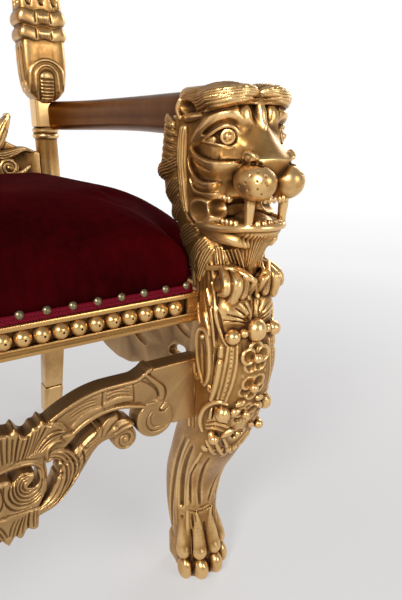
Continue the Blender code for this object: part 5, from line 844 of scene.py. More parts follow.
class Relief:
    """Outline and front relief of a carved board, drawn in (x, z); board() gives it thickness."""

    def __init__(self, lo, hi, h, base=-0.006):
        self.lo, self.h = np.array(lo, float), h
        self.n = [int(round((hi[k] - lo[k]) / h)) + 1 for k in (0, 1)]
        self.x = (lo[0] + h * np.arange(self.n[0]))[:, None]
        self.z = (lo[1] + h * np.arange(self.n[1]))[None, :]
        self.m = np.full(self.n, 0.05)
        self.r = np.full(self.n, base)

    def near(self, pts, steps=5):
        """Distance from a curve in half widths, signed distance outside it, place across and along, length."""
        c = catmull([(p[0], p[1], 0.0, p[2]) for p in pts], steps) if len(pts) > 2 else np.array([(p[0], p[1], 0.0, p[2]) for p in pts], float)
        w = np.maximum(c[:, 3], 3e-4)
        best = np.full(self.n, 9.0)
        sd = np.full(self.n, 0.05)
        lat = np.zeros(self.n)
        lon = np.zeros(self.n)
        cum = 0.0
        for i in range(len(c) - 1):
            a, b = c[i, :2], c[i + 1, :2]
            R = max(w[i], w[i + 1]) * 1.5 + 0.004
            s = []
            for k, (p, q) in enumerate(((a[0], b[0]), (a[1], b[1]))):
                i0 = max(int((min(p, q) - R - self.lo[k]) / self.h), 0)
                i1 = min(int((max(p, q) + R - self.lo[k]) / self.h) + 2, self.n[k])
                s.append(slice(i0, max(i1, i0)))
            s = tuple(s)
            L = float(np.hypot(*(b - a)))
            if s[0].stop <= s[0].start or s[1].stop <= s[1].start or L < 1e-9:
                cum += L
                continue
            x, z = self.x[s[0], :] - a[0], self.z[:, s[1]] - a[1]
            d = (b - a) / L
            t = np.clip((x * d[0] + z * d[1]) / L, 0, 1)
            dx, dz = x - t * L * d[0], z - t * L * d[1]
            dist = np.hypot(dx, dz)
            ww = w[i] + (w[i + 1] - w[i]) * t
            g = dist / ww
            m = g < best[s]
            best[s] = np.where(m, g, best[s])
            sd[s] = np.minimum(sd[s], dist - ww)
            lat[s] = np.where(m, x * -d[1] + z * d[0], lat[s])
            lon[s] = np.where(m, cum + t * L, lon[s])
            cum += L
        return best, sd, lat, lon, cum

    def _f(self, u, profile):
        u = np.clip(u, 0, 1)
        if profile == 'dome':
            return np.sqrt(np.maximum(1 - u * u, 0))
        if profile == 'round':
            return (1 - u * u) ** 2
        if profile == 'flat':
            return 1 - step01((u - 0.62) / 0.38)
        if profile == 'sharp':
            return 1 - u
        return 1 - u ** 3

    def band(self, pts, top, profile='dome', lines=0.0, amp=0.0, k=0.0015, low=None, steps=5, mask=True):
        """A carved strand: joins the outline and rises to the given height, with combing along it."""
        u, sd, lat, lon, tot = self.near(pts, steps)
        if mask:
            self.m = smin(self.m, sd, k)
        base = top - 0.006 if low is None else low
        g = base + (top - base) * self._f(u, profile)
        if lines:
            g = g + amp * np.cos(math.pi * (np.sign(lat) * u * lines + (1 if lines % 2 else 0))) * (1 - step01((u - 0.8) / 0.2))
        self.r = np.where(u < 1, smax(self.r, g, 0.0008), self.r)
        return self

    def mark(self, pts, depth, profile='round', steps=5, ends=0.12):
        """Cut a groove (depth < 0) or raise a ridge (depth > 0) along a curve."""
        u, sd, lat, lon, tot = self.near(pts, steps)
        e = max(ends * tot, 1e-6)
        f = self._f(u, profile) * (step01(lon / e) * step01((tot - lon) / e) if ends else 1.0)
        self.r = self.r + depth * np.where(u < 1, f, 0)
        return self

    def plate(self, poly, top, k=0.002, smooth=0, mask=True, edge=0.0015, fall=0.0025):
        """A flat field with a softened edge."""
        p = np.array(poly, float)
        if smooth:
            q = np.vstack([p[-1], p, p[0], p[1]])
            c = []
            for i in range(1, len(q) - 2):
                for t in np.arange(smooth) / smooth:
                    c.append(0.5 * ((2 * q[i]) + (-q[i - 1] + q[i + 1]) * t + (2 * q[i - 1] - 5 * q[i] + 4 * q[i + 1] - q[i + 2]) * t * t
                                    + (-q[i - 1] + 3 * q[i] - 3 * q[i + 1] + q[i + 2]) * t ** 3))
            p = np.array(c)
        d = np.full(self.n, 9.0)
        ins = np.zeros(self.n, bool)
        for a, b in zip(p, np.roll(p, -1, 0)):
            e = b - a
            L2 = max(e @ e, 1e-12)
            x, z = self.x - a[0], self.z - a[1]
            t = np.clip((x * e[0] + z * e[1]) / L2, 0, 1)
            d = np.minimum(d, np.hypot(x - t * e[0], z - t * e[1]))
            if abs(e[1]) > 1e-12:
                cr = ((a[1] > self.z) != (b[1] > self.z)) & (self.x < e[0] * (self.z - a[1]) / e[1] + a[0])
                ins ^= cr
        sd = np.where(ins, -d, d)
        if mask:
            self.m = smin(self.m, sd, k)
        g = top - edge * (1 - step01(-sd / fall))
        self.r = np.where(sd < 0, smax(self.r, g, 0.0008), self.r)
        return sd

    def volute(self, x, z, R, top, turns=1.6, a0=90, hand=1, depth=0.0016, eye=0.22, dish=0.3, w=0.10):
        """Round boss with a spiral groove and a raised eye."""
        rr = np.hypot(self.x - x, self.z - z)
        self.m = smin(self.m, rr - R, 0.001)
        u = np.clip(rr / R, 0, 1)
        g = top - 0.006 + 0.006 * (1 - u ** 4) ** 0.5 - dish * 0.004 * (1 - u * u)
        self.r = np.where(u < 1, g + (np.maximum(self.r, g) - g) * step01((u - 0.88) / 0.12), self.r)
        if turns:
            self.mark(spiral(x, z, R * 0.93, R * 0.26, a0, turns, int(14 * turns), R * w, R * w * 0.7, hand), -depth, ends=0.04)
        e = np.clip(rr / (R * eye), 0, 1)
        self.r = self.r + 0.0022 * np.sqrt(1 - e * e)
        return self

    def hole(self, x, z, a, b, tilt=0.0):
        t = math.radians(tilt)
        u = ((self.x - x) * math.cos(t) + (self.z - z) * math.sin(t)) / a
        v = (-(self.x - x) * math.sin(t) + (self.z - z) * math.cos(t)) / b
        s = (np.hypot(u, v) - 1) * min(a, b)
        self.m = smax(self.m, -s, 0.0008)
        return self

    def cut_poly(self, poly, smooth=4):
        keep_m, keep_r = self.m.copy(), self.r.copy()
        sd = self.plate(poly, 0, mask=False, smooth=smooth)
        self.m, self.r = keep_m, keep_r
        self.m = smax(self.m, -sd, 0.0008)
        return self

    def board(self, y0, thick, back=0.0, round_edge=0.0022):
        """Distance block over (x, y, z): the front faces -y at y0 minus the relief, flat behind."""
        h = self.h
        top = max(float(self.r.max()), 0.0) + 3 * h
        ys = np.arange(y0 - top - 2 * h, y0 + thick + 3 * h, h)
        g0, g1 = np.gradient(self.r, h)
        nrm = np.sqrt(1 + np.minimum(g0 ** 2 + g1 ** 2, 9.0))
        Y = ys[None, :, None]
        front = ((y0 - self.r)[:, None, :] - Y) / nrm[:, None, :]
        d = smax(self.m[:, None, :] + 0 * Y, front, round_edge)
        d = smax(d, Y - (y0 + thick), 0.001)
        return d.astype(np.float32), np.array((self.lo[0], ys[0], self.lo[1])), h


def mirrored(d, lo, h):
    """Whole block from its half at x >= 0."""
    full = np.concatenate([d[:0:-1], d], 0)
    return full, np.array((lo[0] - (d.shape[0] - 1) * h, lo[1], lo[2]))
# ---------------------------------------------------------------- meshes from volumes
def vdb_mesh(d, lo, h, adapt=0.0):
    """Mesh the zero surface of a distance block: points in metres, triangles and quads."""
    bg = 3.0 * h
    g = openvdb.FloatGrid(background=bg)
    g.copyFromArray(np.clip(d, -bg, bg).astype(np.float32))
    p, t, q = g.convertToPolygons(isovalue=0.0, adaptivity=adapt)
    return np.asarray(p, np.float64) * h + np.asarray(lo), np.asarray(t, np.int64), np.asarray(q, np.int64)


def mesh_of(name, pts, tris, quads, flip=False):
    """Blender mesh from arrays."""
    faces = []
    loops = []
    if len(tris):
        tt = tris[:, ::-1] if flip else tris
        loops.append(tt.reshape(-1))
        faces.append(np.full(len(tt), 3))
    if len(quads):
        qq = quads[:, ::-1] if flip else quads
        loops.append(qq.reshape(-1))
        faces.append(np.full(len(qq), 4))
    loops = np.concatenate(loops).astype(np.int32)
    size = np.concatenate(faces).astype(np.int32)
    start = np.concatenate([[0], np.cumsum(size)[:-1]]).astype(np.int32)
    me = bpy.data.meshes.new(name)
    me.vertices.add(len(pts))
    me.vertices.foreach_set("co", pts.astype(np.float32).reshape(-1))
    me.loops.add(len(loops))
    me.loops.foreach_set("vertex_index", loops)
    me.polygons.add(len(size))
    me.polygons.foreach_set("loop_start", start)
    me.update(calc_edges=True)
    me.validate()
    me.shade_smooth()
    return me


def link(name, me):
    ob = bpy.data.objects.new(name, me)
    bpy.context.scene.collection.objects.link(ob)
    return ob


def applied(ob):
    """Replace an object's mesh with what its modifiers make of it."""
    dg = bpy.context.evaluated_depsgraph_get()
    me = bpy.data.meshes.new_from_object(ob.evaluated_get(dg), depsgraph=dg)
    old = ob.data
    ob.modifiers.clear()
    ob.data = me
    if old.users == 0:
        bpy.data.meshes.remove(old)
    return ob


def thin_out(ob, faces):
    """Collapse edges until the mesh has about that many triangles."""
    n = sum(len(p.vertices) - 2 for p in ob.data.polygons)
    if n > faces:
        m = ob.modifiers.new("thin", 'DECIMATE')
        m.ratio = faces / n
        applied(ob)
    ob.data.shade_smooth()
    return ob


def coords(me):
    co = np.empty(len(me.vertices) * 3, np.float32)
    me.vertices.foreach_get("co", co)
    return co.reshape(-1, 3).astype(np.float64)


def hollows(ob, d, lo, h, scales=((0.0022, 0.4), (0.0055, 0.35), (0.012, 0.25)), fold=None):
    """Store how deep each vertex lies in a hollow (0.5 on a flat, 1 in a crease) as the attribute cav. The gold
    finishes darken by it: painted shade in the hollows, with the widest scale for the shade of deep recesses such as
    under the brow and in the mouth.
    """
    full = np.clip(0.5 - d / (2 * h), 0, 1).astype(np.float32)
    co = coords(ob.data)
    if fold is not None:
        co = co.copy()
        co[:, 0] = np.abs(co[:, 0] - fold)
    val = np.zeros(len(co))
    for r, wgt in scales:
        c = max(1, int(round(r / h)))
        b = blur(full, c)
        val += wgt * sample(b, (co - np.asarray(lo)) / h)
    a = ob.data.attributes.new("cav", 'FLOAT', 'POINT')
    a.data.foreach_set("value", val.astype(np.float32))
    return val


def shade_from(ob, full, lo, h, turn=None):
    """Shading normals taken from the slope of the distance block."""
    co = (coords(ob.data) - np.asarray(lo)) / h
    n = np.zeros((len(co), 3))
    for k in range(3):
        o = np.zeros(3)
        o[k] = 0.75
        n[:, k] = sample(full, co + o) - sample(full, co - o)
    n /= np.maximum(np.linalg.norm(n, axis=1), 1e-9)[:, None]
    if turn is not None:
        n = turn(n)
    ob.data.normals_split_custom_set_from_vertices(n.astype(np.float32).tolist())
# ---------------------------------------------------------------- front apron
def apron_relief(h):
    R = Relief((0.0, 0.222), (0.256, 0.412), h)
    # arched bar: sunk field between two raised edges
    R.plate([(0.050, 0.366), (0.062, 0.3765), (0.080, 0.3855), (0.100, 0.3925), (0.122, 0.3962), (0.150, 0.3962), (0.162, 0.3962), (0.172, 0.4000), (0.184, 0.4060),
             (0.196, 0.392), (0.202, 0.374), (0.198, 0.354), (0.180, 0.352), (0.158, 0.3570), (0.146, 0.3600), (0.130, 0.3615), (0.112, 0.3588), (0.092, 0.3500), (0.076, 0.3390),
             (0.066, 0.3360), (0.052, 0.348)], -0.0012, smooth=4)
    top = [(0.060, 0.3728, 0.0030), (0.080, 0.3822, 0.0031), (0.100, 0.3893, 0.0031), (0.122, 0.3930, 0.0031), (0.150, 0.3930, 0.0031), (0.162, 0.3930, 0.0030), (0.172, 0.3966, 0.0030), (0.183, 0.4030, 0.0028)]
    low = [(0.078, 0.3440, 0.0030), (0.092, 0.3532, 0.0032), (0.112, 0.3620, 0.0032), (0.130, 0.3648, 0.0032), (0.146, 0.3632, 0.0032), (0.158, 0.3602, 0.0030), (0.172, 0.3560, 0.0026)]
    for s in (top, low):
        R.band(s, 0.0018, low=-0.0014, profile='dome', mask=False)
    R.mark([(x, z - 0.0044 if s is top else z + 0.0044, 0.0013) for s in (top,) for x, z, w in s], -0.0012, ends=0.02)
    R.mark([(x, z + 0.0044, 0.0013) for x, z, w in low], -0.0012, ends=0.02)
    for z0 in (0.0, 0.0042, 0.0084):
        R.mark([(0.080, 0.3745 - z0, 0.0013), (0.092, 0.3800 - z0, 0.0017), (0.104, 0.3822 - z0 * 0.9, 0.0016), (0.1150, 0.3822 - z0 * 0.8, 0.0010)], -0.0012)
        R.mark([(0.124, 0.3860 - z0, 0.0013), (0.136, 0.3885 - z0, 0.0017), (0.148, 0.3866 - z0, 0.0014), (0.156, 0.3838 - z0, 0.0010)], -0.0012)
    R.band([(0.084, 0.3560, 0.0034), (0.100, 0.3655, 0.0052), (0.1180, 0.3700, 0.0040)], 0.0008, low=-0.0018, mask=False)
    R.band([(0.124, 0.3720, 0.0046), (0.140, 0.3745, 0.0054), (0.156, 0.3720, 0.0040)], 0.0008, low=-0.0018, mask=False)
    R.mark([(0.1195, 0.3690, 0.0012), (0.1205, 0.3780, 0.0014), (0.1215, 0.3890, 0.0012)], -0.0018, ends=0.02)
    R.mark([(0.1600, 0.3640, 0.0012), (0.1605, 0.3780, 0.0014), (0.1600, 0.3900, 0.0012)], -0.0014, ends=0.02)
    # plain shoulder against the leg
    R.plate([(0.178, 0.4035), (0.256, 0.4035), (0.256, 0.3180), (0.212, 0.3190), (0.206, 0.3300), (0.196, 0.3500), (0.192, 0.3760)], 0.0002)
    R.band([(0.1730, 0.4000, 0.0018), (0.1850, 0.3890, 0.0040), (0.1950, 0.3780, 0.0050), (0.1975, 0.3660, 0.0046), (0.1930, 0.3530, 0.0030)], 0.0020, low=-0.0008, mask=False)
    R.mark([(0.1760, 0.4010, 0.0012), (0.1890, 0.3890, 0.0017), (0.2000, 0.3770, 0.0019), (0.2030, 0.3640, 0.0017), (0.1980, 0.3520, 0.0012)], -0.0018)
    R.mark([(0.1680, 0.3920, 0.0012), (0.1800, 0.3840, 0.0016), (0.1900, 0.3730, 0.0016), (0.1930, 0.3600, 0.0012)], -0.0014)
    # big scroll below it
    R.volute(0.1880, 0.3350, 0.0265, 0.0030, turns=0, eye=0.01, dish=0.5)
    R.mark([(0.2020, 0.3560, 0.0014), (0.1960, 0.3500, 0.0020), (0.1930, 0.3460, 0.0018), (0.1990, 0.3430, 0.0016), (0.2060, 0.3470, 0.0010)], -0.0024)
    R.mark([(0.1860, 0.3500, 0.0010), (0.1790, 0.3440, 0.0014), (0.1745, 0.3340, 0.0016), (0.1780, 0.3230, 0.0016), (0.1880, 0.3180, 0.0015), (0.2000, 0.3200, 0.0013), (0.2100, 0.3280, 0.0010)], -0.0016)
    R.mark([(0.1850, 0.3450, 0.0010), (0.1810, 0.3390, 0.0013), (0.1810, 0.3310, 0.0013), (0.1860, 0.3250, 0.0012), (0.1950, 0.3250, 0.0010)], -0.0012)
    R.mark([(0.1660, 0.3480, 0.0014), (0.1780, 0.3575, 0.0020), (0.1900, 0.3565, 0.0016)], 0.0012)
    # fan of combed leaves over the centre, scalloped along the top
    R.plate([(-0.004, 0.3280), (-0.004, 0.3715), (0.004, 0.3725), (0.010, 0.3722), (0.016, 0.3715), (0.020, 0.3760), (0.0235, 0.3715), (0.0265, 0.3665), (0.031, 0.3635), (0.035, 0.3655),
             (0.039, 0.3705), (0.0445, 0.3710), (0.049, 0.3765), (0.053, 0.3725), (0.058, 0.3705), (0.064, 0.3700), (0.071, 0.3650), (0.0775, 0.3570), (0.0785, 0.3535), (0.070, 0.3500),
             (0.062, 0.3420), (0.052, 0.3320), (0.040, 0.3300), (0.020, 0.3340)], 0.0026, smooth=3, edge=0.0026, fall=0.0040)
    for dep, p in ((1, ((.004, .334), (.0045, .352), (.006, .370))), (1, ((.0085, .335), (.010, .352), (.0125, .3705))), (1, ((.0125, .335), (.0150, .350), (.0175, .366))),
                   (2, ((.016, .334), (.0195, .350), (.0240, .3670))), (1, ((.0195, .334), (.024, .348), (.0285, .361))), (2, ((.023, .334), (.029, .348), (.0345, .3635))),
                   (1, ((.0265, .334), (.0330, .349), (.0395, .3665))), (1, ((.030, .335), (.0375, .350), (.0435, .3665))), (1, ((.033, .337), (.0410, .352), (.0480, .3705))),
                   (2, ((.0355, .338), (.0440, .353), (.0540, .3690))), (1, ((.038, .339), (.0470, .3510), (.0560, .3580), (.0640, .3600), (.0720, .3585))),
                   (2, ((.040, .3385), (.0490, .3475), (.0580, .3530), (.0680, .3545), (.0760, .3535))), (1, ((.0430, .3380), (.0520, .3450), (.0600, .3490), (.0680, .3505)))):
        R.mark([(x, z, (0.0009, 0.0016, 0.0014, 0.0012, 0.0010)[k]) for k, (x, z) in enumerate(p)], -0.0011 - 0.0008 * dep, ends=0.10)
    R.mark([(0.0560, 0.3640, 0.0012), (0.0620, 0.3700, 0.0020), (0.0700, 0.3665, 0.0022), (0.0765, 0.3575, 0.0014)], 0.0016)
    R.mark([(0.0500, 0.3540, 0.0012), (0.0580, 0.3580, 0.0018), (0.0660, 0.3580, 0.0020), (0.0760, 0.3550, 0.0012)], 0.0014)
    # hood over the centre volute
    R.band([(0.0, 0.3290, 0.0040), (0.0180, 0.3310, 0.0046), (0.0340, 0.3285, 0.0046), (0.0425, 0.3215, 0.0040), (0.0450, 0.3120, 0.0034), (0.0440, 0.3030, 0.0026)], 0.0034, low=-0.0020, lines=2.0, amp=0.0006)
    # board between hood, fan and branch
    R.plate([(0.0340, 0.3320), (0.0425, 0.3215), (0.0445, 0.3120), (0.0435, 0.3000), (0.0440, 0.2840), (0.0475, 0.2850), (0.0500, 0.2960), (0.0508, 0.3060), (0.0503, 0.3160), (0.0500, 0.3260),
             (0.0530, 0.3330), (0.0620, 0.3360), (0.0720, 0.3330), (0.0770, 0.3370), (0.0860, 0.3440), (0.0840, 0.3500), (0.0700, 0.3500), (0.0500, 0.3460)], 0.0012, edge=0.0012, fall=0.0025)
    R.mark([(0.0480, 0.2880, 0.0010), (0.0490, 0.3000, 0.0014), (0.0480, 0.3120, 0.0014), (0.0470, 0.3230, 0.0014), (0.0500, 0.3330, 0.0014), (0.0540, 0.3400, 0.0010)], -0.0018, ends=0.08)
    # volute, combed round its eye
    R.plate([(-0.004, 0.3120), (0.004, 0.3165), (0.009, 0.3150), (0.012, 0.3110), (0.016, 0.3135), (0.022, 0.3185), (0.028, 0.3190), (0.0335, 0.3170), (0.0400, 0.3180), (0.0445, 0.3140),
             (0.0460, 0.3050), (0.0470, 0.2960), (0.0460, 0.2850), (0.0410, 0.2760), (0.0370, 0.2690), (0.030, 0.2690), (0.020, 0.2690), (0.010, 0.2690), (0.002, 0.2700), (-0.004, 0.2720)],
            0.0030, smooth=3, edge=0.0026, fall=0.0050)
    for p in (((.0300, .3170), (.0200, .3150), (.0148, .3060), (.0150, .2960), (.0200, .2890), (.0290, .2862), (.0370, .2900), (.0420, .2980), (.0430, .3080)),
              ((.0290, .3130), (.0220, .3110), (.0180, .3040), (.0190, .2965), (.0250, .2920), (.0320, .2930), (.0370, .2960)),
              ((.0100, .3110), (.0060, .3000), (.0080, .2890), (.0150, .2810), (.0240, .2786), (.0330, .2800), (.0410, .2860)),
              ((.0020, .3120), (.0000, .2960), (.0030, .2850), (.0100, .2765), (.0200, .2735), (.0300, .2745)),
              ((.0120, .3120), (.0104, .3020), (.0120, .2920), (.0170, .2850), (.0250, .2825), (.0340, .2842), (.0410, .2910)),
              ((.0270, .3090), (.0225, .3070), (.0215, .3010), (.0250, .2965), (.0300, .2960))):
        n = len(p) - 1
        R.mark([(x, z, 0.0009 + 0.0010 * math.sin(math.pi * k / n)) for k, (x, z) in enumerate(p)], -0.0024, ends=0.06)
    R.mark([(0.0000, 0.2745, 0.0012), (0.0100, 0.2700, 0.0018), (0.0200, 0.2692, 0.0018), (0.0300, 0.2700, 0.0018), (0.0370, 0.2680, 0.0012)], -0.0018)
    # branch: a long leaf whose combing turns over at the top
    R.band([(0.0350, 0.2620, 0.0060), (0.0540, 0.2700, 0.0090), (0.0700, 0.2890, 0.0125), (0.0830, 0.3070, 0.0130), (0.0980, 0.3240, 0.0115), (0.1140, 0.3320, 0.0080), (0.1300, 0.3330, 0.0064), (0.1400, 0.3290, 0.0050)],
           0.0030, low=-0.0026, lines=6.0, amp=0.0006, steps=7)
    R.plate([(0.0370, 0.2570), (0.0460, 0.2590), (0.0560, 0.2625), (0.0640, 0.2685), (0.0740, 0.2805), (0.0830, 0.2920), (0.0890, 0.3050), (0.0870, 0.3180), (0.0800, 0.3270), (0.0740, 0.3320),
             (0.0660, 0.3360), (0.0590, 0.3355), (0.0520, 0.3320), (0.0495, 0.3250), (0.0520, 0.3205), (0.0600, 0.3225), (0.0635, 0.3190), (0.0610, 0.3140), (0.0665, 0.3110), (0.0620, 0.3040),
             (0.0665, 0.3010), (0.0600, 0.2990), (0.0580, 0.2900), (0.0540, 0.2800), (0.0470, 0.2720), (0.0385, 0.2665)], 0.0032, smooth=3, edge=0.0028, fall=0.0050)
    for dep, p in ((2, ((.0420, .2640), (.0560, .2700), (.0660, .2840), (.0710, .2990), (.0700, .3130), (.0640, .3240), (.0560, .3280), (.0510, .3250))),
                   (1, ((.0480, .2630), (.0600, .2700), (.0700, .2840), (.0756, .3000), (.0750, .3140), (.0690, .3260), (.0600, .3312), (.0530, .3300))),
                   (2, ((.0560, .2660), (.0660, .2740), (.0750, .2870), (.0806, .3010), (.0806, .3130), (.0756, .3240), (.0690, .3310))),
                   (1, ((.0440, .2680), (.0540, .2750), (.0620, .2880), (.0660, .3000), (.0660, .3090))),
                   (1, ((.0700, .2790), (.0790, .2900), (.0852, .3020), (.0860, .3140), (.0820, .3230))),
                   (2, ((.0800, .2900), (.0900, .3010), (.0930, .3130), (.0910, .3250))),
                   (1, ((.0730, .3130), (.0680, .3175), (.0630, .3185)))):
        n = len(p) - 1
        R.mark([(x, z, 0.0009 + 0.0010 * math.sin(math.pi * k / n)) for k, (x, z) in enumerate(p)], -0.0011 - 0.0008 * dep, ends=0.06)
    R.band([(0.0505, 0.3290, 0.0024), (0.0520, 0.3390, 0.0036), (0.0585, 0.3450, 0.0042), (0.0660, 0.3470, 0.0036), (0.0710, 0.3430, 0.0020)], 0.0040, low=-0.0010, lines=2.0, amp=0.0006)
    R.band([(0.0860, 0.3190, 0.0022), (0.0900, 0.3260, 0.0036), (0.0960, 0.3320, 0.0044), (0.1040, 0.3380, 0.0042), (0.1090, 0.3430, 0.0022)], 0.0036, low=-0.0020, lines=2.0, amp=0.0006)
    R.mark([(0.1000, 0.3240, 0.0011), (0.0930, 0.3280, 0.0014), (0.0880, 0.3340, 0.0010)], -0.0016)
    R.mark([(0.0860, 0.3080, 0.0011), (0.0780, 0.3160, 0.0014), (0.0700, 0.3210, 0.0010)], -0.0014)
    R.volute(0.1460, 0.3205, 0.0155, 0.0034, turns=1.7, a0=150, hand=-1, depth=0.0018, eye=0.24)
    for p in (((0.1120, 0.3350, 0.0050), (0.1150, 0.3430, 0.0048), (0.1130, 0.3480, 0.0026)), ((0.1180, 0.3360, 0.0060), (0.1260, 0.3470, 0.0074), (0.1350, 0.3530, 0.0046)),
              ((0.1250, 0.3350, 0.0060), (0.1390, 0.3420, 0.0076), (0.1500, 0.3430, 0.0050)), ((0.1320, 0.3320, 0.0060), (0.1450, 0.3360, 0.0064), (0.1550, 0.3370, 0.0040))):
        R.band(p, 0.0034, low=-0.0026, lines=2.0, amp=0.0006)
    e = np.clip(np.hypot(R.x - 0.1330, R.z - 0.3400) / 0.0042, 0, 1)
    R.r = R.r + 0.0016 * np.sqrt(1 - e * e)
    # the hanging leaf
    R.plate([(0.0380, 0.2690), (0.0365, 0.2560), (0.0345, 0.2420), (0.0300, 0.2398), (0.0265, 0.2405), (0.0220, 0.2440), (0.0190, 0.2400), (0.0160, 0.2350), (0.0110, 0.2352), (0.0075, 0.2396),
             (0.0030, 0.2332), (-0.0030, 0.2316), (-0.004, 0.2700)], 0.0026, smooth=3, edge=0.0028, fall=0.0045)
    for dep, p in ((1, ((.0310, .2680), (.0290, .2560), (.0285, .2430))), (2, ((.0255, .2680), (.0230, .2560), (.0218, .2450))), (1, ((.0215, .2660), (.0175, .2530), (.0145, .2390))),
                   (2, ((.0185, .2650), (.0130, .2530), (.0080, .2405))), (1, ((.0145, .2640), (.0085, .2530), (.0035, .2390))), (1, ((.0095, .2640), (.0040, .2540), (.0005, .2420))),
                   (1, ((.0340, .2670), (.0330, .2560), (.0322, .2450)))):
        R.mark([(x, z, (0.0009, 0.0016, 0.0013)[k]) for k, (x, z) in enumerate(p)], -0.0011 - 0.0008 * dep, ends=0.10)
    # openings between the strands
    R.cut_poly([(0.004, 0.3215), (0.010, 0.3240), (0.016, 0.3250), (0.0212, 0.3235), (0.0200, 0.3190), (0.0155, 0.3150), (0.0118, 0.3120), (0.0085, 0.3165)])
    R.cut_poly([(0.0365, 0.3185), (0.0395, 0.3160), (0.0405, 0.3100), (0.0400, 0.3030), (0.0350, 0.2980), (0.0300, 0.2985), (0.0265, 0.3010), (0.0320, 0.3060), (0.0350, 0.3110)])
    R.cut_poly([(0.0515, 0.3195), (0.0550, 0.3225), (0.0595, 0.3220), (0.0605, 0.3180), (0.0580, 0.3120), (0.0550, 0.3070), (0.0560, 0.3000), (0.0545, 0.2920), (0.0505, 0.2830), (0.0450, 0.2750),
                (0.0392, 0.2690), (0.0385, 0.2705), (0.0440, 0.2790), (0.0470, 0.2860), (0.0490, 0.2960), (0.0500, 0.3040), (0.0510, 0.3130)])
    R.cut_poly([(0.0765, 0.3322), (0.0840, 0.3395), (0.0950, 0.3465), (0.1040, 0.3515), (0.1150, 0.3550), (0.1260, 0.3570), (0.1180, 0.3512), (0.1110, 0.3475), (0.1060, 0.3440), (0.0980, 0.3390), (0.0900, 0.3335), (0.0830, 0.3275), (0.0800, 0.3290)])
    R.cut_poly([(0.1370, 0.3560), (0.1480, 0.3560), (0.1560, 0.3520), (0.1590, 0.3440), (0.1540, 0.3440), (0.1450, 0.3500)])
    R.m = smax(R.m, 0.2280 - R.z + 0 * R.x, 0.001)
    return R


def side_relief(h):
    """Side apron over y in 0 (middle) .. 0.25, mirrored in the middle; waved edge, leaves and slots."""
    R = Relief((0.0, 0.284), (0.2520, 0.4540), h)
    low = []
    for i in range(25):
        u = i / 24
        low.append((u * 0.252, 0.2990 + 0.046 * u ** 1.5 - 0.010 * math.exp(-(u / 0.10) ** 2) + 0.004 * math.cos(6 * math.pi * u)))
    R.plate(low + [(0.252, 0.4540), (-0.01, 0.4540), (-0.01, low[0][1])], -0.0012)
    R.band([(x, z + 0.0045, 0.0034) for x, z in low[::3]], 0.0012, low=-0.0012, mask=False)
    for s in ([(0.020, 0.330, 0.006), (0.060, 0.340, 0.011), (0.110, 0.352, 0.012), (0.150, 0.376, 0.010), (0.186, 0.398, 0.006)],
              [(0.240, 0.420, 0.006), (0.205, 0.428, 0.010), (0.165, 0.432, 0.010), (0.120, 0.436, 0.006)],
              [(0.020, 0.430, 0.006), (0.050, 0.424, 0.010), (0.085, 0.404, 0.011), (0.105, 0.384, 0.007)],
              [(0.240, 0.372, 0.006), (0.212, 0.352, 0.009), (0.180, 0.345, 0.009), (0.150, 0.352, 0.005)]):
        R.band(s, 0.0022, low=-0.0012, lines=3.0, amp=0.0006, mask=False)
    R.volute(0.0, 0.385, 0.0230, 0.0026, turns=0, eye=0.3)
    R.volute(0.1200, 0.4000, 0.0150, 0.0022, turns=1.4, a0=40, eye=0.24)
    R.volute(0.2160, 0.3900, 0.0130, 0.0022, turns=1.4, a0=200, hand=-1, eye=0.24)
    for yy, zz, ry, rz, tilt in ((0.205, 0.412, 0.026, 0.0075, 18), (0.190, 0.372, 0.024, 0.0085, -20), (0.085, 0.358, 0.024, 0.0080, 14),
                                 (0.125, 0.420, 0.022, 0.0065, -12), (0.040, 0.402, 0.014, 0.0060, 30)):
        R.hole(yy, zz, ry * 0.95, rz * 0.95, -tilt)
    return R


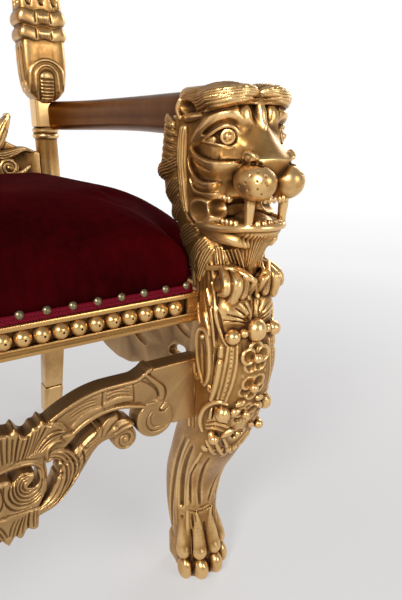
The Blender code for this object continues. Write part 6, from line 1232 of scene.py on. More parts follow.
def lower_relief(h):
    """Carved rail under the back panel."""
    R = Relief((0.0, 0.518), (0.2276, 0.7060), h, base=-0.004)
    R.plate([(-0.01, 0.6590), (0.150, 0.6590), (0.158, 0.6560), (0.172, 0.6480), (0.190, 0.6390), (0.230, 0.6290), (0.230, 0.5450), (0.150, 0.5350), (-0.01, 0.5250)], -0.0014)
    R.band([(-0.005, 0.6540, 0.0034), (0.080, 0.6540, 0.0034), (0.146, 0.6535, 0.0032)], 0.0012, low=-0.0012, mask=False)
    R.band([(-0.005, 0.5300, 0.0034), (0.150, 0.5400, 0.0034), (0.228, 0.5500, 0.0032)], 0.0012, low=-0.0012, mask=False)
    R.band([(0.140, 0.6280, 0.0080), (0.152, 0.6500, 0.0130), (0.163, 0.6700, 0.0115), (0.171, 0.6850, 0.0070), (0.178, 0.6925, 0.0036)], 0.0052, low=-0.0010, lines=4, amp=0.0008)
    R.band([(0.176, 0.6960, 0.0036), (0.1735, 0.6840, 0.0052), (0.170, 0.6730, 0.0050)], 0.0060, low=0.0, lines=1, amp=0.0004)
    R.band([(0.135, 0.6280, 0.0085), (0.158, 0.6240, 0.0100), (0.178, 0.6290, 0.0080), (0.198, 0.6350, 0.0050), (0.214, 0.6310, 0.0030)], 0.0046, low=-0.0010, lines=4, amp=0.0008)
    R.volute(0.168, 0.6020, 0.0185, 0.0060, turns=1.8, a0=60, hand=-1, depth=0.0022)
    R.band([(0.110, 0.5750, 0.0060), (0.135, 0.5780, 0.0100), (0.155, 0.5860, 0.0080), (0.186, 0.5900, 0.0060), (0.206, 0.6030, 0.0040)], 0.0040, low=-0.0010, lines=4, amp=0.0007)
    R.volute(0.075, 0.6150, 0.0205, 0.0056, turns=1.9, a0=120, hand=1, depth=0.0022)
    R.band([(0.030, 0.5900, 0.0060), (0.050, 0.5830, 0.0100), (0.080, 0.5830, 0.0100), (0.110, 0.5980, 0.0090), (0.128, 0.6180, 0.0050)], 0.0042, low=-0.0010, lines=5, amp=0.0007)
    R.band([(0.095, 0.6180, 0.0050), (0.106, 0.6350, 0.0080), (0.120, 0.6440, 0.0060), (0.132, 0.6420, 0.0030)], 0.0040, low=-0.0010, lines=3, amp=0.0006)
    for k in range(5):
        a = math.radians(90 - 36 * k)
        R.band([(0.010 * math.cos(a), 0.602 + 0.010 * math.sin(a), 0.0050), (0.026 * math.cos(a), 0.602 + 0.026 * math.sin(a), 0.0098), (0.040 * math.cos(a), 0.602 + 0.040 * math.sin(a), 0.0060)],
               0.0052, low=-0.0010, lines=2, amp=0.0008)
    R.volute(0.0, 0.602, 0.0120, 0.0072, turns=0, eye=0.5)
    return R


def crest_relief(h):
    R = Relief((0.0, 1.350), (0.2230, 1.8060), h, base=-0.006)
    R.plate([(-0.01, 1.600), (0.070, 1.592), (0.110, 1.552), (0.145, 1.508), (0.180, 1.464), (0.2222, 1.438), (0.2222, 1.372), (0.205, 1.374), (0.190, 1.380), (0.165, 1.414), (0.130, 1.444),
             (0.080, 1.466), (-0.01, 1.474)], -0.0030)
    R.band([(0.212, 1.418, 0.0120), (0.188, 1.450, 0.0180), (0.154, 1.496, 0.0220), (0.120, 1.546, 0.0225), (0.094, 1.590, 0.0180), (0.078, 1.620, 0.0130)], 0.0090, low=-0.0010, lines=7, amp=0.0012, steps=8)
    R.volute(0.070, 1.612, 0.0330, 0.0100, turns=2.0, a0=-60, hand=1, depth=0.0030)
    R.volute(0.184, 1.472, 0.0300, 0.0090, turns=1.9, a0=120, hand=1, depth=0.0028)
    for s in ([(0.112, 1.552, 0.0130), (0.134, 1.582, 0.0170), (0.142, 1.618, 0.0090)], [(0.142, 1.508, 0.0120), (0.168, 1.534, 0.0155), (0.178, 1.566, 0.0080)],
              [(0.100, 1.572, 0.0100), (0.112, 1.604, 0.0130), (0.110, 1.636, 0.0070)], [(0.160, 1.486, 0.0100), (0.186, 1.506, 0.0120), (0.206, 1.524, 0.0060)]):
        R.band(s, 0.0075, low=-0.0020, lines=4, amp=0.0011)
    # shell: seven ribs, each with fine flutes, round a boss
    for k in (3, 2, 1, 0):
        a = math.radians(90 - 25 * k)
        L = 0.148 - 0.0045 * k
        R.band([(0.022 * math.cos(a), 1.650 + 0.022 * math.sin(a), 0.0070), (0.55 * L * math.cos(a), 1.650 + 0.55 * L * math.sin(a), 0.0200),
                (0.86 * L * math.cos(a), 1.650 + 0.86 * L * math.sin(a), 0.0225)], 0.0100, low=-0.0020, lines=5, amp=0.0010, steps=6)
        R.mark([(0.06 * L * math.cos(a), 1.650 + 0.06 * L * math.sin(a), 0.0030), (0.92 * L * math.cos(a), 1.650 + 0.92 * L * math.sin(a), 0.0050)], 0.0020, ends=0.05)
    R.m = smin(R.m, np.hypot(R.x, R.z - 1.650) - 0.070, 0.002)
    R.volute(0.0, 1.640, 0.0260, 0.0150, turns=0, eye=0.6)
    for k in range(3):
        R.band([(0.006 + 0.014 * k, 1.616, 0.0060), (0.010 + 0.020 * k, 1.588, 0.0110 - 0.001 * k), (0.006 + 0.018 * k, 1.556 + 0.008 * k, 0.0060)], 0.0095, low=-0.0020, lines=3, amp=0.0010)
    R.band([(0.0, 1.620, 0.0070), (0.0, 1.586, 0.0120), (0.0, 1.540, 0.0060)], 0.0115, low=-0.0010, lines=3, amp=0.0010)
    R.band([(0.0, 1.515, 0.0060), (0.040, 1.505, 0.0100), (0.085, 1.505, 0.0110), (0.120, 1.486, 0.0080), (0.150, 1.455, 0.0050)], 0.0050, low=-0.0030, lines=4, amp=0.0008, mask=False)
    R.band([(0.0, 1.478, 0.0046), (0.080, 1.470, 0.0046), (0.132, 1.448, 0.0046), (0.168, 1.418, 0.0046), (0.196, 1.382, 0.0040)], 0.0030, low=-0.0020, mask=False)
    return R


def carved(name, R, y0, thick, faces, half=True, turn=None, turn_n=None, lean_at=None, scales=((0.0018, 0.4), (0.0045, 0.35), (0.010, 0.25))):
    """Board from its relief: meshed, thinned, with hollows stored, then moved into place."""
    d, lo, h = R.board(y0, thick)
    full, lo2 = mirrored(d, lo, h) if half else (d, lo)
    p, t, q = vdb_mesh(full, lo2, h)
    ob = link(name, mesh_of(name, p, t, q))
    thin_out(ob, faces)
    hollows(ob, d, lo, h, scales, fold=0.0 if half else None)
    shade_from(ob, full, lo2, h, turn_n)
    co = coords(ob.data)
    if lean_at is not None:
        co[:, 1] += np.array([lean_at(z) for z in co[:, 2]])
    if turn is not None:
        co = turn(co)
    co[:, 1] += OY
    ob.data.vertices.foreach_set("co", co.astype(np.float32).reshape(-1))
    ob.data.update()
    return ob
# ---------------------------------------------------------------- shared sizes of the chair (metres, before the shift OY)
RAIL_Y, RAIL_T, RAIL_Z0, RAIL_Z1 = -0.300, 0.028, 0.4533, 0.4900
BEAD_Z, CH_H, CH_D = 0.4743, 0.0192, 0.0070
LION_X, REAR_X, REAR_Y = 0.2920, 0.2476, 0.2620
ARM = ((0.2920, -0.2360), (0.2935, -0.2130), (0.2990, -0.1500), (0.3050, -0.0600), (0.3060, 0.0400), (0.3000, 0.1300), (0.2880, 0.1950), (0.2700, 0.2395), (0.2560, 0.2600))
ARM_H = (0.0270, 0.0272, 0.0262, 0.0252, 0.0250, 0.0252, 0.0256, 0.0258, 0.0254)
ARM_Z = (0.6925, 0.6930, 0.6945, 0.6958, 0.6962, 0.6958, 0.6955, 0.6955, 0.6955)
ARM_W = (0.0205, 0.0220, 0.0214, 0.0206, 0.0200, 0.0190, 0.0178, 0.0170, 0.0170)
BACK_Y, BACK_Z0, BACK_Z1, FRAME_W = 0.2630, 0.6600, 1.4700, 0.036


def lean(z):
    return 0.045 * (max(z - 0.90, 0.0) / 0.90) ** 1.2


def rail_line(y):
    return 0.2850 + (0.2500 - 0.2850) * (y + 0.262) / 0.498


def rear_centre(z):
    if z < RAIL_Z0:
        k = (1.0 - z / RAIL_Z0) ** 1.35
        j = min((RAIL_Z0 - z) / 0.06, 1.0) * min(z / 0.20, 1.0)
        return REAR_X + (0.2400 - REAR_X) * k - 0.0045 * j, REAR_Y + (0.3850 - REAR_Y) * k + 0.0055 * j
    return REAR_X, REAR_Y + lean(z)


def back_half_width(z):
    t = min(max((z - BACK_Z0) / (BACK_Z1 - BACK_Z0), 0.0), 1.0)
    return 0.150 + 0.042 * math.sin(math.pi * min(t, 0.86) / 0.86 * 0.5) ** 1.3


def panel_outline(inset, n=26):
    """(x, z) loop of the framed back: up the right side, over the arch, down the left."""
    zb, zs, zt = BACK_Z0 + inset, 1.330, BACK_Z1 - inset
    right = [(back_half_width(zb) - inset - 0.022, zb), (back_half_width(zb) - inset - 0.009, zb + 0.003), (back_half_width(zb) - inset - 0.003, zb + 0.011),
             (back_half_width(zb) - inset - 0.0005, zb + 0.024)]
    for i in range(1, n):
        z = zb + 0.024 + (zs - zb - 0.024) * i / (n - 1)
        right.append((back_half_width(z) - inset, z))
    xs = right[-1][0]
    for i in range(1, n):
        a = math.pi / 2 * i / n
        right.append((xs * math.cos(a) ** 0.85, zs + (zt - zs) * math.sin(a) ** 0.95))
    return np.array(right + [(0.0, zt)] + [(-x, z) for x, z in reversed(right)])


def seat_outline(inset=0.0):
    """(x, y) loop of the upholstered seat, notched round the front posts."""
    f, a, b = 0.2440 - inset, 0.2950 - inset, 0.2590 - inset
    yf, yn, yb = RAIL_Y + 0.003 + inset, -0.2320 + inset, 0.234 - inset
    half = [(0.0, yf), (f - 0.007, yf), (f - 0.0020, yf + 0.0020), (f, yf + 0.007), (f, yn - 0.006), (f + 0.002, yn - 0.0015), (f + 0.007, yn),
            (a - 0.012, yn), (a - 0.0035, yn + 0.0035), (a, yn + 0.012), (b, yb - 0.014), (b - 0.004, yb - 0.004), (b - 0.014, yb), (0.0, yb)]
    return np.array(half + [(-x, y) for x, y in reversed(half[1:-1])])


def resample(loop, step):
    """Closed polyline with even spacing."""
    p = np.vstack([loop, loop[:1]])
    s = np.concatenate([[0], np.cumsum(np.linalg.norm(np.diff(p, axis=0), axis=1))])
    n = max(8, int(round(s[-1] / step)))
    t = s[-1] * np.arange(n) / n
    return np.stack([np.interp(t, s, p[:, k]) for k in range(p.shape[1])], -1)


def crease(ob, angle=35):
    bm = bmesh.new()
    bm.from_mesh(ob.data)
    bmesh.ops.recalc_face_normals(bm, faces=bm.faces)
    for f in bm.faces:
        f.smooth = True
    lim = math.radians(angle)
    for e in bm.edges:
        if len(e.link_faces) == 2 and e.calc_face_angle(0) > lim:
            e.smooth = False
    bm.to_mesh(ob.data)
    bm.free()
    return ob


def loft(name, rings, cap=True, closed=True, angle=35):
    """Skin over rings of equally many points."""
    n = len(rings[0])
    pts = [tuple(p) for r in rings for p in r]
    faces = []
    for k in range(len(rings) - 1):
        for i in range(n if closed else n - 1):
            j = (i + 1) % n
            faces.append((k * n + i, k * n + j, (k + 1) * n + j, (k + 1) * n + i))
    if cap:
        for k in (0, len(rings) - 1):
            c = len(pts)
            pts.append(tuple(np.mean(np.array(rings[k], float), axis=0)))
            for i in range(n):
                j = (i + 1) % n
                faces.append((k * n + i, k * n + j, c))
    me = bpy.data.meshes.new(name)
    me.from_pydata([(x, y + OY, z) for x, y, z in pts], [], faces)
    return crease(link(name, me), angle)


def sloop(cx, cy, z, hx, hy, n=48, e=2.0):
    out = []
    for i in range(n):
        a = 2 * math.pi * (i + 0.5) / n
        c, s = math.cos(a), math.sin(a)
        out.append((cx + hx * math.copysign(abs(c) ** (2 / e), c), cy + hy * math.copysign(abs(s) ** (2 / e), s), z))
    return out


def joined(name, obs):
    """One object from several."""
    bm = bmesh.new()
    for o in obs:
        bm.from_mesh(o.data)
    me = bpy.data.meshes.new(name)
    bm.to_mesh(me)
    bm.free()
    for o in obs:
        m = o.data
        bpy.data.objects.remove(o, do_unlink=True)
        bpy.data.meshes.remove(m)
    return link(name, me)


def flipped(ob, name):
    """The same piece for the other side of the chair."""
    me = ob.data.copy()
    nv = None
    if me.has_custom_normals:
        c = np.empty(len(me.loops) * 3, np.float32)
        me.corner_normals.foreach_get("vector", c)
        at = np.empty(len(me.loops), np.int32)
        me.loops.foreach_get("vertex_index", at)
        nv = np.zeros((len(me.vertices), 3), np.float32)
        nv[at] = c.reshape(-1, 3)
        nv[:, 0] *= -1
    co = coords(me)
    co[:, 0] *= -1
    me.vertices.foreach_set("co", co.astype(np.float32).reshape(-1))
    me.flip_normals()
    me.update()
    if nv is not None:
        me.normals_split_custom_set_from_vertices(nv.tolist())
    return link(name, me)


def shifted(ob, name, dx):
    """A second copy of a piece that is the same on both sides, moved across."""
    me = ob.data.copy()
    co = coords(me)
    co[:, 0] += dx
    me.vertices.foreach_set("co", co.astype(np.float32).reshape(-1))
    me.update()
    return link(name, me)


# ---------------------------------------------------------------- rails, beads, nails
def rail_profile(channel):
    """Section of a rail as (out, z): out runs from 0 at the inner side to RAIL_T at the outer face."""
    T, z0, z1 = RAIL_T, RAIL_Z0, RAIL_Z1
    c0, c1 = BEAD_Z - CH_H / 2, BEAD_Z + CH_H / 2
    d = CH_D if channel else 0.0
    return [(0.0, z0 + 0.001), (0.001, z0), (T - 0.0018, z0), (T - 0.0006, z0 + 0.0004), (T, z0 + 0.0016), (T, z0 + 0.0042), (T - 0.0012, z0 + 0.0056),
            (T - 0.0012, c0 - 0.0034), (T, c0 - 0.0022), (T, c0 - 0.0012), (T - 0.0003, c0 - 0.0003), (T - 0.0012, c0), (T - d - 0.0012 * (0 if channel else 1), c0 + (0.0002 if channel else 0.0060)),
            (T - d - 0.0012 * (0 if channel else 1), c1 - (0.0002 if channel else 0.0060)), (T - 0.0010, c1), (T - 0.0002, c1 + 0.0005), (T, z1 - 0.0018), (T - 0.0006, z1 - 0.0005), (T - 0.0018, z1),
            (0.001, z1), (0.0, z1 - 0.001)]


def rail(name, line, ends, channel, outward, step=0.02):
    """line(t) gives the inner side point; ends = (t0, t1); channel = (c0, c1)."""
    t0, t1 = ends
    c0, c1 = channel
    ts = [(t0, False)] + ([(c0 - 0.0006, False), (c0 + 0.0004, True)] if c1 > c0 else [])
    n = max(2, int((c1 - c0) / step)) if c1 > c0 else 0
    ts += [(c0 + 0.0004 + (c1 - c0 - 0.0008) * i / n, True) for i in range(1, n)] if n else []
    ts += ([(c1 - 0.0004, True), (c1 + 0.0006, False)] if c1 > c0 else []) + [(t1, False)]
    rings = []
    for t, ch in ts:
        p = np.array(line(t))
        o = np.array(outward)
        rings.append([(p[0] + o[0] * a, p[1] + o[1] * a, z) for a, z in rail_profile(ch)])
    return loft(name, rings, angle=40)


def bead_mesh(r=0.0095, seg=24):
    """Turned bead with its thread hole showing in front (towards -y)."""
    prof = [(0.0, -r + 0.0042), (0.0009, -r + 0.0040), (0.0011, -r + 0.0012), (0.0013, -r + 0.0002), (0.0018, -r + 0.00005)]
    for i in range(1, 13):
        a = math.radians(14 + 152 * i / 12)
        k = 1.0 if i < 12 else 1.0
        prof.append((r * math.sin(a) * k, -r * math.cos(a)))
    pts, faces = [], []
    for q, y in prof:
        for i in range(seg):
            a = 2 * math.pi * i / seg
            pts.append((q * math.cos(a), y, q * math.sin(a)))
    m = len(prof)
    for k in range(m - 1):
        for i in range(seg):
            j = (i + 1) % seg
            faces.append((k * seg + i, (k + 1) * seg + i, (k + 1) * seg + j, k * seg + j))
    c = len(pts)
    pts.append((0, prof[-1][1] + 0.0002, 0))
    faces += [((m - 1) * seg + i, c, (m - 1) * seg + (i + 1) % seg) for i in range(seg)]
    return np.array(pts), faces


def scattered(name, pts, faces, mats, angle=40):
    """Copies of a small mesh, one for each 4x4 matrix, in one object."""
    P, F = [], []
    for M in mats:
        M = np.array(M)
        F += [tuple(i + len(P) * len(pts) for i in f) for f in faces]
        P.append(pts @ M[:3, :3].T + M[:3, 3])
    P = np.vstack(P)
    P[:, 1] += OY
    me = bpy.data.meshes.new(name)
    me.from_pydata([tuple(p) for p in P], [], F)
    return crease(link(name, me), angle)


def placed(p, out, roll=0.0, s=(1, 1, 1)):
    """Matrix that turns the local -y axis to point along out (a direction in the floor plane)."""
    a = math.atan2(out[0], -out[1])
    return Matrix.Translation(p) @ Matrix.Rotation(a, 4, 'Z') @ Matrix.Rotation(roll, 4, 'Y') @ Matrix.Diagonal((s[0], s[1], s[2], 1))


def nail_mesh(r=0.0047, seg=16):
    prof = [(a * r / 0.0047, b * r / 0.0047) for a, b in ((0.0, -0.0031), (0.0011, -0.0030), (0.0022, -0.0026), (0.0033, -0.0018), (0.0041, -0.0009), (0.0046, 0.0), (0.0047, 0.0004), (0.0040, 0.0009))]
    pts = [(0.0, prof[0][1], 0.0)]
    for q, y in prof[1:]:
        for i in range(seg):
            a = 2 * math.pi * i / seg
            pts.append((q * math.cos(a), y, q * math.sin(a)))
    faces = [(0, 1 + i, 1 + (i + 1) % seg) for i in range(seg)]
    for k in range(len(prof) - 2):
        for i in range(seg):
            j = (i + 1) % seg
            faces.append((1 + k * seg + i, 1 + (k + 1) * seg + i, 1 + (k + 1) * seg + j, 1 + k * seg + j))
    return np.array(pts), faces


def braid(name, loop, z0, z1, out):
    """Woven gimp round the seat: a band with two rows of slanting threads."""
    L = resample(loop, 0.0011)
    n = len(L)
    t = np.roll(L, -1, 0) - np.roll(L, 1, 0)
    t /= np.linalg.norm(t, axis=1)[:, None]
    nrm = np.stack([t[:, 1], -t[:, 0]], -1)
    s = np.arange(n)
    rings = []
    rows = 13
    prof = [(-0.0006, z0)]
    for k in range(rows):
        v = k / (rows - 1)
        prof.append((v, z0 + (z1 - z0) * v))
    for k, (v, z) in enumerate(prof):
        if k == 0:
            P = L - nrm * 0.0024
        else:
            edge = 0.0009 * (1 - abs(2 * v - 1) ** 6)
            up = 0.00045 * np.cos(2 * math.pi * (s * 0.0011 / 0.0042 + (v if v < 0.5 else 1 - v) * 1.6))
            row = 0.00035 * math.cos(4 * math.pi * v)
            P = L + nrm * (out + edge + up * (0.4 + 0.6 * math.sin(math.pi * v)) - row)[:, None] if np.ndim(up) else L
        rings.append([(p[0], p[1], z) for p in P])
    rings.append([(p[0], p[1], z1) for p in L - nrm * 0.0024])
    return loft(name, rings, cap=False, angle=80)


# ---------------------------------------------------------------- rear posts
def post_shaft(name, lo, hi):
    """Turned and squared parts of the post, between two heights."""
    T = [(0.0000, .0205, 7), (0.0010, .0215, 7), (0.0740, .0225, 7), (0.0790, .0222, 7), (0.0810, .0206, 7), (0.0840, .0206, 7), (0.0860, .0216, 7), (0.1600, .0225, 7), (0.2600, .0236, 7), (0.3000, .0241, 7), (0.3600, .0247, 7), (0.4000, .0255, 7), (0.4200, .0262, 7), (0.4530, .0270, 7), (0.5000, .0270, 7), (0.5020, .0262, 7),
         (0.5030, .0235, 2), (0.5050, .0246, 2), (0.5085, .0250, 2), (0.5120, .0240, 2), (0.5140, .0216, 2), (0.5200, .0210, 2), (0.5850, .0214, 2), (0.6500, .0206, 2), (0.6530, .0208, 2), (0.6545, .0236, 2), (0.6562, .0248, 2), (0.6585, .0252, 2),
         (0.6608, .0248, 2), (0.6624, .0234, 2), (0.6636, .0220, 2), (0.6650, .0232, 2), (0.6672, .0246, 2), (0.6700, .0246, 2), (0.6722, .0232, 2), (0.6740, .0205, 2), (0.6755, .0200, 8), (0.6765, .0210, 8), (0.7260, .0210, 8), (0.7270, .0200, 8), (0.7400, .0190, 6)]
    U = [(0.9580, .0260, 5), (0.9620, .0300, 5), (0.9660, .0370, 5), (0.9690, .0388, 5), (0.9800, .0388, 5), (0.9830, .0370, 5), (0.9870, .0300, 4), (0.9940, .0268, 3), (1.0040, .0235, 2), (1.0080, .0262, 2), (1.0120, .0268, 2), (1.0160, .0262, 2), (1.0200, .0230, 2),
         (1.0240, .0215, 2), (1.0500, .0232, 2), (1.0800, .0240, 2), (1.1400, .0238, 2), (1.2000, .0226, 2), (1.2700, .0212, 2), (1.3240, .0205, 2), (1.3280, .0232, 2), (1.3320, .0246, 2), (1.3360, .0246, 2), (1.3400, .0232, 2), (1.3430, .0215, 2), (1.3470, .0236, 2),
         (1.3510, .0240, 2), (1.3550, .0240, 8), (1.3570, .0250, 8), (1.4390, .0250, 8), (1.4410, .0242, 8), (1.4430, .0262, 2), (1.4460, .0300, 2), (1.4500, .0314, 2), (1.4550, .0306, 2), (1.4590, .0240, 2), (1.4640, .0180, 2), (1.4700, .0176, 2), (1.4760, .0220, 2),
         (1.4840, .0286, 2), (1.4960, .0326, 2), (1.5080, .0336, 2), (1.5220, .0326, 2), (1.5360, .0302, 2), (1.5520, .0258, 2), (1.5680, .0196, 2), (1.5800, .0130, 2), (1.5870, .0080, 2), (1.5900, .0030, 2)]
    rings = []
    for z, r, e in T + U:
        if lo <= z <= hi:
            x, y = rear_centre(z)
            n = 56
            if z > 1.480:
                ring = []
                for i, p in enumerate(sloop(x, y, z, r, r, n, e)):
                    k = 1 + 0.050 * math.cos(2 * math.pi * i * 8 / n) * math.sin(math.pi * min(max((z - 1.476) / 0.11, 0), 1))
                    ring.append((x + (p[0] - x) * k, y + (p[1] - y) * k, z))
                rings.append(ring)
            else:
                rings.append(sloop(x, y, z, r, r, n, e))
    return loft(name, rings, angle=32)


def console_volume(h):
    """Carved console over the arm: half block u >= 0."""
    v = Vol((0.0, -0.052, 0.716), (0.046, 0.052, 0.968), h)
    sl, (u, y, z) = v.axes(None, (9, 9, 9))
    zz = z[0, 0, :]
    t = np.array(((0.716, .010, .020), (0.7220, .0150, .0250), (0.7250, .0200, .0290), (0.7300, .0250, .0325), (0.7380, .0300, .0355), (0.7500, .0334, .0380), (0.7680, .0352, .0395), (0.7900, .0360, .0400),
                  (0.8150, .0357, .0398), (0.8210, .0352, .0392), (0.9000, .0345, .0380), (0.9680, .0342, .0378)))
    hx, hy = (np.interp(zz, t[:, 0], t[:, k]) for k in (1, 2))
    hx, hy = hx[None, None, :], hy[None, None, :]
    wave = 0.0016 * np.cos(2 * math.pi * u / 0.0300) + 0.0 * y
    grow = np.zeros_like(u + y + z)
    for zc, hr, g in ((0.8330, 0.0108, 0.0056), (0.8590, 0.0120, 0.0062)):
        q = np.clip(np.abs(z - zc - wave) / hr, 0, 1)
        grow = np.maximum(grow, g * np.sqrt(1 - q * q) - 0.0010)
    grow = np.where((z > 0.8205) & (z < 0.8725), grow, 0)
    e = 5.5
    r = ((np.abs(u) / (hx + grow)) ** e + (np.abs(y) / (hy + grow)) ** e) ** (1 / e)
    v.d[sl] = ((r - 1.0) * (np.minimum(hx, hy) + grow) * 0.95).astype(np.float32)
    v.box((0, 0, 0.700), (0.2, 0.2, 0.0215), k=0.002, op='cut')
    # flutes on the shaft: three in front, and on the sides and back
    for u0, w in ((0.0, 0.0062), (0.0200, 0.0068)):
        for s in (-1, 1):
            v.emboss([(u0, s * 0.0385, 0.8820, w * 0.6), (u0, s * 0.0385, 0.8900, w), (u0, s * 0.0385, 0.9520, w), (u0, s * 0.0385, 0.9600, w * 0.5)], -0.0036, up=(0, s, 0), lim=0.012, profile='dome', ends=0, smooth=False)
    for y0 in (-0.022, 0.0, 0.022):
        v.emboss([(0.0350, y0, 0.8820, 0.0040), (0.0350, y0, 0.8900, 0.0068), (0.0350, y0, 0.9520, 0.0068), (0.0350, y0, 0.9600, 0.0034)], -0.0034, up=(1, 0, 0), lim=0.012, profile='dome', ends=0, smooth=False)
        v.emboss([(0.0352, y0, 0.7440 + abs(y0) * 0.2, 0.0034), (0.0360, y0, 0.7560, 0.0062), (0.0360, y0, 0.8080, 0.0062), (0.0360, y0, 0.8150, 0.0030)], -0.0030, up=(1, 0, 0), lim=0.012, profile='dome', ends=0, smooth=False)
    # knots in the middle of the rolls
    for zc, R in ((0.8330, 0.0090), (0.8590, 0.0100)):
        for s in (-1, 1):
            for k in (-2, -1, 0, 1, 2):
                v.rope([(0.0026 * k, s * 0.0420, zc - R * 0.8, 0.0010), (0.0034 * k, s * 0.0452, zc, 0.0024), (0.0030 * k, s * 0.0430, zc + R * 0.8, 0.0010)], 0.0008)
            v.emboss([(0.0125, s * 0.046, zc - R, 0.0018), (0.0120, s * 0.046, zc + R, 0.0018)], -0.0026, up=(0, s, 0), lim=0.014, ends=0.05)
    for s in (-1, 1):
        # arched ridges and the ribbed tongue
        for half, z_top, w, hgt in ((0.0285, 0.7905, 0.0034, 0.0020), (0.0190, 0.7820, 0.0028, 0.0016)):
            arc = [(half, s * 0.036, 0.738, w * 0.5), (half, s * 0.038, 0.752, w)]
            for a in (20, 40, 60, 80, 90):
                arc.append((half * math.cos(math.radians(a)), s * 0.0395, 0.758 + (z_top - 0.758) * math.sin(math.radians(a)), w))
            v.emboss(arc, hgt, up=(0, s, 0), lim=0.014, ends=0)
        tongue = [(0.0, s * 0.034, 0.7240, 0.0110), (0.0, s * 0.038, 0.7400, 0.0118), (0.0, s * 0.0395, 0.7610, 0.0114)]
        v.emboss([(0, s * 0.034, 0.7240, 0.0150), (0, s * 0.038, 0.7400, 0.0155), (0, s * 0.0395, 0.7620, 0.0150)], -0.0016, up=(0, s, 0), lim=0.014, profile='flat', ends=0)
        v.emboss(tongue, 0.0042, up=(0, s, 0), lim=0.018, profile='dome', pitch=0.0062, amp=0.0010, across=True, ends=0)
    return v


def volume_piece(name, v, faces, at, mirror=True, scales=((0.0016, .5), (0.0042, .5))):
    full, lo = mirrored(v.d, v.lo, v.h) if mirror else (v.d, np.array(v.lo))
    p, t, q = vdb_mesh(full, lo, v.h)
    ob = link(name, mesh_of(name, p, t, q))
    thin_out(ob, faces)
    hollows(ob, v.d, np.array(v.lo), v.h, scales, fold=0.0 if mirror else None)
    shade_from(ob, full, lo, v.h)
    co = coords(ob.data) + np.array(at)
    ob.data.vertices.foreach_set("co", co.astype(np.float32).reshape(-1))
    ob.data.update()
    return ob
# ---------------------------------------------------------------- upholstery
def remeshed(ob, size):
    m = ob.modifiers.new("voxels", 'REMESH')
    m.mode = 'VOXEL'
    m.voxel_size = size
    return applied(ob)


def swollen(ob, hold, cap, pressure=4.0, frames=20, stiff=14.0, bend=1.5, shrink=0.0):
    """Cloth under pressure: swell the cover, keeping the held points and capping every move."""
    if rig.quick():
        return ob
    rest = coords(ob.data)
    w = hold(rest)
    g = ob.vertex_groups.new(name="hold")
    for k in range(11):
        idx = np.nonzero(np.round(w * 10).astype(int) == k)[0]
        if len(idx) and k:
            g.add(idx.tolist(), k / 10, 'REPLACE')
    c = ob.modifiers.new("cloth", 'CLOTH')
    s = c.settings
    s.quality = 6
    s.mass = 0.25
    s.tension_stiffness = s.compression_stiffness = stiff
    s.shear_stiffness = 4.0
    s.bending_stiffness = bend
    s.use_pressure = True
    s.uniform_pressure_force = pressure
    s.effector_weights.gravity = 0.0
    s.vertex_group_mass = "hold"
    s.shrink_min = shrink
    c.point_cache.frame_start = 1
    c.point_cache.frame_end = frames
    sc = bpy.context.scene
    for f in range(1, frames + 1):
        sc.frame_set(f)
    dg = bpy.context.evaluated_depsgraph_get()
    ev = ob.evaluated_get(dg)
    now = coords(ev.data)
    ob.modifiers.remove(c)
    ob.vertex_groups.clear()
    sc.frame_set(1)
    if len(now) == len(rest) and np.isfinite(now).all():
        mv = now - rest
        L = np.linalg.norm(mv, axis=1)
        mv *= (np.minimum(L, cap) / np.maximum(L, 1e-9))[:, None]
        rest = rest + mv
        ob.data.vertices.foreach_set("co", rest.astype(np.float32).reshape(-1))
        ob.data.update()
    return ob


def eased(ob, rounds=4, keep=None):
    """Relax a mesh a little, to take the voxel steps out."""
    co = coords(ob.data)
    n = len(co)
    e = np.empty(len(ob.data.edges) * 2, np.int32)
    ob.data.edges.foreach_get("vertices", e)
    e = e.reshape(-1, 2)
    deg = np.bincount(e.reshape(-1), minlength=n).astype(float)
    for r in range(rounds):
        acc = np.zeros_like(co)
        for k in range(3):
            acc[:, k] = np.bincount(e[:, 0], co[e[:, 1], k], n) + np.bincount(e[:, 1], co[e[:, 0], k], n)
        avg = acc / np.maximum(deg, 1)[:, None]
        step = 0.55 if r % 2 == 0 else -0.57
        mv = (avg - co) * step
        if keep is not None:
            mv *= keep(co)[:, None]
        co = co + mv
    ob.data.vertices.foreach_set("co", co.astype(np.float32).reshape(-1))
    ob.data.update()
    return ob


def subdivided(ob, levels=1):
    m = ob.modifiers.new("sub", 'SUBSURF')
    m.levels = m.render_levels = levels
    applied(ob)
    ob.data.shade_smooth()
    return ob


def ring_at(outline, z, scale=1.0, cy=None):
    o = np.array(outline)
    cy = (RAIL_Y + 0.234) / 2 if cy is None else cy
    return [(p[0] * scale, cy + (p[1] - cy) * scale, z) for p in o]


def crown(x, y, top=0.6040):
    """Height of the stretched cover over a point of the seat."""
    hw = 0.2950 + (0.2590 - 0.2950) * (y + 0.22) / 0.44
    dx = hw - np.abs(x)
    dy = np.minimum(y - (RAIL_Y + 0.003), 0.234 - y)
    dn = np.where((np.abs(x) > 0.244) & (y < -0.232), 0.0, np.hypot(np.maximum(0.244 - np.abs(x), 0) * (y < 0.1), np.maximum(y + 0.232, 0)))
    f = 1 - np.clip(1 - np.maximum(dx, 0) / 0.100, 0, 1) ** 1.6
    g = 1 - np.clip(1 - np.maximum(dy, 0) / 0.150, 0, 1) ** 1.6
    k = 1 - np.clip(1 - dn / 0.055, 0, 1) ** 2.0
    return 0.5430 + (top - 0.5430) * (f * g) ** 0.6 * k ** 0.45


